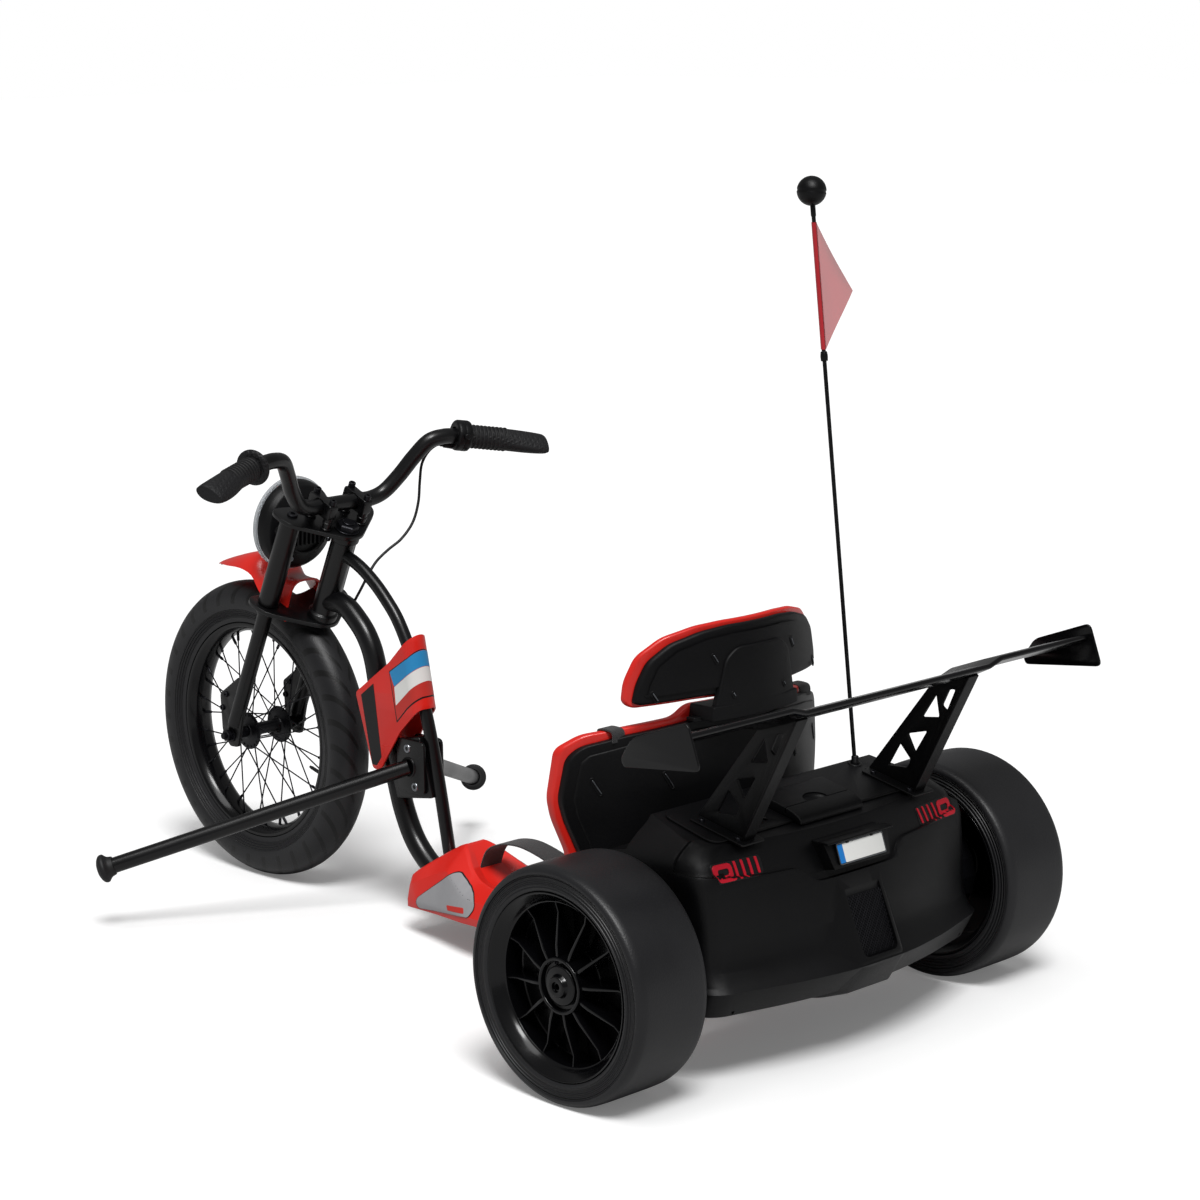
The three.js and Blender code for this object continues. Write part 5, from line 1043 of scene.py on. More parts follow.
def makeFrontAxle():
    a = frontAxle
    parts = [rodShape((0, -a["half"], 0), (0, a["half"], 0), a["radius"], 20, 0.8)]
    for out in (-1, 1):
        nut = tubeShape([(0, out * y, 0) for y in a["nut"]], a["nutRadii"], 6)
        washer, spacer = [
            rodShape((0, out * near, 0), (0, out * far, 0), radius, 28, chamfer)
            for near, far, radius, chamfer in (a["washer"], a["spacer"])
        ]
        parts += [washer, nut, spacer]
    piece = newObject("frontAxle", merged(*parts), "blackSteel", frontPlace)
    settle(piece, "steering", ("front_axle",))


makeFork()
makeFrontAxle()
print("fork made")


# handlebar, clamps, grips and throttle

handlebar = {
    "radius": 11.0,
    "half": [
        (26.4, 0, 397), (26.4, 30, 397), (26.4, 56, 397), (25.5, 77, 406), (24.8, 96, 428.8),
        (23.6, 113.6, 458.7), (21.2, 131, 483), (17.1, 152, 490.5), (14, 172, 490.5), (10, 190, 490.5),
        (-13.5, 248, 490.5), (-33, 296, 490.5),
    ],
}
barClamp = {
    "y": 31.0, "width": 14.0, "bolts": (8.5, 44.4), "column": 6.5, "seam": 386.0, "top": 409.0, "hole": 11.3,
    "head": 5.0, "headHeight": 7.0, "headHex": 2.6,
    # collars on the columns: from, to, how far they stand out
    "foot": 370.4, "collars": [(370.4, 373, 1.6), (379, 382, 0.9)],
}
gripStart = handlebar["half"][9]
gripSweep = math.radians(22)
palmGrip = {
    "length": 121.0, "radius": 16.0, "palm": 25.5,
    # along, palm reach, height: shares of the length, of the extra palm and of the radius
    "stations": [
        (0.0, 0, 1.0), (0.06, 0, 1.0), (0.28, 0.02, 0.96), (0.4, 0.15, 0.96), (0.52, 0.42, 0.95),
        (0.64, 0.74, 0.92), (0.76, 0.95, 0.87), (0.88, 1.0, 0.8), (0.96, 0.9, 0.72), (1.0, 0.7, 0.58),
    ],
    "ribs": 9, "ribPitch": 6.2, "leftRibs": 14.0, "rightRibs": 6.0,
    # radius, place along the grip and corner radius; a bead's places count from its middle
    "bead": [(15.2, -1.7, 0.2), (17.1, -1.1, 0.8), (17.1, 1.1, 0.8), (15.2, 1.7, 0.2)],
    "flangeEdge": [
        (11.4, 0, 0.2), (23, 0, 1.5), (25, 2.2, 1.5), (25, 4.8, 1.5), (22, 7, 2), (17, 8, 1), (11.4, 8, 0.2),
    ],
}
throttle = {
    # the case takes the place of the grip's first stretch, and its inner face starts further in
    "inner": 17.6, "grip": 23.0,
    "case": [
        (12, 0, 0.3), (19, 0, 2), (21.8, 2.4, 2), (22, 10, 1), (21.2, 10.6, 0.3), (21.2, 11.4, 0.3),
        (22, 12, 0.3), (22, 19, 2), (20, 22, 2), (12, 22, 0.3),
    ],
    "boot": [(0, -16, 17), (0, -12, 17), (0, -11, 17), (0, -4, 17), (0, 4, 17), (0, 12, 15)],
    "bootRadii": [3.2, 3.2, 4.4, 4.8, 5.4, 6.5],
    "lever": ((-17, 11, -8), (-25, 11, -12)), "leverRadius": 4.2,
    "screws": (0.9, 2.6), "screwCircle": 22.0, "screwAlong": 16.0,
}


def makeHandlebar():
    half = handlebar["half"]
    route = [(x, -y, z) for x, y, z in reversed(half[1:])] + half
    path = smoothPath(route, 8)
    piece = newObject("handlebar", tubeShape(path, handlebar["radius"], 28), "blackPaint", steerPlace)
    settle(piece, "steering", ("handlebar",), angle=50)
    c = barClamp
    for sideName, side in leftAndRight:
        y = side * c["y"]
        rear, front = c["bolts"]
        half = c["column"]
        hole = [circle2d(*handlebar["half"][0][::2], c["hole"], 32)]
        cap = roundRect(rear - half, front + half, c["seam"] - 0.4, c["top"], 6, 4)
        parts = [plateXZ(cap, c["width"], y, hole, 1.0)]
        for x in (rear, front):
            parts.append(rodShape((x, y, c["foot"]), (x, y, c["seam"] + 3), half, 28, 0.6))
            for low, high, out in c["collars"]:
                parts.append(rodShape((x, y, low), (x, y, high), half + out, 28, 0.5))
        name = "barClamp_" + sideName
        piece = newObject(name, merged(*parts), "blackPaint", steerPlace)
        head = socketScrewShape(c["head"], c["headHeight"], c["headHex"])
        heads = merged(*[moved(head, at(x, y, c["top"])) for x in (rear, front)])
        piece = joinedPieces(name, [piece, newObject("clampBolts", heads, "blackSteel", steerPlace)])
        settle(piece, "steering", ("bar_clamp_" + sideName,))


def gripShape(start, scale, flanged):
    g = palmGrip
    rings = []
    count = 40
    stations = smoothPath([(a, b, c) for a, b, c in g["stations"]], 3)
    for along, palm, height in stations:
        ring = []
        for k in range(count):
            angle = fullTurn * k / count
            back = max(0.0, -math.cos(angle)) ** 0.8
            reach = g["radius"] + (g["palm"] - g["radius"]) * palm * back
            far = start + g["length"] * along * scale
            ring.append((reach * math.cos(angle), far, g["radius"] * height * math.sin(angle)))
        rings.append(ring)
    parts = [loftShape(rings)]
    if flanged:
        parts.append(spunShape(roundCorners(g["flangeEdge"], 1, 3), 48))
    return merged(*parts)


def gripRibsShape(start, scale, first):
    # raised bands round the inner half of a grip, each a little tyre-shaped bead
    g = palmGrip
    parts = []
    for k in range(g["ribs"]):
        y = start + (first + k * g["ribPitch"]) * scale
        bead = [(radius, y + along, corner) for radius, along, corner in g["bead"]]
        parts.append(spunShape(roundCorners(bead, 0.6, 2), 36))
    return merged(*parts)


def makeGrips():
    place = steerPlace @ Matrix.Translation(gripStart) @ Matrix.Rotation(gripSweep, 4, "Z")
    left = newObject("palmGrip_left", gripShape(0, 1, True), "grip", place)
    ribs = newObject("gripRibs", gripRibsShape(0, 1, palmGrip["leftRibs"]), "capRubber", place)
    settle(joinedPieces("palmGrip_left", [left, ribs]), "steering", ("grip_left",), angle=60)
    t = throttle
    x, y, z = gripStart
    spot = at(x + t["inner"] * math.tan(gripSweep), t["inner"] - y, z)
    place = steerPlace @ spot @ Matrix.Rotation(-gripSweep, 4, "Z") @ Matrix.Rotation(math.pi, 4, "X")
    scale = (palmGrip["length"] + t["inner"] / math.cos(gripSweep) - t["grip"]) / palmGrip["length"]
    right = newObject("palmGrip_right", gripShape(t["grip"], scale, False), "grip", place)
    ribs = gripRibsShape(t["grip"], scale, palmGrip["rightRibs"])
    ribs = newObject("gripRibs", ribs, "capRubber", place)
    settle(joinedPieces("palmGrip_right", [right, ribs]), "throttle", ("throttle_grip",), angle=60)
    case = spunShape(roundCorners(t["case"], 1, 3), 48)
    boot = tubeShape(t["boot"], t["bootRadii"], 20)
    lever = rodShape(*t["lever"], t["leverRadius"], 20, 0.8)
    body = newObject("throttleCase", merged(case, boot, lever), "blackPlastic", place)
    screws = []
    for turn in t["screws"]:
        out = Vector((math.cos(turn), 0, math.sin(turn)))
        spot = facing(out * t["screwCircle"] + Vector((0, t["screwAlong"], 0)), out)
        screws.append(moved(socketScrewShape(2.4, 1.6, 1.2), spot))
    body = joinedPieces("throttleCase", [body, newObject("caseScrews", merged(*screws), "blackSteel", place)])
    settle(body, "steering", ("throttle_housing",), angle=40)


makeHandlebar()
makeGrips()
print("handlebar and grips made")


# headlight and front fender

headlight = {
    "back": 80.0, "z": 326.0, "lean": 5.0, "radius": 64.0, "depth": 28.0, "lensRadius": 67.0, "lensDepth": 9.0,
    "ribs": 9, "ribWide": 3.0, "ribDeep": 5.0, "screws": 4, "lugY": 47.0, "lug": (2.7, -12.0), "lugRadius": 6.0,
    # the bowl's back: shares of the radius and the depth
    "bowl": [(0, 0), (0.6, 0), (0.66, 0.04), (0.9, 0.3), (0.97, 0.55), (1, 0.8), (1, 1)],
}
fender = {
    "wall": 3.0,
    # along X, crown height, half width, how far the sides hang
    "stations": [
        (1097, 450, 6, 1), (1075, 459, 22, 4), (1040, 470, 36, 12), (1000, 480, 43, 20), (972, 479, 45, 26),
        (957, 464, 45, 30), (940, 454, 44, 36), (920, 451, 43, 46), (903, 451, 42, 56),
    ],
}


def makeHeadlight():
    h = headlight
    lean = math.radians(head["rakeDegrees"] - h["lean"])
    turn = Matrix.Rotation(lean, 4, "Y") @ Matrix.Rotation(-math.pi / 2, 4, "Z")
    place = steerPlace @ at(h["back"], 0, h["z"]) @ turn
    r, d = h["radius"], h["depth"]
    profile = [(r * out, d * deep) for out, deep in h["bowl"]]
    profile += [(r - 3, d), (r - 3, d * 0.75), (r * 0.8, d * 0.3), (0, d * 0.2)]
    pieces = [newObject("lampBowl", domeShape(profile, 2, 72), "blackPlastic", place)]
    rib = boxShape((h["ribWide"], h["ribDeep"], r * 0.8), (0, -1.5, 0))
    across = r * 0.96
    start = place @ at(-across / 2, 0, 0)
    step = (across / (h["ribs"] - 1), 0, 0)
    pieces.append(repeated("lampRibs", rib, "blackPlastic", h["ribs"], start, step=step, tree=inRow))
    inner, outer = r * 0.56, r * 0.62
    ring = roundCorners([(inner, -4.5, 0.6), (outer, -4.5, 0.6), (outer, 0.5, 0.4), (inner, 0.5, 0.4)], 0.6, 2)
    pieces.append(newObject("lampBackRing", spunShape(ring, 64), "blackPlastic", place))
    screw = moved(socketScrewShape(3.4, 3.5, 1.8), at(r * 0.78, 2.4, 0) @ flatOnY)
    pieces.append(repeated("lampScrews", screw, "steel", h["screws"], place, first=0.5))
    near, far = h["lug"]
    ends = [((side * h["lugY"], near, 0), (side * h["lugY"], far, 0)) for side in (1, -1)]
    lugs = merged(*[rodShape(one, two, h["lugRadius"], 20, 0.5) for one, two in ends])
    pieces.append(newObject("lampLugs", lugs, "blackPlastic", place))
    settle(joinedPieces("lampBowl", pieces), "steering", ("headlight_shell",), angle=35)
    big, deep = h["lensRadius"], h["lensDepth"]
    lens = [
        (0, d + 0.3), (big - 1, d + 0.3), (big, d + 1.2), (big, d + deep * 0.6), (big - 2, d + deep * 0.8),
        (r * 0.86, d + deep * 0.95), (r * 0.5, d + deep * 1.25), (0, d + deep * 1.4),
    ]
    lensPiece = newObject("lampLens", spunShape(lens, 72, closed=False), "lens", place)
    settle(lensPiece, "steering", ("headlight_lens",), angle=40)


def makeFender():
    rings = []
    for x, z, half, drop in fenderStations():
        ring = []
        for inset in (0.0, fender["wall"]):
            w = half - inset
            top = z - inset
            side = []
            for k in range(17):
                t = -1 + 2 * k / 16
                bend = abs(t) ** 3.2
                side.append((x, w * math.copysign(abs(t) ** 0.82, t), top - (drop - inset) * bend))
            ring += reversed(side) if inset else side
        rings.append(ring)
    piece = newObject("frontFender", loftShape(rings), "redPlastic")
    settle(piece, "steering", ("front_fender",), angle=40)


def fenderStations():
    path = smoothPath([(x, z, half) for x, z, half, drop in fender["stations"]], 3)
    drops = smoothPath([(drop, 0, 0) for x, z, half, drop in fender["stations"]], 3)
    return [(p.x, p.y, p.z, q.x) for p, q in zip(path, drops)]


makeHeadlight()
makeFender()
print("headlight and fender made")


# frame: two bent tubes from the head tube to the spine, a boxed gusset, foot pegs

frontFrame = {
    "main": [
        (859, 426), (822, 424), (793, 405), (772, 382), (758, 350), (744, 281), (717, 190), (703, 148),
        (682, 110), (652, 82), (618, 66), (589, 62), (569, 62), (536, 62),
    ],
    "mainRadius": 15.0,
    "upper": [
        (826, 496), (808, 492), (782, 481), (753, 462), (728, 440), (708, 418), (688, 385), (670, 345),
        (657, 305), (646, 268), (629, 196), (612, 109), (606, 80),
    ],
    "upperRadius": 9.0,
    "gusset": [(727, 246), (655, 264), (629, 181), (708, 168)], "gussetWidth": 26.0,
    "gussetBolts": [(674, 245), (660, 193)],
    "headTube": (225.3, 363.7), "headRadius": 17.0, "cupRadius": 21.0, "cupHeight": 9.0, "headBore": 13.2,
    "washer": 8.4, "washerHeight": 1.4, "bolt": 6.4, "boltHeight": 6.2, "boltHex": 3.2,
}
peg = {
    "root": (668, 13.3, 221), "tip": (938, 340, 91), "radius": 11.0, "plate": (56, 5, 74), "plateCorner": 9.0,
    "weldRadius": 13.0, "weldBead": 1.6, "capRadius": 20.0, "capLength": 12.0,
    # the cap from its crown to the tube: shares of its radius and its length
    "cap": [
        (0, 0.95), (0.45, 0.9), (0.75, 0.72), (0.95, 0.45), (1, 0.15), (0.97, -0.05), (0.86, -0.2),
        (0.72, -0.45), (0.64, -1),
    ],
}


def makeFrontFrame():
    f = frontFrame
    main = tubeShape(smoothPath([(x, 0, z) for x, z in f["main"]], 8), f["mainRadius"], 36)
    upper = tubeShape(smoothPath([(x, 0, z) for x, z in f["upper"]], 8), f["upperRadius"], 28)
    foot, top = f["headTube"]
    cup, bore = f["cupRadius"], f["headBore"]
    low, high = foot + f["cupHeight"], top - f["cupHeight"]
    tube = [
        (bore, foot, 0.3), (cup, foot, 1.2), (cup, low, 1.5), (f["headRadius"], low + 2, 1),
        (f["headRadius"], high - 2, 1), (cup, high, 1.5), (cup, top, 1.2), (bore, top, 0.3),
    ]
    tube = spunShape(roundCorners(tube, 1, 3), 48)
    headPiece = newObject("headTube", tube, "blackPaint", steerPlace @ flatOnY)
    web = plateXZ(roundCorners(f["gusset"], 6, 4), f["gussetWidth"], 0, (), 1.6)
    frameBody = newObject("frameTubes", merged(main, upper, web), "blackPaint")
    bolts = []
    for x, z in f["gussetBolts"]:
        for side in (1, -1):
            spot = facing((x, side * f["gussetWidth"] / 2, z), (0, side, 0))
            bolts.append(moved(rodShape((0, 0, 0), (0, 0, f["washerHeight"]), f["washer"], 28, 0.3), spot))
            bolts.append(moved(socketScrewShape(f["bolt"], f["boltHeight"], f["boltHex"]), spot))
    boltPiece = newObject("gussetBolts", merged(*bolts), "steel")
    whole = joinedPieces("frameTubes", [frameBody, headPiece, boltPiece])
    settle(whole, "chassis", ("main_frame",), angle=45)


def makePegs():
    p = peg
    for sideName, side in leftAndRight:
        root, tip = [Vector((x, side * y, z)) for x, y, z in (p["root"], p["tip"])]
        along = (tip - root).normalized()
        tube = rodShape(root + along * 6, tip - along * 0.3, p["radius"], 32)
        length, thickness, height = p["plate"]
        outline = roundRect(-length / 2, length / 2, -height / 2, height / 2, p["plateCorner"], 4)
        spot = at(root.x, side * (abs(root.y) + thickness / 2), root.z)
        plate = moved(plateXZ(outline, thickness, 0, (), 0.8), spot)
        angles = [fullTurn * k / 12 for k in range(13)]
        ring = [root + along * 7 + Vector((math.cos(a), 0, math.sin(a))) * p["weldRadius"] for a in angles]
        weld = tubeShape(smoothPath(ring, 2), p["weldBead"], 8)
        piece = newObject("pegTube_" + sideName, merged(tube, plate, weld), "blackPaint")
        settle(piece, "chassis", ("foot_peg_" + sideName,), angle=40)
        r, deep, neck = p["capRadius"], p["capLength"], p["radius"] + 0.8
        profile = [(r * out, deep * far) for out, far in p["cap"]] + [(neck, -deep), (neck, 0.3), (0, 0.3)]
        turn = trikePlace @ Matrix.Translation(tip) @ turnTo((0, 1, 0), along)
        cap = newObject("pegCap_" + sideName, domeShape(profile, 1.5, 48), "capRubber", turn)
        settle(cap, "chassis", ("peg_cap_" + sideName,), angle=50)


makeFrontFrame()
makePegs()
print("frame and pegs made")


# wrap panel: a folded guard round both tubes with a three-colour band

wrap = {
    "side": [
        (657.8, 410), (626, 400), (607, 300), (647.7, 304), (684, 267), (721.6, 208), (735.7, 208),
        (768, 312), (704.4, 361)
    ],
    "wall": 2.5, "rearRadius": 20.0, "frontHalf": 31.0, "tubeX": 664.0, "frontX": 790.0, "midZ": 305.0,
    "lean": 0.2, "spacer": (747.0, 300.0), "spacerRadius": 6.2,
    # printed bands: the film, how far it stands off the panel, its outline in X and Z
    "bands": [
        (
            "blackSticker", 0.14,
            [
                (703, 350), (669, 373), (657, 387), (640, 404), (600, 400), (600, 325), (648, 318.5),
                (669, 301), (689, 279.5)
            ]
        ),
        (
            "redSticker", 0.22,
            [
                (701.6, 349), (669, 371.4), (657, 385), (640, 402), (600, 398), (600, 327), (649, 320.5),
                (669.6, 303), (688, 283)
            ]
        ),
        (
            "blueSticker", 0.3,
            [
                (701.6, 349.2), (669, 371.6), (656, 385.5), (640, 402), (600, 402), (600, 372),
                (652, 363.5), (664, 352.5), (693, 329.8)
            ]
        ),
        (
            "whiteSticker", 0.3,
            [
                (692.8, 329.2), (664, 351.8), (652, 362.8), (600, 371), (600, 350), (649, 342.3),
                (665.5, 327.4), (690.2, 303.7)
            ]
        ),
        ("blackSticker", 0.2, [(757, 310), (733, 329), (719, 227), (728, 214), (737, 214)]),
    ],
}


def wrapHalf(x, z, inset):
    # half width of the folded guard at a place in X and Z
    w = wrap
    shifted = x - w["lean"] * (z - w["midZ"])
    if shifted < w["tubeX"]:
        reach = (w["rearRadius"] - inset) ** 2 - (shifted - w["tubeX"]) ** 2
        return math.sqrt(max(reach, 0.0))
    share = (shifted - w["tubeX"]) / (w["frontX"] - w["tubeX"])
    return w["rearRadius"] + (w["frontHalf"] - w["rearRadius"]) * share - inset


def wrapSkin(inset):
    w = wrap
    radius = w["rearRadius"] - inset
    rings = []
    for i in range(21):
        z = 190 + 12 * i
        shift = w["lean"] * (z - w["midZ"])
        plan = [(w["frontX"] + inset * 4, w["frontHalf"] - inset)]
        for k in range(33):
            angle = math.pi / 2 + math.pi * k / 32
            plan.append((w["tubeX"] + radius * math.cos(angle), radius * math.sin(angle)))
        plan.append((w["frontX"] + inset * 4, inset - w["frontHalf"]))
        rings.append([(x + shift, y, z) for x, y in plan])
    return loftShape(rings)


def makeWrap():
    w = wrap
    side = prism(roundCorners(w["side"], 6, 5), 90, "Y")
    shell = carved(wrapSkin(0.0), ("DIFFERENCE", wrapSkin(w["wall"])), ("INTERSECT", side))
    parts = [newObject("wrapPanel", softened(shell, 0.8, 40), "redPlastic")]
    x, z = w["spacer"]
    half = wrapHalf(x, z, 0)
    rod = rodShape((x, 1 - half, z), (x, half - 1, z), w["spacerRadius"], 24, 0.5)
    parts.append(newObject("spacerRod", rod, "steel"))
    for lookName, out, outline in w["bands"]:
        band = prism(roundCorners(outline, 1.2, 3), 90, "Y")
        film = carved(wrapSkin(-out), ("DIFFERENCE", wrapSkin(0.1)), ("INTERSECT", band))
        parts.append(newObject("band", film, lookName))
    settle(joinedPieces("wrapPanel", parts), "chassis", ("wrap_panel",), angle=38)


# nose cover: a red shell with a dished crown, over the joint of the tubes and the spine

nose = {
    "back": 400.0, "length": 234.0, "halfWidth": 100.0, "height": 128.0, "foot": 38.0, "rise": 18.0,
    "wall": 3.0, "dip": 22.0,
    # shares: along, top, half width at foot and crown, dip
    "stations": [
        (1, 0.33, 0.57, 0.4, 0), (0.97, 0.39, 0.61, 0.46, 0), (0.72, 0.7, 0.7, 0.2, 0),
        (0.64, 0.7, 0.74, 0.24, 0.1), (0.52, 0.55, 0.8, 0.4, 0.4), (0.4, 0.45, 0.86, 0.48, 0.4),
        (0.17, 0.43, 0.93, 0.6, 0.2), (0, 0.42, 1, 0.7, 0),
    ],
    "sticker": [(610, 55), (543, 103), (533, 105), (476, 78), (472, 71), (477, 60), (603, 42.5), (610, 47)],
    "mark": [(535, 63), (495, 68.6), (489.6, 62.5), (529.4, 57.5)],
}


def noseHalf(station, inset, below):
    along, topShare, footShare, crownShare, dipShare = station
    n = nose
    x = n["back"] + n["length"] * along
    top = n["foot"] + n["height"] * topShare - inset
    low = n["foot"] + n["rise"] * (1 - along) - below
    foot = n["halfWidth"] * footShare - inset
    crown = n["halfWidth"] * crownShare - inset
    mid = ((foot * 2 + crown) / 3, (low + below) * 0.35 + top * 0.65)
    half = [
        (foot, low), (foot, low + below + n["height"] * 0.08), mid, (crown + n["wall"], top - n["wall"]),
        (crown - n["wall"], top), (crown * 0.55, top - n["dip"] * dipShare),
    ]
    return [(x, y, z) for y, z in half]


def noseStations():
    # stations in between, with smooth crown and width lines
    rows = nose["stations"]
    tops = smoothPath([(a, b, c) for a, b, c, d, e in rows], 3)
    rest = smoothPath([(a, d, e) for a, b, c, d, e in rows], 3)
    return [(p.x, p.y, p.z, q.y, max(0.0, q.z)) for p, q in zip(tops, rest)]


def makeNose():
    skins = []
    for inset, below in ((0.0, 0.0), (nose["wall"], 6.0)):
        rings = []
        rows = noseStations()
        for i, row in enumerate(rows):
            half = noseHalf(row, inset, below)
            if i == 0:
                half = [(x - inset, y, z) for x, y, z in half]
            if i == len(rows) - 1:
                half = [(x - inset * 2, y, z) for x, y, z in half]
            rings.append(mirrored(half))
        skins.append(loftShape(rings))
    outer = softened(skins[0], 5.0, 16, 4)
    shell = carved(outer, ("DIFFERENCE", skins[1]))
    parts = [newObject("noseCover", shell, "redPlastic")]
    outline = nose["sticker"]
    middle = Vector([sum(places) / len(outline) for places in zip(*outline)])
    inner = []
    for x, z in outline:
        away = Vector((x, z)) - middle
        inner.append(tuple(middle + away * (1 - 1.4 / away.length)))
    layers = (
        ("blackSticker", 0.7, outline, 5), ("paleSticker", 1.0, inner, 4),
        ("redSticker", 1.3, nose["mark"], 2)
    )
    for lookName, lift, shape2d, corner in layers:
        for side in (1, -1):
            flat = gridded(plateXZ(roundCorners(shape2d, corner, 3), 0.3, 0, (), 0.05), (0, 2), 2.5)
            parts.append(newObject("noseSticker", laidOn(flat, shell, (0, -side, 0), lift), lookName))
    settle(joinedPieces("noseCover", parts), "chassis", ("nose_cover",), angle=30)


makeWrap()
makeNose()
print("wrap and nose made")


# seat: pan, bowed back of a red shell and a black cover, headrest made alike, belts

seatBack = {
    "halfWidth": 234.0, "foot": 0.0, "top": 410.0, "rear": 60.0, "cover": 12.0, "shell": 12.0, "bow": 312.0,
    "shellOutline": [
        (0.32, 1), (0.4, 0.966), (0.62, 0.954), (0.855, 0.937), (0.966, 0.898), (1, 0.751), (0.985, 0.69),
        (0.925, 0.58), (0.915, 0.47), (0.76, 0.43), (0.641, 0.3), (0.6, 0.242)
    ],
    "coverOutline": [
        (0.312, 0.956), (0.684, 0.931), (0.885, 0.906), (0.945, 0.873), (0.98, 0.751), (0.96, 0.69),
        (0.895, 0.578), (0.87, 0.56), (0.748, 0.545), (0.6, 0.535)
    ],
}
headrest = {
    "halfWidth": 167.0, "foot": 402.0, "top": 514.0, "rear": 34.0, "cover": 12.0, "shell": 8.0, "bow": 250.0,
    "shellOutline": [
        (0.28, 1), (0.5, 0.975), (0.74, 0.88), (0.91, 0.69), (0.985, 0.42), (1, 0.2), (0.95, 0.13),
        (0.54, 0.17)
    ],
    "coverOutline": [
        (0.28, 0.96), (0.49, 0.925), (0.72, 0.82), (0.87, 0.64), (0.94, 0.4), (0.965, 0.2), (0.93, 0.17),
        (0.53, 0.21)
    ],
    "neckPanel": [(0.233, 0.718), (0.333, 0.598), (0.43, 0.02)], "neckOut": 3.0,
    "column": [(75, 412), (77, 394), (-77, 394), (-75, 412)],
    "ledge": [(86, 397.5), (86, 392), (-86, 392), (-86, 397.5)],
}
seatCorner = 9.0
seatScrews = {
    "head": [(69, 471), (-69, 471), (142, 431), (-142, 431)], "neck": [(45, 424), (-45, 424)],
    "back": [(113, 322), (-113, 322), (196, 322), (-196, 322)],
}


def bothSides(shares, part):
    # half an outline, in shares of the half width and the height, with its mirror image
    height = part["top"] - part["foot"]
    half = [(y * part["halfWidth"], part["foot"] + z * height) for y, z in shares]
    return half + [(-y, z) for y, z in reversed(half)]


def insetOutline(outline, reach):
    # moves each point of a closed outline inwards by a distance
    done = []
    count = len(outline)
    area = sum(a[0] * b[1] - b[0] * a[1] for a, b in zip(outline, outline[1:] + outline[:1]))
    turn = 1 if area > 0 else -1
    for i in range(count):
        here = Vector(outline[i])
        back = (here - Vector(outline[i - 1])).normalized()
        on = (Vector(outline[(i + 1) % count]) - here).normalized()
        normal = Vector((-(back.y + on.y), back.x + on.x))
        if normal.length < 1e-6:
            done.append(tuple(here))
            continue
        normal = normal.normalized() * turn
        share = max(0.45, abs(normal.dot(Vector((-on.y, on.x)))))
        done.append(tuple(here + normal * reach / share))
    return done


def bowed(shape, rear, bow, depth=0.0):
    # a flat slab whose rear face is at X = 0, bent backwards in plan and set at its place
    piece = newObject("slab", shape, "blackPlastic", asMade)
    cutMesh(piece, 1, [-240 + 10 * i for i in range(49)])
    verts, faces = meshShape(piece)
    return [Vector((v.x + rear + depth + v.y * v.y / (2 * bow), v.y, v.z)) for v in verts], faces


def slabShape(outline, thickness, corner, bevel, steps):
    shape = plateShape(roundCorners(outline, corner, 5), thickness, (), bevel, steps)
    return moved(shape, at(thickness / 2, 0, 0) @ flatOnX)


def seatSlots(spots, rear, bow, length=17.0):
    # slanted moulded slots, each a sunk dark oval with the bright edge of its screw inside
    ovals = []
    blades = []
    for y, z in spots:
        normal = Vector((-1, y / bow, 0)).normalized()
        place = at(rear + y * y / (2 * bow), y, z) @ turnTo((-1, 0, 0), normal)
        turn = place @ Matrix.Rotation(-0.55, 4, "X")
        half = length / 2
        oval = roundRect(-3.4, 3.4, -half, half, 3.3, 5)
        hole = roundRect(-1.9, 1.9, 1.8 - half, half - 1.8, 1.8, 4)
        ovals.append(moved(plateShape(oval, 1.6, [hole], 0.6, 2), turn @ flatOnX))
        blade = rodShape((-0.3, -1.2, 2.6 - half), (-0.3, -0.9, half - 3.4), 0.75, 10, 0.2)
        blades.append(moved(blade, turn))
    return ovals, blades


def makeSeatBack():
    s = seatBack
    rear, bow = s["rear"], s["bow"]
    shell = slabShape(bothSides(s["shellOutline"], s), s["shell"], seatCorner, 3.0, 4)
    shell = bowed(shell, rear + s["cover"] + 0.3, bow)
    settle(newObject("backShell", shell, "redPlastic"), "chassis", ("back_shell",), angle=34)
    outline = bothSides(s["coverOutline"], s)
    body = bowed(slabShape(outline, s["cover"] - 2.5, seatCorner, 1.6, 4), rear, bow, 2.5)
    panel = bowed(slabShape(insetOutline(outline, 11), 4.5, seatCorner - 6, 1.6, 3), rear, bow)
    pieces = [newObject("backCover", merged(body, panel), "seatPlastic")]
    bosses, screws = seatSlots(seatScrews["back"], rear, bow, 27.0)
    pieces.append(newObject("bosses", merged(*bosses), "seatPlastic"))
    pieces.append(newObject("screws", merged(*screws), "steel"))
    settle(joinedPieces("backCover", pieces), "chassis", ("back_cover",), angle=34)


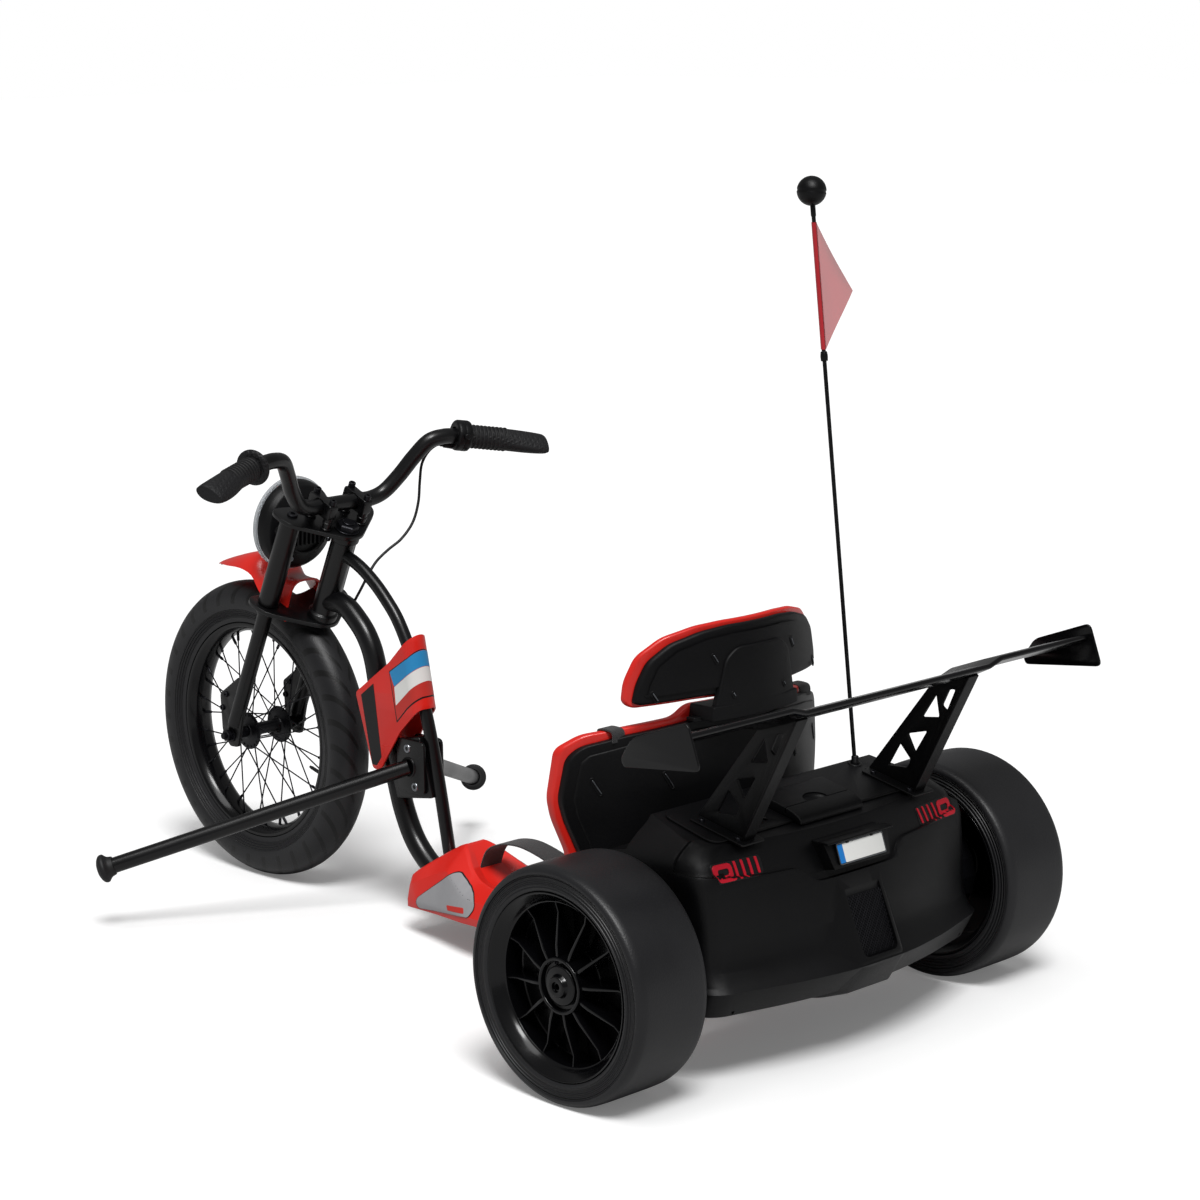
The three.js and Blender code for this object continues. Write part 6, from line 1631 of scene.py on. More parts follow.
def makeHeadrest():
    h = headrest
    rear, bow = h["rear"], h["bow"]
    shell = slabShape(bothSides(h["shellOutline"], h), h["shell"], seatCorner, 2.6, 4)
    shell = bowed(shell, rear + h["cover"] + 0.3, bow)
    piece = newObject("headrestShell", shell, "redPlastic")
    settle(piece, "chassis", ("headrest_shell",), angle=34)
    outline = bothSides(h["coverOutline"], h)
    body = bowed(slabShape(outline, h["cover"] - 3, seatCorner, 3.4, 5), rear, bow, 3)
    panel = bowed(slabShape(insetOutline(outline, 12), 5, seatCorner - 6, 1.8, 3), rear, bow)
    out = rear - h["neckOut"]
    raised = bowed(slabShape(bothSides(h["neckPanel"], h), 9, 9, 2.0, 3), out, bow)
    deep = seatBack["rear"] + seatBack["cover"] - out
    neck = bowed(slabShape(h["column"], deep, 2, 1.5, 3), out, seatBack["bow"])
    ledge = bowed(slabShape(h["ledge"], 14, 1.5, 0.9, 2), seatBack["rear"] - 9, seatBack["bow"])
    pieces = [newObject("headrestCover", merged(body, panel, raised, neck, ledge), "seatPlastic")]
    bosses, screws = seatSlots(seatScrews["head"], rear, bow)
    low, lowScrews = seatSlots(seatScrews["neck"], out, bow, 11.0)
    pieces.append(newObject("bosses", merged(*bosses, *low), "seatPlastic"))
    pieces.append(newObject("screws", merged(*screws, *lowScrews), "steel"))
    settle(joinedPieces("headrestCover", pieces), "chassis", ("headrest_cover",), angle=34)


seatPan = {
    "foot": 94.0, "floor": 4.0, "rim": 20.0, "wall": 4.0, "front": 399.7, "back": 84.0, "halfWidth": 168.0,
    "ribs": 5, "ribHalf": 3.0, "ribHeight": 4.0,
    # shares of the length and the half width
    "outline": [(1, 0.42), (0.97, 0.5), (0.68, 0.84), (0.28, 1), (0, 0.9)],
}


def makeSeatPan():
    p = seatPan
    length = p["front"] - p["back"]

    def outline(inset):
        half = [(p["back"] + x * length - inset * x, y * p["halfWidth"] - inset) for x, y in p["outline"]]
        return roundCorners(mirrored(half), seatCorner, 5)

    foot = p["foot"]
    middle = foot + p["rim"] / 2
    tray = moved(plateShape(outline(0), p["rim"], (), 2.0, 3), at(0, 0, middle))
    room = prism(outline(p["wall"]), p["rim"], "Z", middle + p["floor"])
    size = (p["wall"] * 16, p["halfWidth"] * 2 + 12, p["rim"])
    behind = boxShape(size, (p["back"], 0, middle + p["floor"]))
    shell = carved(tray, ("DIFFERENCE", room), ("DIFFERENCE", behind))
    parts = [newObject("seatPan", shell, "redPlastic")]
    step = length * 0.45 / (p["ribs"] - 1)
    rib = plateXZ(roundRect(-p["ribHalf"], p["ribHalf"], 0, p["ribHeight"], 1.8), p["halfWidth"], 0, (), 1.0)
    place = trikePlace @ at(p["back"] + length * 0.45, 0, foot + p["floor"] - 0.4)
    parts.append(repeated("panRibs", rib, "redPlastic", p["ribs"], place, step=(step, 0, 0), tree=inRow))
    settle(joinedPieces("seatPan", parts), "chassis", ("seat_pan",), angle=35)


belt = {
    "y": 168.0, "width": 20.0, "thickness": 2.4, "rear": 111.8, "front": 135.0, "top": 386.6, "drop": 150.0,
    "hook": 14.0, "slide": 96.0
}
arch = {
    "width": 38.0, "thickness": 2.4,
    "path": [
        (529, 98), (526.4, 109.7), (516, 129.5), (497, 141), (469.5, 147.4), (440.2, 147.1), (399.8, 138),
        (360.2, 122), (335, 103)
    ],
}


def strapShape(path, width, thickness, y=0.0):
    # flat webbing along a path in X and Z, with rounded selvedges
    rings = []
    edge = ((-1, -0.4), (-0.97, -1), (0.97, -1), (1, -0.4), (1, 0.4), (0.97, 1), (-0.97, 1), (-1, 0.4))
    points = [Vector((x, 0, z)) for x, z in path]
    for i, point in enumerate(points):
        ahead = (points[min(i + 1, len(points) - 1)] - points[max(i - 1, 0)]).normalized()
        up = Vector((-ahead.z, 0, ahead.x))
        ring = []
        for a, b in edge:
            ring.append(point + Vector((0, y + a * width / 2, 0)) + up * b * thickness / 2)
        rings.append(ring)
    return loftShape(rings)


def makeBelts():
    b = belt
    t = b["thickness"]
    rear, front, top = b["rear"], b["front"], b["top"]
    # down behind the back, over its top edge and down in front
    path = [
        (rear - t / 2, top + t - b["hook"]), (rear - t / 2, top - 3), (rear + 1, top + t * 0.5),
        (rear + 7, top + t * 1.1), (front - 5, top + t * 1.1), (front + 1, top + t * 0.2),
        (front + t / 2, top - 4), (front + t / 2, top - 30), (front + t / 2 + 0.6, top - 80),
        (front + t / 2, top + t - b["drop"]),
    ]
    smooth = [(p.x, p.y) for p in smoothPath([(x, z, 0) for x, z in path], 5)]
    buckle = plateShape(roundRect(-14, 14, -9, 9, 3), 3.2, [roundRect(-10.5, 10.5, -4, 4, 1, 2)], 0.7, 2)
    for sideName, side in leftAndRight:
        strap = strapShape(smooth, b["width"], t, side * b["y"])
        spot = at(front + t + 1.7, side * b["y"], top - b["slide"])
        pieces = [newObject("seatBelt_" + sideName, strap, "webbing")]
        pieces.append(newObject("beltSlide", moved(buckle, spot @ flatOnX), "blackPlastic"))
        piece = joinedPieces("seatBelt_" + sideName, pieces)
        settle(piece, "chassis", ("belt_" + sideName,), angle=50)
    smooth = [(p.x, p.y) for p in smoothPath([(x, z, 0) for x, z in arch["path"]], 6)]
    strap = newObject("beltArch", strapShape(smooth, arch["width"], arch["thickness"]), "webbing")
    settle(strap, "chassis", ("belt_arch",), angle=50)


makeSeatBack()
makeHeadrest()
makeSeatPan()
makeBelts()
print("seat and belts made")


# rear housing: moulded shell with a sloping deck, a sunk lamp band, a flared skirt and a centre block

housing = {
    "deckHeight": 300.5, "slope": 0.2, "depth": 170.0, "half": 246.0, "front": 56.0, "frontTop": 28.0,
    "round": 12.3, "wall": 3.0,
    # level, middle, corner, half width: shares of deck height, depth, depth and half width
    "rows": [
        (0.304, 0.84, 0.63, 0.976), (0.41, 0.985, 0.72, 1), (0.428, 0.955, 0.69, 0.988),
        (0.832, 0.68, 0.57, 1), (0.905, 0.62, 0.52, 0.976), (0.958, 0.56, 0.45, 0.902),
        (1.0, 0.49, 0.36, 0.825), (1.06, 0.4, 0.26, 0.77),
    ],
    "band": [
        (-262, 263), (-236, 258), (-150, 248), (-92, 246), (-72, 226), (72, 226), (92, 246), (150, 248),
        (236, 258), (262, 263), (262, 340), (-262, 340)
    ],
    "bandDepth": 5.5, "bandCorner": 12.0,
    "block": [(-94, 233), (-128, 214), (-167, 123), (-142, 83), (-116.5, 83)],
    "blockSteps": [(-47, 18), (-38, 0), (38, 0), (92, 19)],
    # dips of the hollow flank: share of the way up, how deep
    "hollow": [(0.05, 0.018), (0.13, 0.042), (0.24, 0.046), (0.4, 0.03), (0.58, 0.012)],
    "motorHole": 21.0, "axleHeight": 143.0,
    # boxes cut out, as size and centre: the spine's passage and the well under the lid
    "cuts": [((700, 47, 47), (350, 0, 62)), ((50, 94, 57), (-49, 0, 300))],
    "notch": (14, 4, 5), "notchX": -118.0, "notchZ": 95.0, "notchY": (-128, 128, -208, 208),
}
grille = {
    "half": 31.0, "low": 131.0, "high": 200.0, "pitch": 4.6, "wire": 0.55, "back": -157.6, "run": 25.0,
    # the recess's sloping back wall, in X and in heights above the low edge or the high one
    "wall": [(-124, 20), (-155, 0), (-155, -30), (0, -30), (0, 20)], "window": 14.0, "corner": 10.0,
}


def housingRing(level, middle, corner, half, offset):
    h = housing
    z = h["deckHeight"] * level
    r = h["round"]
    y = h["half"] * half + offset
    back = -h["depth"] * middle - offset
    edge = -h["depth"] * corner - offset
    front = (h["front"] if level < 0.9 else h["frontTop"]) + offset
    side = [
        (front, y, 1), (edge + 3 * r, y, 14), (edge + r, y - 0.4 * r, 14), (edge, y - 1.6 * r, 14),
        ((2 * back + edge) / 3, 0.52 * y, 30), (back, 0.2 * y, 30),
    ]
    return [(x, a, z) for x, a in roundCorners(mirrored(side), 1, 3)]


def housingRows():
    # the moulding's own lines: crisp at the skirt, hollow above it, softly rounded into the deck
    rows = [Vector(row) for row in housing["rows"]]
    hollow = [rows[2].lerp(rows[3], t) - Vector((0, dip, dip, 0)) for t, dip in housing["hollow"]]
    upper = smoothPath([rows[2].lerp(rows[3], 0.8), *rows[3:]], 4)
    return [tuple(row) for row in rows[:3] + hollow + upper]


def housingSkin(offset, low=0.0):
    rings = [housingRing(*row, offset) for row in housingRows()]
    if low:
        rings.insert(0, [(x, y, z - low) for x, y, z in rings[0]])
    return loftShape(rings)


def aboveDeck(lift):
    # everything over the sloping plane of the deck
    z = housing["deckHeight"] + lift
    far = 510
    rise = far * housing["slope"]
    return prism([(-far, z - rise), (far, z + rise), (far, z + far + 100), (-far, z + far)], 900, "Y")


def makeHousing():
    h = housing
    outer = softened(carved(housingSkin(0), ("DIFFERENCE", aboveDeck(0))), 3.2, 17, 3)
    behind = prism(roundCorners(h["band"], h["bandCorner"], 4), 140, "X", -120)
    band = carved(behind, ("DIFFERENCE", housingSkin(-h["bandDepth"], 30)))
    block = loftShape([[(x + sink, y, z) for x, z in h["block"]] for y, sink in h["blockSteps"]])
    block = softened(block, 5.0, 18, 4)
    room = carved(housingSkin(-h["wall"] - h["bandDepth"], h["depth"]), ("DIFFERENCE", aboveDeck(-h["wall"])))
    g = grille
    window = roundRect(-g["half"], g["half"], g["low"], g["high"] + g["window"], g["corner"], 5)
    backing = prism([(x, (g["high"] if z > 0 else g["low"]) + z) for x, z in g["wall"]], 120, "Y")
    recess = carved(prism(window, 90, "X", -175), ("DIFFERENCE", backing))
    outer = softened(carved(outer, ("DIFFERENCE", band)), 2.2, 40, 3)
    cutters = [recess, room]
    for side in (1, -1):
        inner, outside = [(0, side * (h["half"] + reach), h["axleHeight"]) for reach in (-30, 30)]
        cutters.append(rodShape(inner, outside, h["motorHole"], 40))
    cutters += [boxShape(size, centre) for size, centre in h["cuts"]]
    cutters += [boxShape(h["notch"], (h["notchX"], y, h["notchZ"])) for y in h["notchY"]]
    shell = carved(outer, ("UNION", block), *[("DIFFERENCE", cutter) for cutter in cutters])
    pieces = [newObject("rearHousing", shell, "blackPlastic"), makeGrille()]
    settle(joinedPieces("rearHousing", pieces), "chassis", ("rear_housing",), angle=30)
    return shell


def makeGrille():
    # crossed wires in the centre block's window, one run each way
    g = grille
    run = g["high"] - g["low"]
    width = g["half"] * 2
    wires = []
    low = Vector((g["back"], 0, g["low"]))
    up = Vector((g["run"], 0, run))
    for turn in (1, -1):
        start = -run
        while start < width:
            a = max(0.0, start)
            b = min(width, start + run)
            if b - a > 3:
                shares = (((a - start) / run, a), ((b - start) / run, b))
                ends = [low + up * s + Vector((0, turn * (y - g["half"]), 0)) for s, y in shares]
                wires.append(rodShape(*ends, g["wire"], 6))
            start += g["pitch"]
    return newObject("grilleWires", merged(*wires), "blackSteel")


deck = {
    "thickness": 3.0, "back": -72.0, "front": 20.0, "corner": 18.0, "halfBack": 196.8, "halfFront": 189.9,
    # how far forward the notch for the lid reaches, its half width, and a round hole beside it
    "notchFront": -13.7, "notchHalf": 57.3, "hole": (-52, 88, 4.6),
}
hatch = {
    "half": 57.0, "back": -84.0, "front": -14.0, "lift": 15.0, "seam": 24.0, "seamWidth": 1.3,
    "scoopWide": 19.0, "scoopDeep": 6.5, "scoopLong": 15.0,
    # along and up, in shares of the length and the lift
    "profile": [
        (0, 0), (0, 0.42), (0.06, 0.66), (0.2, 0.86), (0.45, 0.96), (0.75, 1.0), (0.95, 1.02), (1, 0.85),
        (1, 0)
    ],
}
flag = {
    "foot": (11.0, -151.0, 304.1), "top": (84.0, -151.0, 1011.5), "radius": 2.6, "socket": 7.0,
    "ball": 18.5, "ballSeam": 0.9, "ballTurn": 0.12, "rise": 6.5,
    "pennantTop": 0.955, "pennantLow": 0.735, "pennantOut": 44.0,
    # profiles turned about the pole: the collar at its foot, the clip under the cloth, the ball's neck
    "collar": [(0, 0), (4.9, 0), (5.5, 0.6), (5.5, 5), (4.7, 6), (4.7, 11), (3.9, 12), (0, 12)],
    "clip": [(2.4, -6, 0.3), (4.4, -6, 0.8), (4.8, 0, 0.6), (4.0, 6, 0.8), (2.4, 6, 0.3)],
    "neck": [(0, -14), (2.8, -14), (3.3, -13), (3.3, -1), (2.6, 1), (0, 1)],
}


def onDeck(shape, lift=0.0):
    # leans a flat shape in XY onto the sloping deck
    h = housing
    return [Vector((v.x, v.y, v.z + h["deckHeight"] + lift + v.x * h["slope"])) for v in shape[0]], shape[1]


def makeDeck():
    d = deck
    front, half = d["notchFront"], d["notchHalf"]
    footX, footY = flag["foot"][:2]
    socket = flag["socket"]
    corners = [
        (d["back"], -d["halfBack"], d["corner"]), (d["back"], -half - 7, 3), (front, -half - 2, 4),
        (front, half, 4), (d["back"], half, 0.5), (d["back"], d["halfBack"], d["corner"]),
        (d["front"], d["halfFront"], d["corner"]), (d["front"], -d["halfFront"], d["corner"]),
    ]
    holes = [circle2d(footX, footY, socket, 28), circle2d(*d["hole"], 20)]
    plate = plateShape(roundCorners(corners, 4, 5), d["thickness"], holes, 0.9, 3)
    piece = newObject("deckPanel", onDeck(plate, d["thickness"] / 2 + 0.3), "blackPlastic")
    collar = [
        (socket - 1.2, 0.4, 0.3), (socket + 3, 0.4, 0.5), (socket + 2.4, 4.2, 1), (socket - 1.2, 4.2, 0.5)
    ]
    ring = moved(spunShape(roundCorners(collar, 0.5, 3), 36), at(footX, footY, 0) @ flatOnY)
    pieces = [piece, newObject("poleRing", onDeck(ring, 0.3), "blackPlastic")]
    settle(joinedPieces("deckPanel", pieces), "chassis", ("deck_panel",), angle=32)


def makeHatch():
    h = hatch
    slope = housing["slope"]

    def plane(x):
        return housing["deckHeight"] + x * slope + 0.3

    back, front, lift = h["back"], h["front"], h["lift"]
    places = [(back + (front - back) * along, up) for along, up in h["profile"]]
    side = [(x, plane(x) + lift * up) for x, up in places]
    lid = softened(prism(side, h["half"] * 2, "Y"), 2.2, 24, 3)
    seamX = back + h["seam"]
    wide = h["scoopWide"]
    angles = [math.radians(-80 + 10 * k) for k in range(17)]
    arc = [(0, -wide)] + [(math.cos(a), wide * math.sin(a)) for a in angles] + [(0, wide)]
    spot = at(seamX + 3, 0, plane(seamX) + lift * 0.93) @ Matrix.Rotation(-0.2, 4, "Y")
    stretch = Matrix.Diagonal((h["scoopLong"], 1, h["scoopDeep"], 1))
    scoop = moved(spunShape(arc, 40, closed=False), spot @ stretch)
    scoop = carved(scoop, ("INTERSECT", boxShape((60, 90, 60), (seamX + 30.7, 0, plane(seamX) + lift))))
    low, high, far = plane(back) + 11.5, plane(back) + 30, seamX + h["seamWidth"]
    seam = prism([(seamX, high), (seamX, low), (far, low), (far, high)], 130, "Y")
    lid = carved(lid, ("DIFFERENCE", scoop), ("DIFFERENCE", seam))
    settle(newObject("hatchLid", lid, "blackPlastic"), "hatch", ("hatch_lid",), angle=26)


plateBox = {
    "half": 58.0, "low": 230.0, "high": 270.0, "back": 128.0, "lean": 8.0,
    "plateHalf": 42.0, "plateHeight": 26.0, "tilt": 0.33, "clipY": 22, "band": 10.5, "border": 1.6,
    "lip": [(-129, 271), (-129.5, 268.4), (-112, 268.4), (-112, 271)],
}


def makePlate():
    b = plateBox
    half, low, high, back, lean = b["half"], b["low"], b["high"], b["back"], b["lean"]
    side = [(-back / 2, high), (-back + lean, high), (-back - lean / 2, low + lean), (-back / 2, low - lean)]
    foot = half * 0.8
    front = [(-half, high + 1), (half, high + 1), (foot, low - lean), (-foot, low - lean)]
    front = prism(roundCorners(front, 4, 3), back * 3, "X")
    body = softened(carved(prism(side, half * 2, "Y"), ("INTERSECT", front)), 2.4, 24, 3)
    body = carved(body, ("DIFFERENCE", housingSkin(-housing["bandDepth"], housing["half"])))
    pieces = [newObject("plateHolder", body, "blackPlastic")]
    lip = prism(roundCorners(b["lip"], 1, 2), half * 2 + 3, "Y")
    pieces.append(newObject("plateLip", softened(lip, 0.8, 30, 2), "blackPlastic"))
    spot = at(-back - 0.6, 0, (low + high + lean) / 2) @ Matrix.Rotation(b["tilt"], 4, "Y")
    w, t, edge, split = b["plateHalf"], b["plateHeight"] / 2, b["border"], b["plateHalf"] - b["band"]

    def layer(outline, thickness, out, look, holes=()):
        shape = moved(plateShape(outline, thickness, holes, 0.15, 1), spot @ at(-out, 0, 0) @ flatOnX)
        pieces.append(newObject("plateLayer", shape, look))

    layer(roundRect(-w, w, -t, t, 2.5), 1.6, 0.2, "blackSticker")
    layer(roundRect(-w, w, -t, t, 2.5), 0.8, 1.2, "steel", [roundRect(-w + 1, w - 1, -t + 1, t - 1, 2)])
    layer(roundRect(-w + edge, split, -t + edge, t - edge, 1.6), 0.6, 1.1, "whiteSticker")
    layer(roundRect(split, w - edge, -t + edge, t - edge, 1.2), 0.6, 1.1, "plateBlue")
    for y in (-b["clipY"], b["clipY"]):
        layer(roundRect(y - 2.6, y + 2.6, t - 2.4, t + 0.6, 1), 1.2, 1.4, "blackSticker")
    settle(joinedPieces("plateHolder", pieces), "chassis", ("plate_holder",), angle=32)


rearLamp = {
    "low": 249.5, "high": 268.5, "inner": 144.0, "outer": 215.0, "loop": 28.0, "bar": 3.6, "rim": 5.4,
    "bars": 4, "slant": {"left": 0.4, "right": -3.6},
}


def makeLamps(shell):
    # every part of a lamp is pressed from behind onto the sunk band of the housing's shell
    def onBand(outline, lift, thickness, holes=()):
        flat = moved(plateShape(outline, thickness, holes, 0.4, 2), flatOnX)
        return laidOn(gridded(flat, (1, 2), 4), shell, (1, 0, 0), lift)

    r = rearLamp
    for sideName, side in leftAndRight:
        low, high, bar, slant = r["low"], r["high"], r["bar"], r["slant"][sideName]

        def outline(a, b, c, d, radius, lean=0.0):
            points = [(side * a, c), (side * b, c), (side * (b + lean), d), (side * (a + lean), d)]
            return roundCorners(points, radius, 4)

        start = r["outer"] - r["loop"]
        ring = outline(start, r["outer"], low, high - 0.5, 6)
        hole = outline(start + r["rim"], r["outer"] - r["rim"] - 1, low + 5.6, high - 6, 3)
        parts = [onBand(ring, 1.0, 1.6, [hole])]
        for k in range(r["bars"]):
            y = r["inner"] + (k + 0.3) * (start - r["inner"]) / r["bars"]
            parts.append(onBand(outline(y, y + bar, low + 0.4, high - 0.2, 1.2, slant), 1.0, 1.5))
        base = onBand(outline(r["inner"] - 2, r["outer"] + 1, low - 1.4, high + 1, 5), 0.2, 0.9)
        pieces = [newObject("rearLamp_" + sideName, merged(*parts), "redLens")]
        pieces.append(newObject("lampBase", base, "blackSticker"))
        piece = joinedPieces("rearLamp_" + sideName, pieces)
        settle(piece, "chassis", ("lamp_" + sideName,), angle=34)


housingShell = makeHousing()
makeDeck()
makeHatch()
makePlate()
makeLamps(housingShell)
print("housing, deck, plate and lamps made")


# wing: blade with a lowered middle, end plates, cut-out struts

wing = {
    "chord": 88.0, "thickness": 10.0, "rise": 0.344, "rear": (-190.0, 468.0), "half": 360.0, "drop": 6.5,
    "kink": (166.0, 188.0), "plateThickness": 3.0,
    "section": [(0, 0), (0.35, 0.12), (0.96, 0), (1, -0.5), (0.94, -1), (0.4, -1), (0, -0.6)],
    "endPlate": [(-89, 424.6), (-106, 450), (-192, 482), (-211, 429), (-93, 415)], "endCorner": 9.0,
}
strut = {
    "y": 155.0, "web": 4.0, "flange": 20.0, "flangeThickness": 3.0, "length": 164.0, "foot": 290.0,
    "height": 150.0, "footPlate": (-98, -12, 20), "boltX": (-84, -26), "boltY": (-12, 12),
    "outline": [(-0.055, 0.088), (-0.537, -0.018), (-1.055, 1.04), (-0.652, 0.895)],
    "windows": [
        [(-0.713, 0.833), (-0.579, 0.617), (-0.744, 0.643)],
        [(-0.895, 0.9), (-0.815, 0.71), (-0.768, 0.745), (-0.835, 0.89)],
        [(-0.439, 0.453), (-0.628, 0.507), (-0.512, 0.307)],
        [(-0.366, 0.36), (-0.47, 0.24), (-0.439, 0.165), (-0.25, 0.15)],
    ],
}


def makeWing():
    w = wing
    along = Vector((1, -w["rise"])).normalized()
    up = Vector((w["rise"], 1)).normalized()
    section = []
    for share, level in w["section"]:
        p = Vector(w["rear"]) + along * share * w["chord"] + up * level * w["thickness"]
        section.append((p.x, p.y))
    section = roundCorners(section, 2.2, 3)
    near, far = w["kink"]
    half = w["half"]
    levels = [(near - 1.5, 1.0), (near + 1.5, 0.93), (far - 1.5, 0.07), (far + 1.5, 0.0), (half, 0.0)]
    stations = [(-y, d) for y, d in reversed(levels)] + levels
    blade = loftShape([[(x, y, z - w["drop"] * d) for x, z in section] for y, d in stations])
    settle(newObject("wingBlade", blade, "glossBlack"), "chassis", ("wing_blade",), angle=34)
    for sideName, side in leftAndRight:
        y = side * (half + 0.3 + w["plateThickness"] / 2)
        plate = plateXZ(roundCorners(w["endPlate"], w["endCorner"], 5), w["plateThickness"], y, (), 0.9)
        piece = newObject("endPlate_" + sideName, plate, "glossBlack")
        settle(piece, "chassis", ("wing_plate_" + sideName,))


def onStrut(shares):
    s = strut
    return [(x * s["length"], s["foot"] + z * s["height"]) for x, z in shares]


def makeStruts():
    s = strut
    for sideName, side in leftAndRight:
        y = side * s["y"]
        windows = [roundCorners(onStrut(window), 3, 3) for window in s["windows"]]
        parts = [plateXZ(roundCorners(onStrut(s["outline"]), 3, 4), s["web"], y, windows, 0.8)]
        front, rear, rearTop = onStrut(s["outline"])[:3]
        half = s["flange"] / 2
        for one, two in ((rear, rearTop), (front, rear)):
            run = Vector((two[0] - one[0], two[1] - one[1]))
            reach = run.length / 2
            flange = plateShape(roundRect(-reach, reach, -half, half, 2), s["flangeThickness"], (), 0.9, 3)
            turn = Matrix.Rotation(-math.atan2(run.y, run.x), 4, "Y")
            parts.append(moved(flange, at((one[0] + two[0]) / 2, y, (one[1] + two[1]) / 2) @ turn))
        footBack, footFront, footHalf = s["footPlate"]
        outline = roundRect(footBack, footFront, y - footHalf, y + footHalf, 4, 4)
        parts.append(onDeck(plateShape(outline, 2.6, (), 0.8, 3), deck["thickness"] + 1.8))
        screw = socketScrewShape(3.6, 3.4, 1.9)
        spots = [at(x, y + dy, 0) for x in s["boltX"] for dy in s["boltY"]]
        bolts = [onDeck(moved(screw, spot), deck["thickness"] + 3.1) for spot in spots]
        pieces = [newObject("wingStrut_" + sideName, merged(*parts), "blackPlastic")]
        pieces.append(newObject("strutBolts", merged(*bolts), "blackSteel"))
        piece = joinedPieces("wingStrut_" + sideName, pieces)
        settle(piece, "chassis", ("wing_strut_" + sideName,))


makeWing()
makeStruts()
print("wing made")


# flag: leaning rod, ball with its moulding seam, thin pennant on a sleeve

def flagSpot(share):
    return Vector(flag["foot"]).lerp(Vector(flag["top"]), share)


def makeFlag():
    f = flag
    foot = Vector(f["foot"])
    aim = (flagSpot(1) - foot).normalized()
    alongPole = turnTo((0, 1, 0), aim)
    pole = tubeShape([flagSpot(k / 12) for k in range(13)], f["radius"], 16)
    collar = moved(spunShape(f["collar"], 28, closed=False), Matrix.Translation(foot) @ flatOnY)
    pieces = [newObject("flagPole", merged(pole, collar), "blackPlastic")]
    clip = spunShape(roundCorners(f["clip"], 0.6, 3), 24)
    place = Matrix.Translation(flagSpot(f["pennantLow"] - 0.012)) @ alongPole
    pieces.append(newObject("poleClip", moved(clip, place), "blackPlastic"))
    ballSpot = Vector(f["top"]) + aim * f["rise"]
    top = Matrix.Translation(ballSpot - aim * (f["ball"] - 1)) @ alongPole
    neck = moved(spunShape(f["neck"], 20, closed=False), top)
    pieces.append(newObject("poleNeck", neck, "blackPlastic"))
    settle(joinedPieces("flagPole", pieces), "chassis", ("flag_pole",), angle=50)
    profile = [(0, -f["ball"])]
    for k in range(1, 32):
        angle = -math.pi / 2 + math.pi * k / 32
        reach = f["ball"] - (f["ballSeam"] if k == 16 else 0.0)
        profile.append((reach * math.cos(angle), reach * math.sin(angle)))
    profile.append((0, f["ball"]))
    turn = Matrix.Translation(ballSpot) @ flatOnY @ Matrix.Rotation(f["ballTurn"], 4, "X")
    ball = newObject("flagBall", moved(spunShape(profile, 56, closed=False), turn), "blackPlastic")
    settle(ball, "chassis", ("flag_ball",), angle=60)


pennant = {"columns": 14, "rows": 26, "sleeve": 3.4, "ripple": 3.2}


def makePennant():
    f = flag
    p = pennant
    high = flagSpot(f["pennantTop"])
    low = flagSpot(f["pennantLow"])
    bm = bmesh.new()
    grid = []
    # the hem: a fold of cloth round the pole, then the flat triangle behind it
    angles = [math.radians(172 - 346 * k / 13) for k in range(14)]
    fold = [(p["sleeve"] * math.cos(a), p["sleeve"] * math.sin(a)) for a in angles]
    for j in range(p["rows"] + 1):
        share = j / p["rows"]
        spot = low.lerp(high, share)
        width = f["pennantOut"] * 1.12 * (1 - abs(2 * share - 1)) + 0.6
        row = [Vector((spot.x + a, spot.y + b, spot.z)) for a, b in fold]
        for k in range(1, p["columns"] + 1):
            t = k / p["columns"]
            sway = p["ripple"] * math.sin(2.6 * t + 5.2 * share) * t * width / f["pennantOut"]
            back = spot.x - p["sleeve"] - width * t * 0.985
            aside = spot.y - p["sleeve"] * 0.1 * (1 - t) + sway
            row.append(Vector((back, aside, spot.z - 2.5 * t * width / f["pennantOut"])))
        grid.append([bm.verts.new(trikePlace @ v) for v in row])
    for one, two in zip(grid, grid[1:]):
        for a in range(len(one) - 1):
            bm.faces.new((one[a], one[a + 1], two[a + 1], two[a]))
    mesh = bpy.data.meshes.new("pennant")
    bm.to_mesh(mesh)
    bm.free()
    mesh.materials.append(finish["flagCloth"])
    piece = addObject("pennant", mesh)
    settle(piece, "chassis", ("flag_pennant",), angle=60)


makeFlag()
makePennant()
print("flag made")


# finishes for the CAD nodes that stay as they are

keptNodes = {
    "rear_frame": "blackPaint", "rear_axle": "steel", "motor_left": "hubAlloy", "motor_right": "hubAlloy",
    "battery": "battery",
}
for nodeName, look in keptNodes.items():
    mesh = cadNodes[nodeName].data
    mesh.materials.clear()
    mesh.materials.append(finish[look])


# floor, light and finish

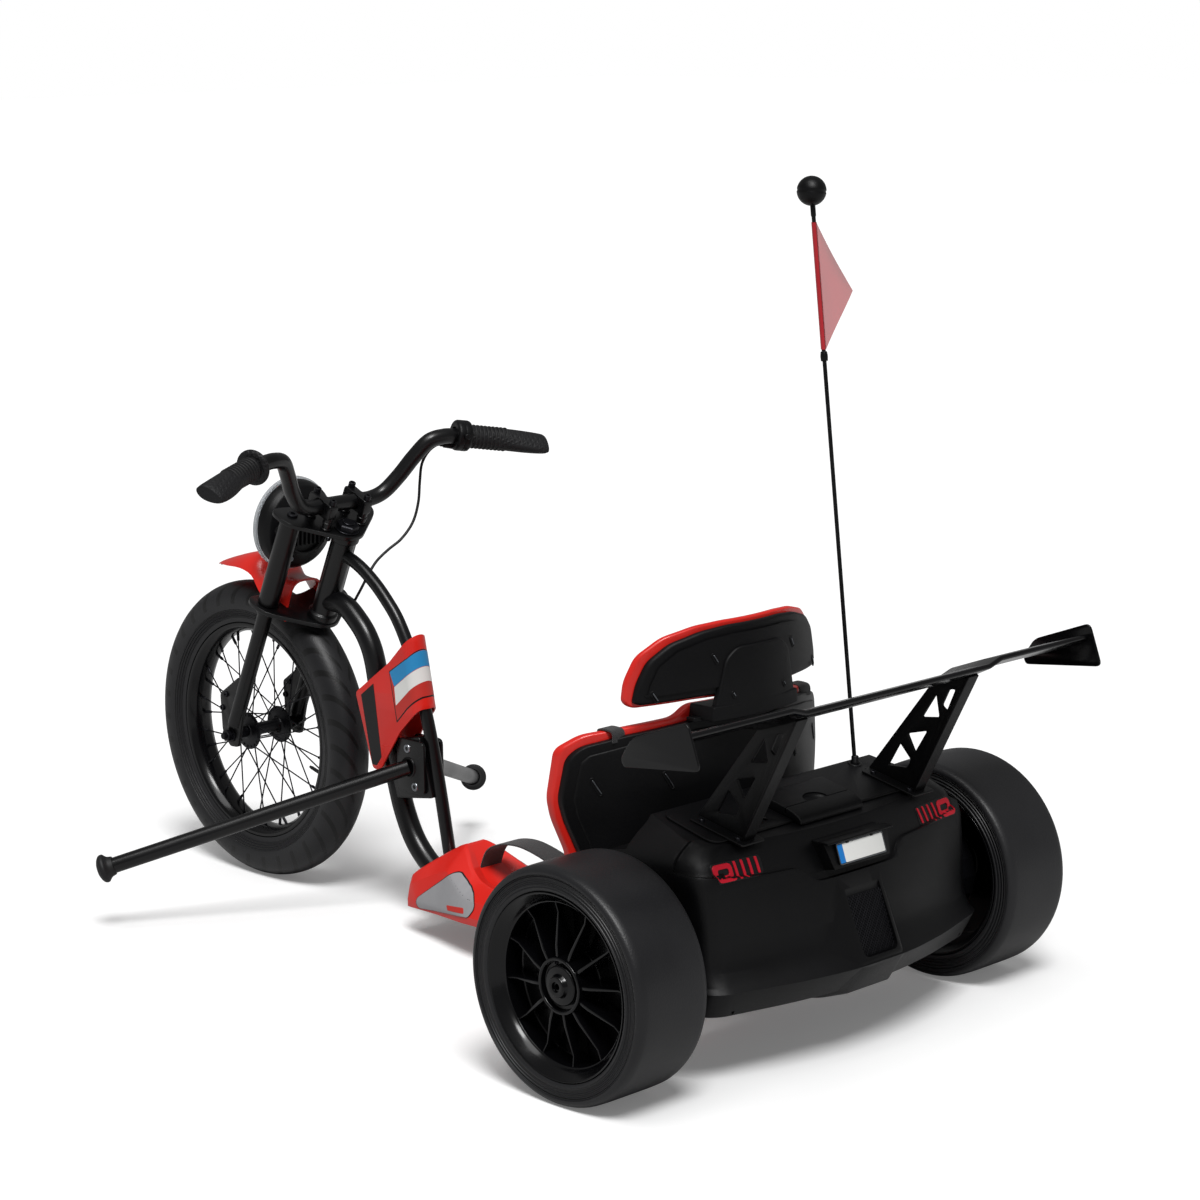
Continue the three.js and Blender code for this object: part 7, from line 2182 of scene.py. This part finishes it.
def makeStage():
    # pale to the eye with an even soft shadow, darker to every other ray, so black paint mirrors less of it
    material, tree, shader = surface("paleFloor", "f6f6f6", "f4f4f4", 0.9, 0.0, 0.1, 50, 0.0)[:3]
    dim = addNode(tree, "ShaderNodeBsdfDiffuse", {"Color": linear("bcbcbc")})
    path = addNode(tree, "ShaderNodeLightPath")
    glow = addNode(tree, "ShaderNodeEmission", {"Color": (1, 1, 1, 1), "Strength": 0.14})
    both = addNode(tree, "ShaderNodeAddShader", {0: shader.outputs[0], 1: glow.outputs[0]})
    seen = path.outputs["Is Camera Ray"]
    mix = addNode(tree, "ShaderNodeMixShader", {0: seen, 1: dim.outputs[0], 2: both.outputs[0]})
    tree.links.new(mix.outputs[0], tree.nodes["Material Output"].inputs["Surface"])
    floor = newObject("floor", boxShape((60000, 60000, 20), (0, 0, -10.2)), material, Matrix.Scale(mm, 4))
    world = bpy.data.worlds.new("softStudio")
    world.use_nodes = True
    bpy.context.scene.world = world
    tree = world.node_tree
    path = addNode(tree, "ShaderNodeLightPath")
    white = addMath(tree, "MAXIMUM", path.outputs["Is Camera Ray"], path.outputs["Is Transmission Ray"])
    soft = tree.nodes["Background"]
    soft.inputs["Color"].default_value = (1, 1, 1, 1)
    soft.inputs["Strength"].default_value = 0.22
    plain = addNode(tree, "ShaderNodeBackground", {"Color": (1, 1, 1, 1), "Strength": 1.0})
    mix = addNode(tree, "ShaderNodeMixShader", {0: white, 1: soft.outputs[0], 2: plain.outputs[0]})
    tree.links.new(mix.outputs[0], tree.nodes["World Output"].inputs["Surface"])


def addSun(name, energy, spot, angle):
    # shines from the spot towards the origin; a wide angle keeps its shadow soft
    data = bpy.data.lights.new(name, "SUN")
    data.energy = energy
    data.angle = math.radians(angle)
    turn = Vector(spot).to_track_quat("Z", "Y").to_matrix().to_4x4()
    addObject(name, data).matrix_world = Matrix.Translation(spot) @ turn


makeStage()
addSun("skyPanel", 2.35, (-1.5, 1.1, 2.8), 20)
addSun("sideSun", 0.8, (-0.4, 1.2, 3.4), 30)
bpy.context.scene.view_settings.view_transform = "Standard"
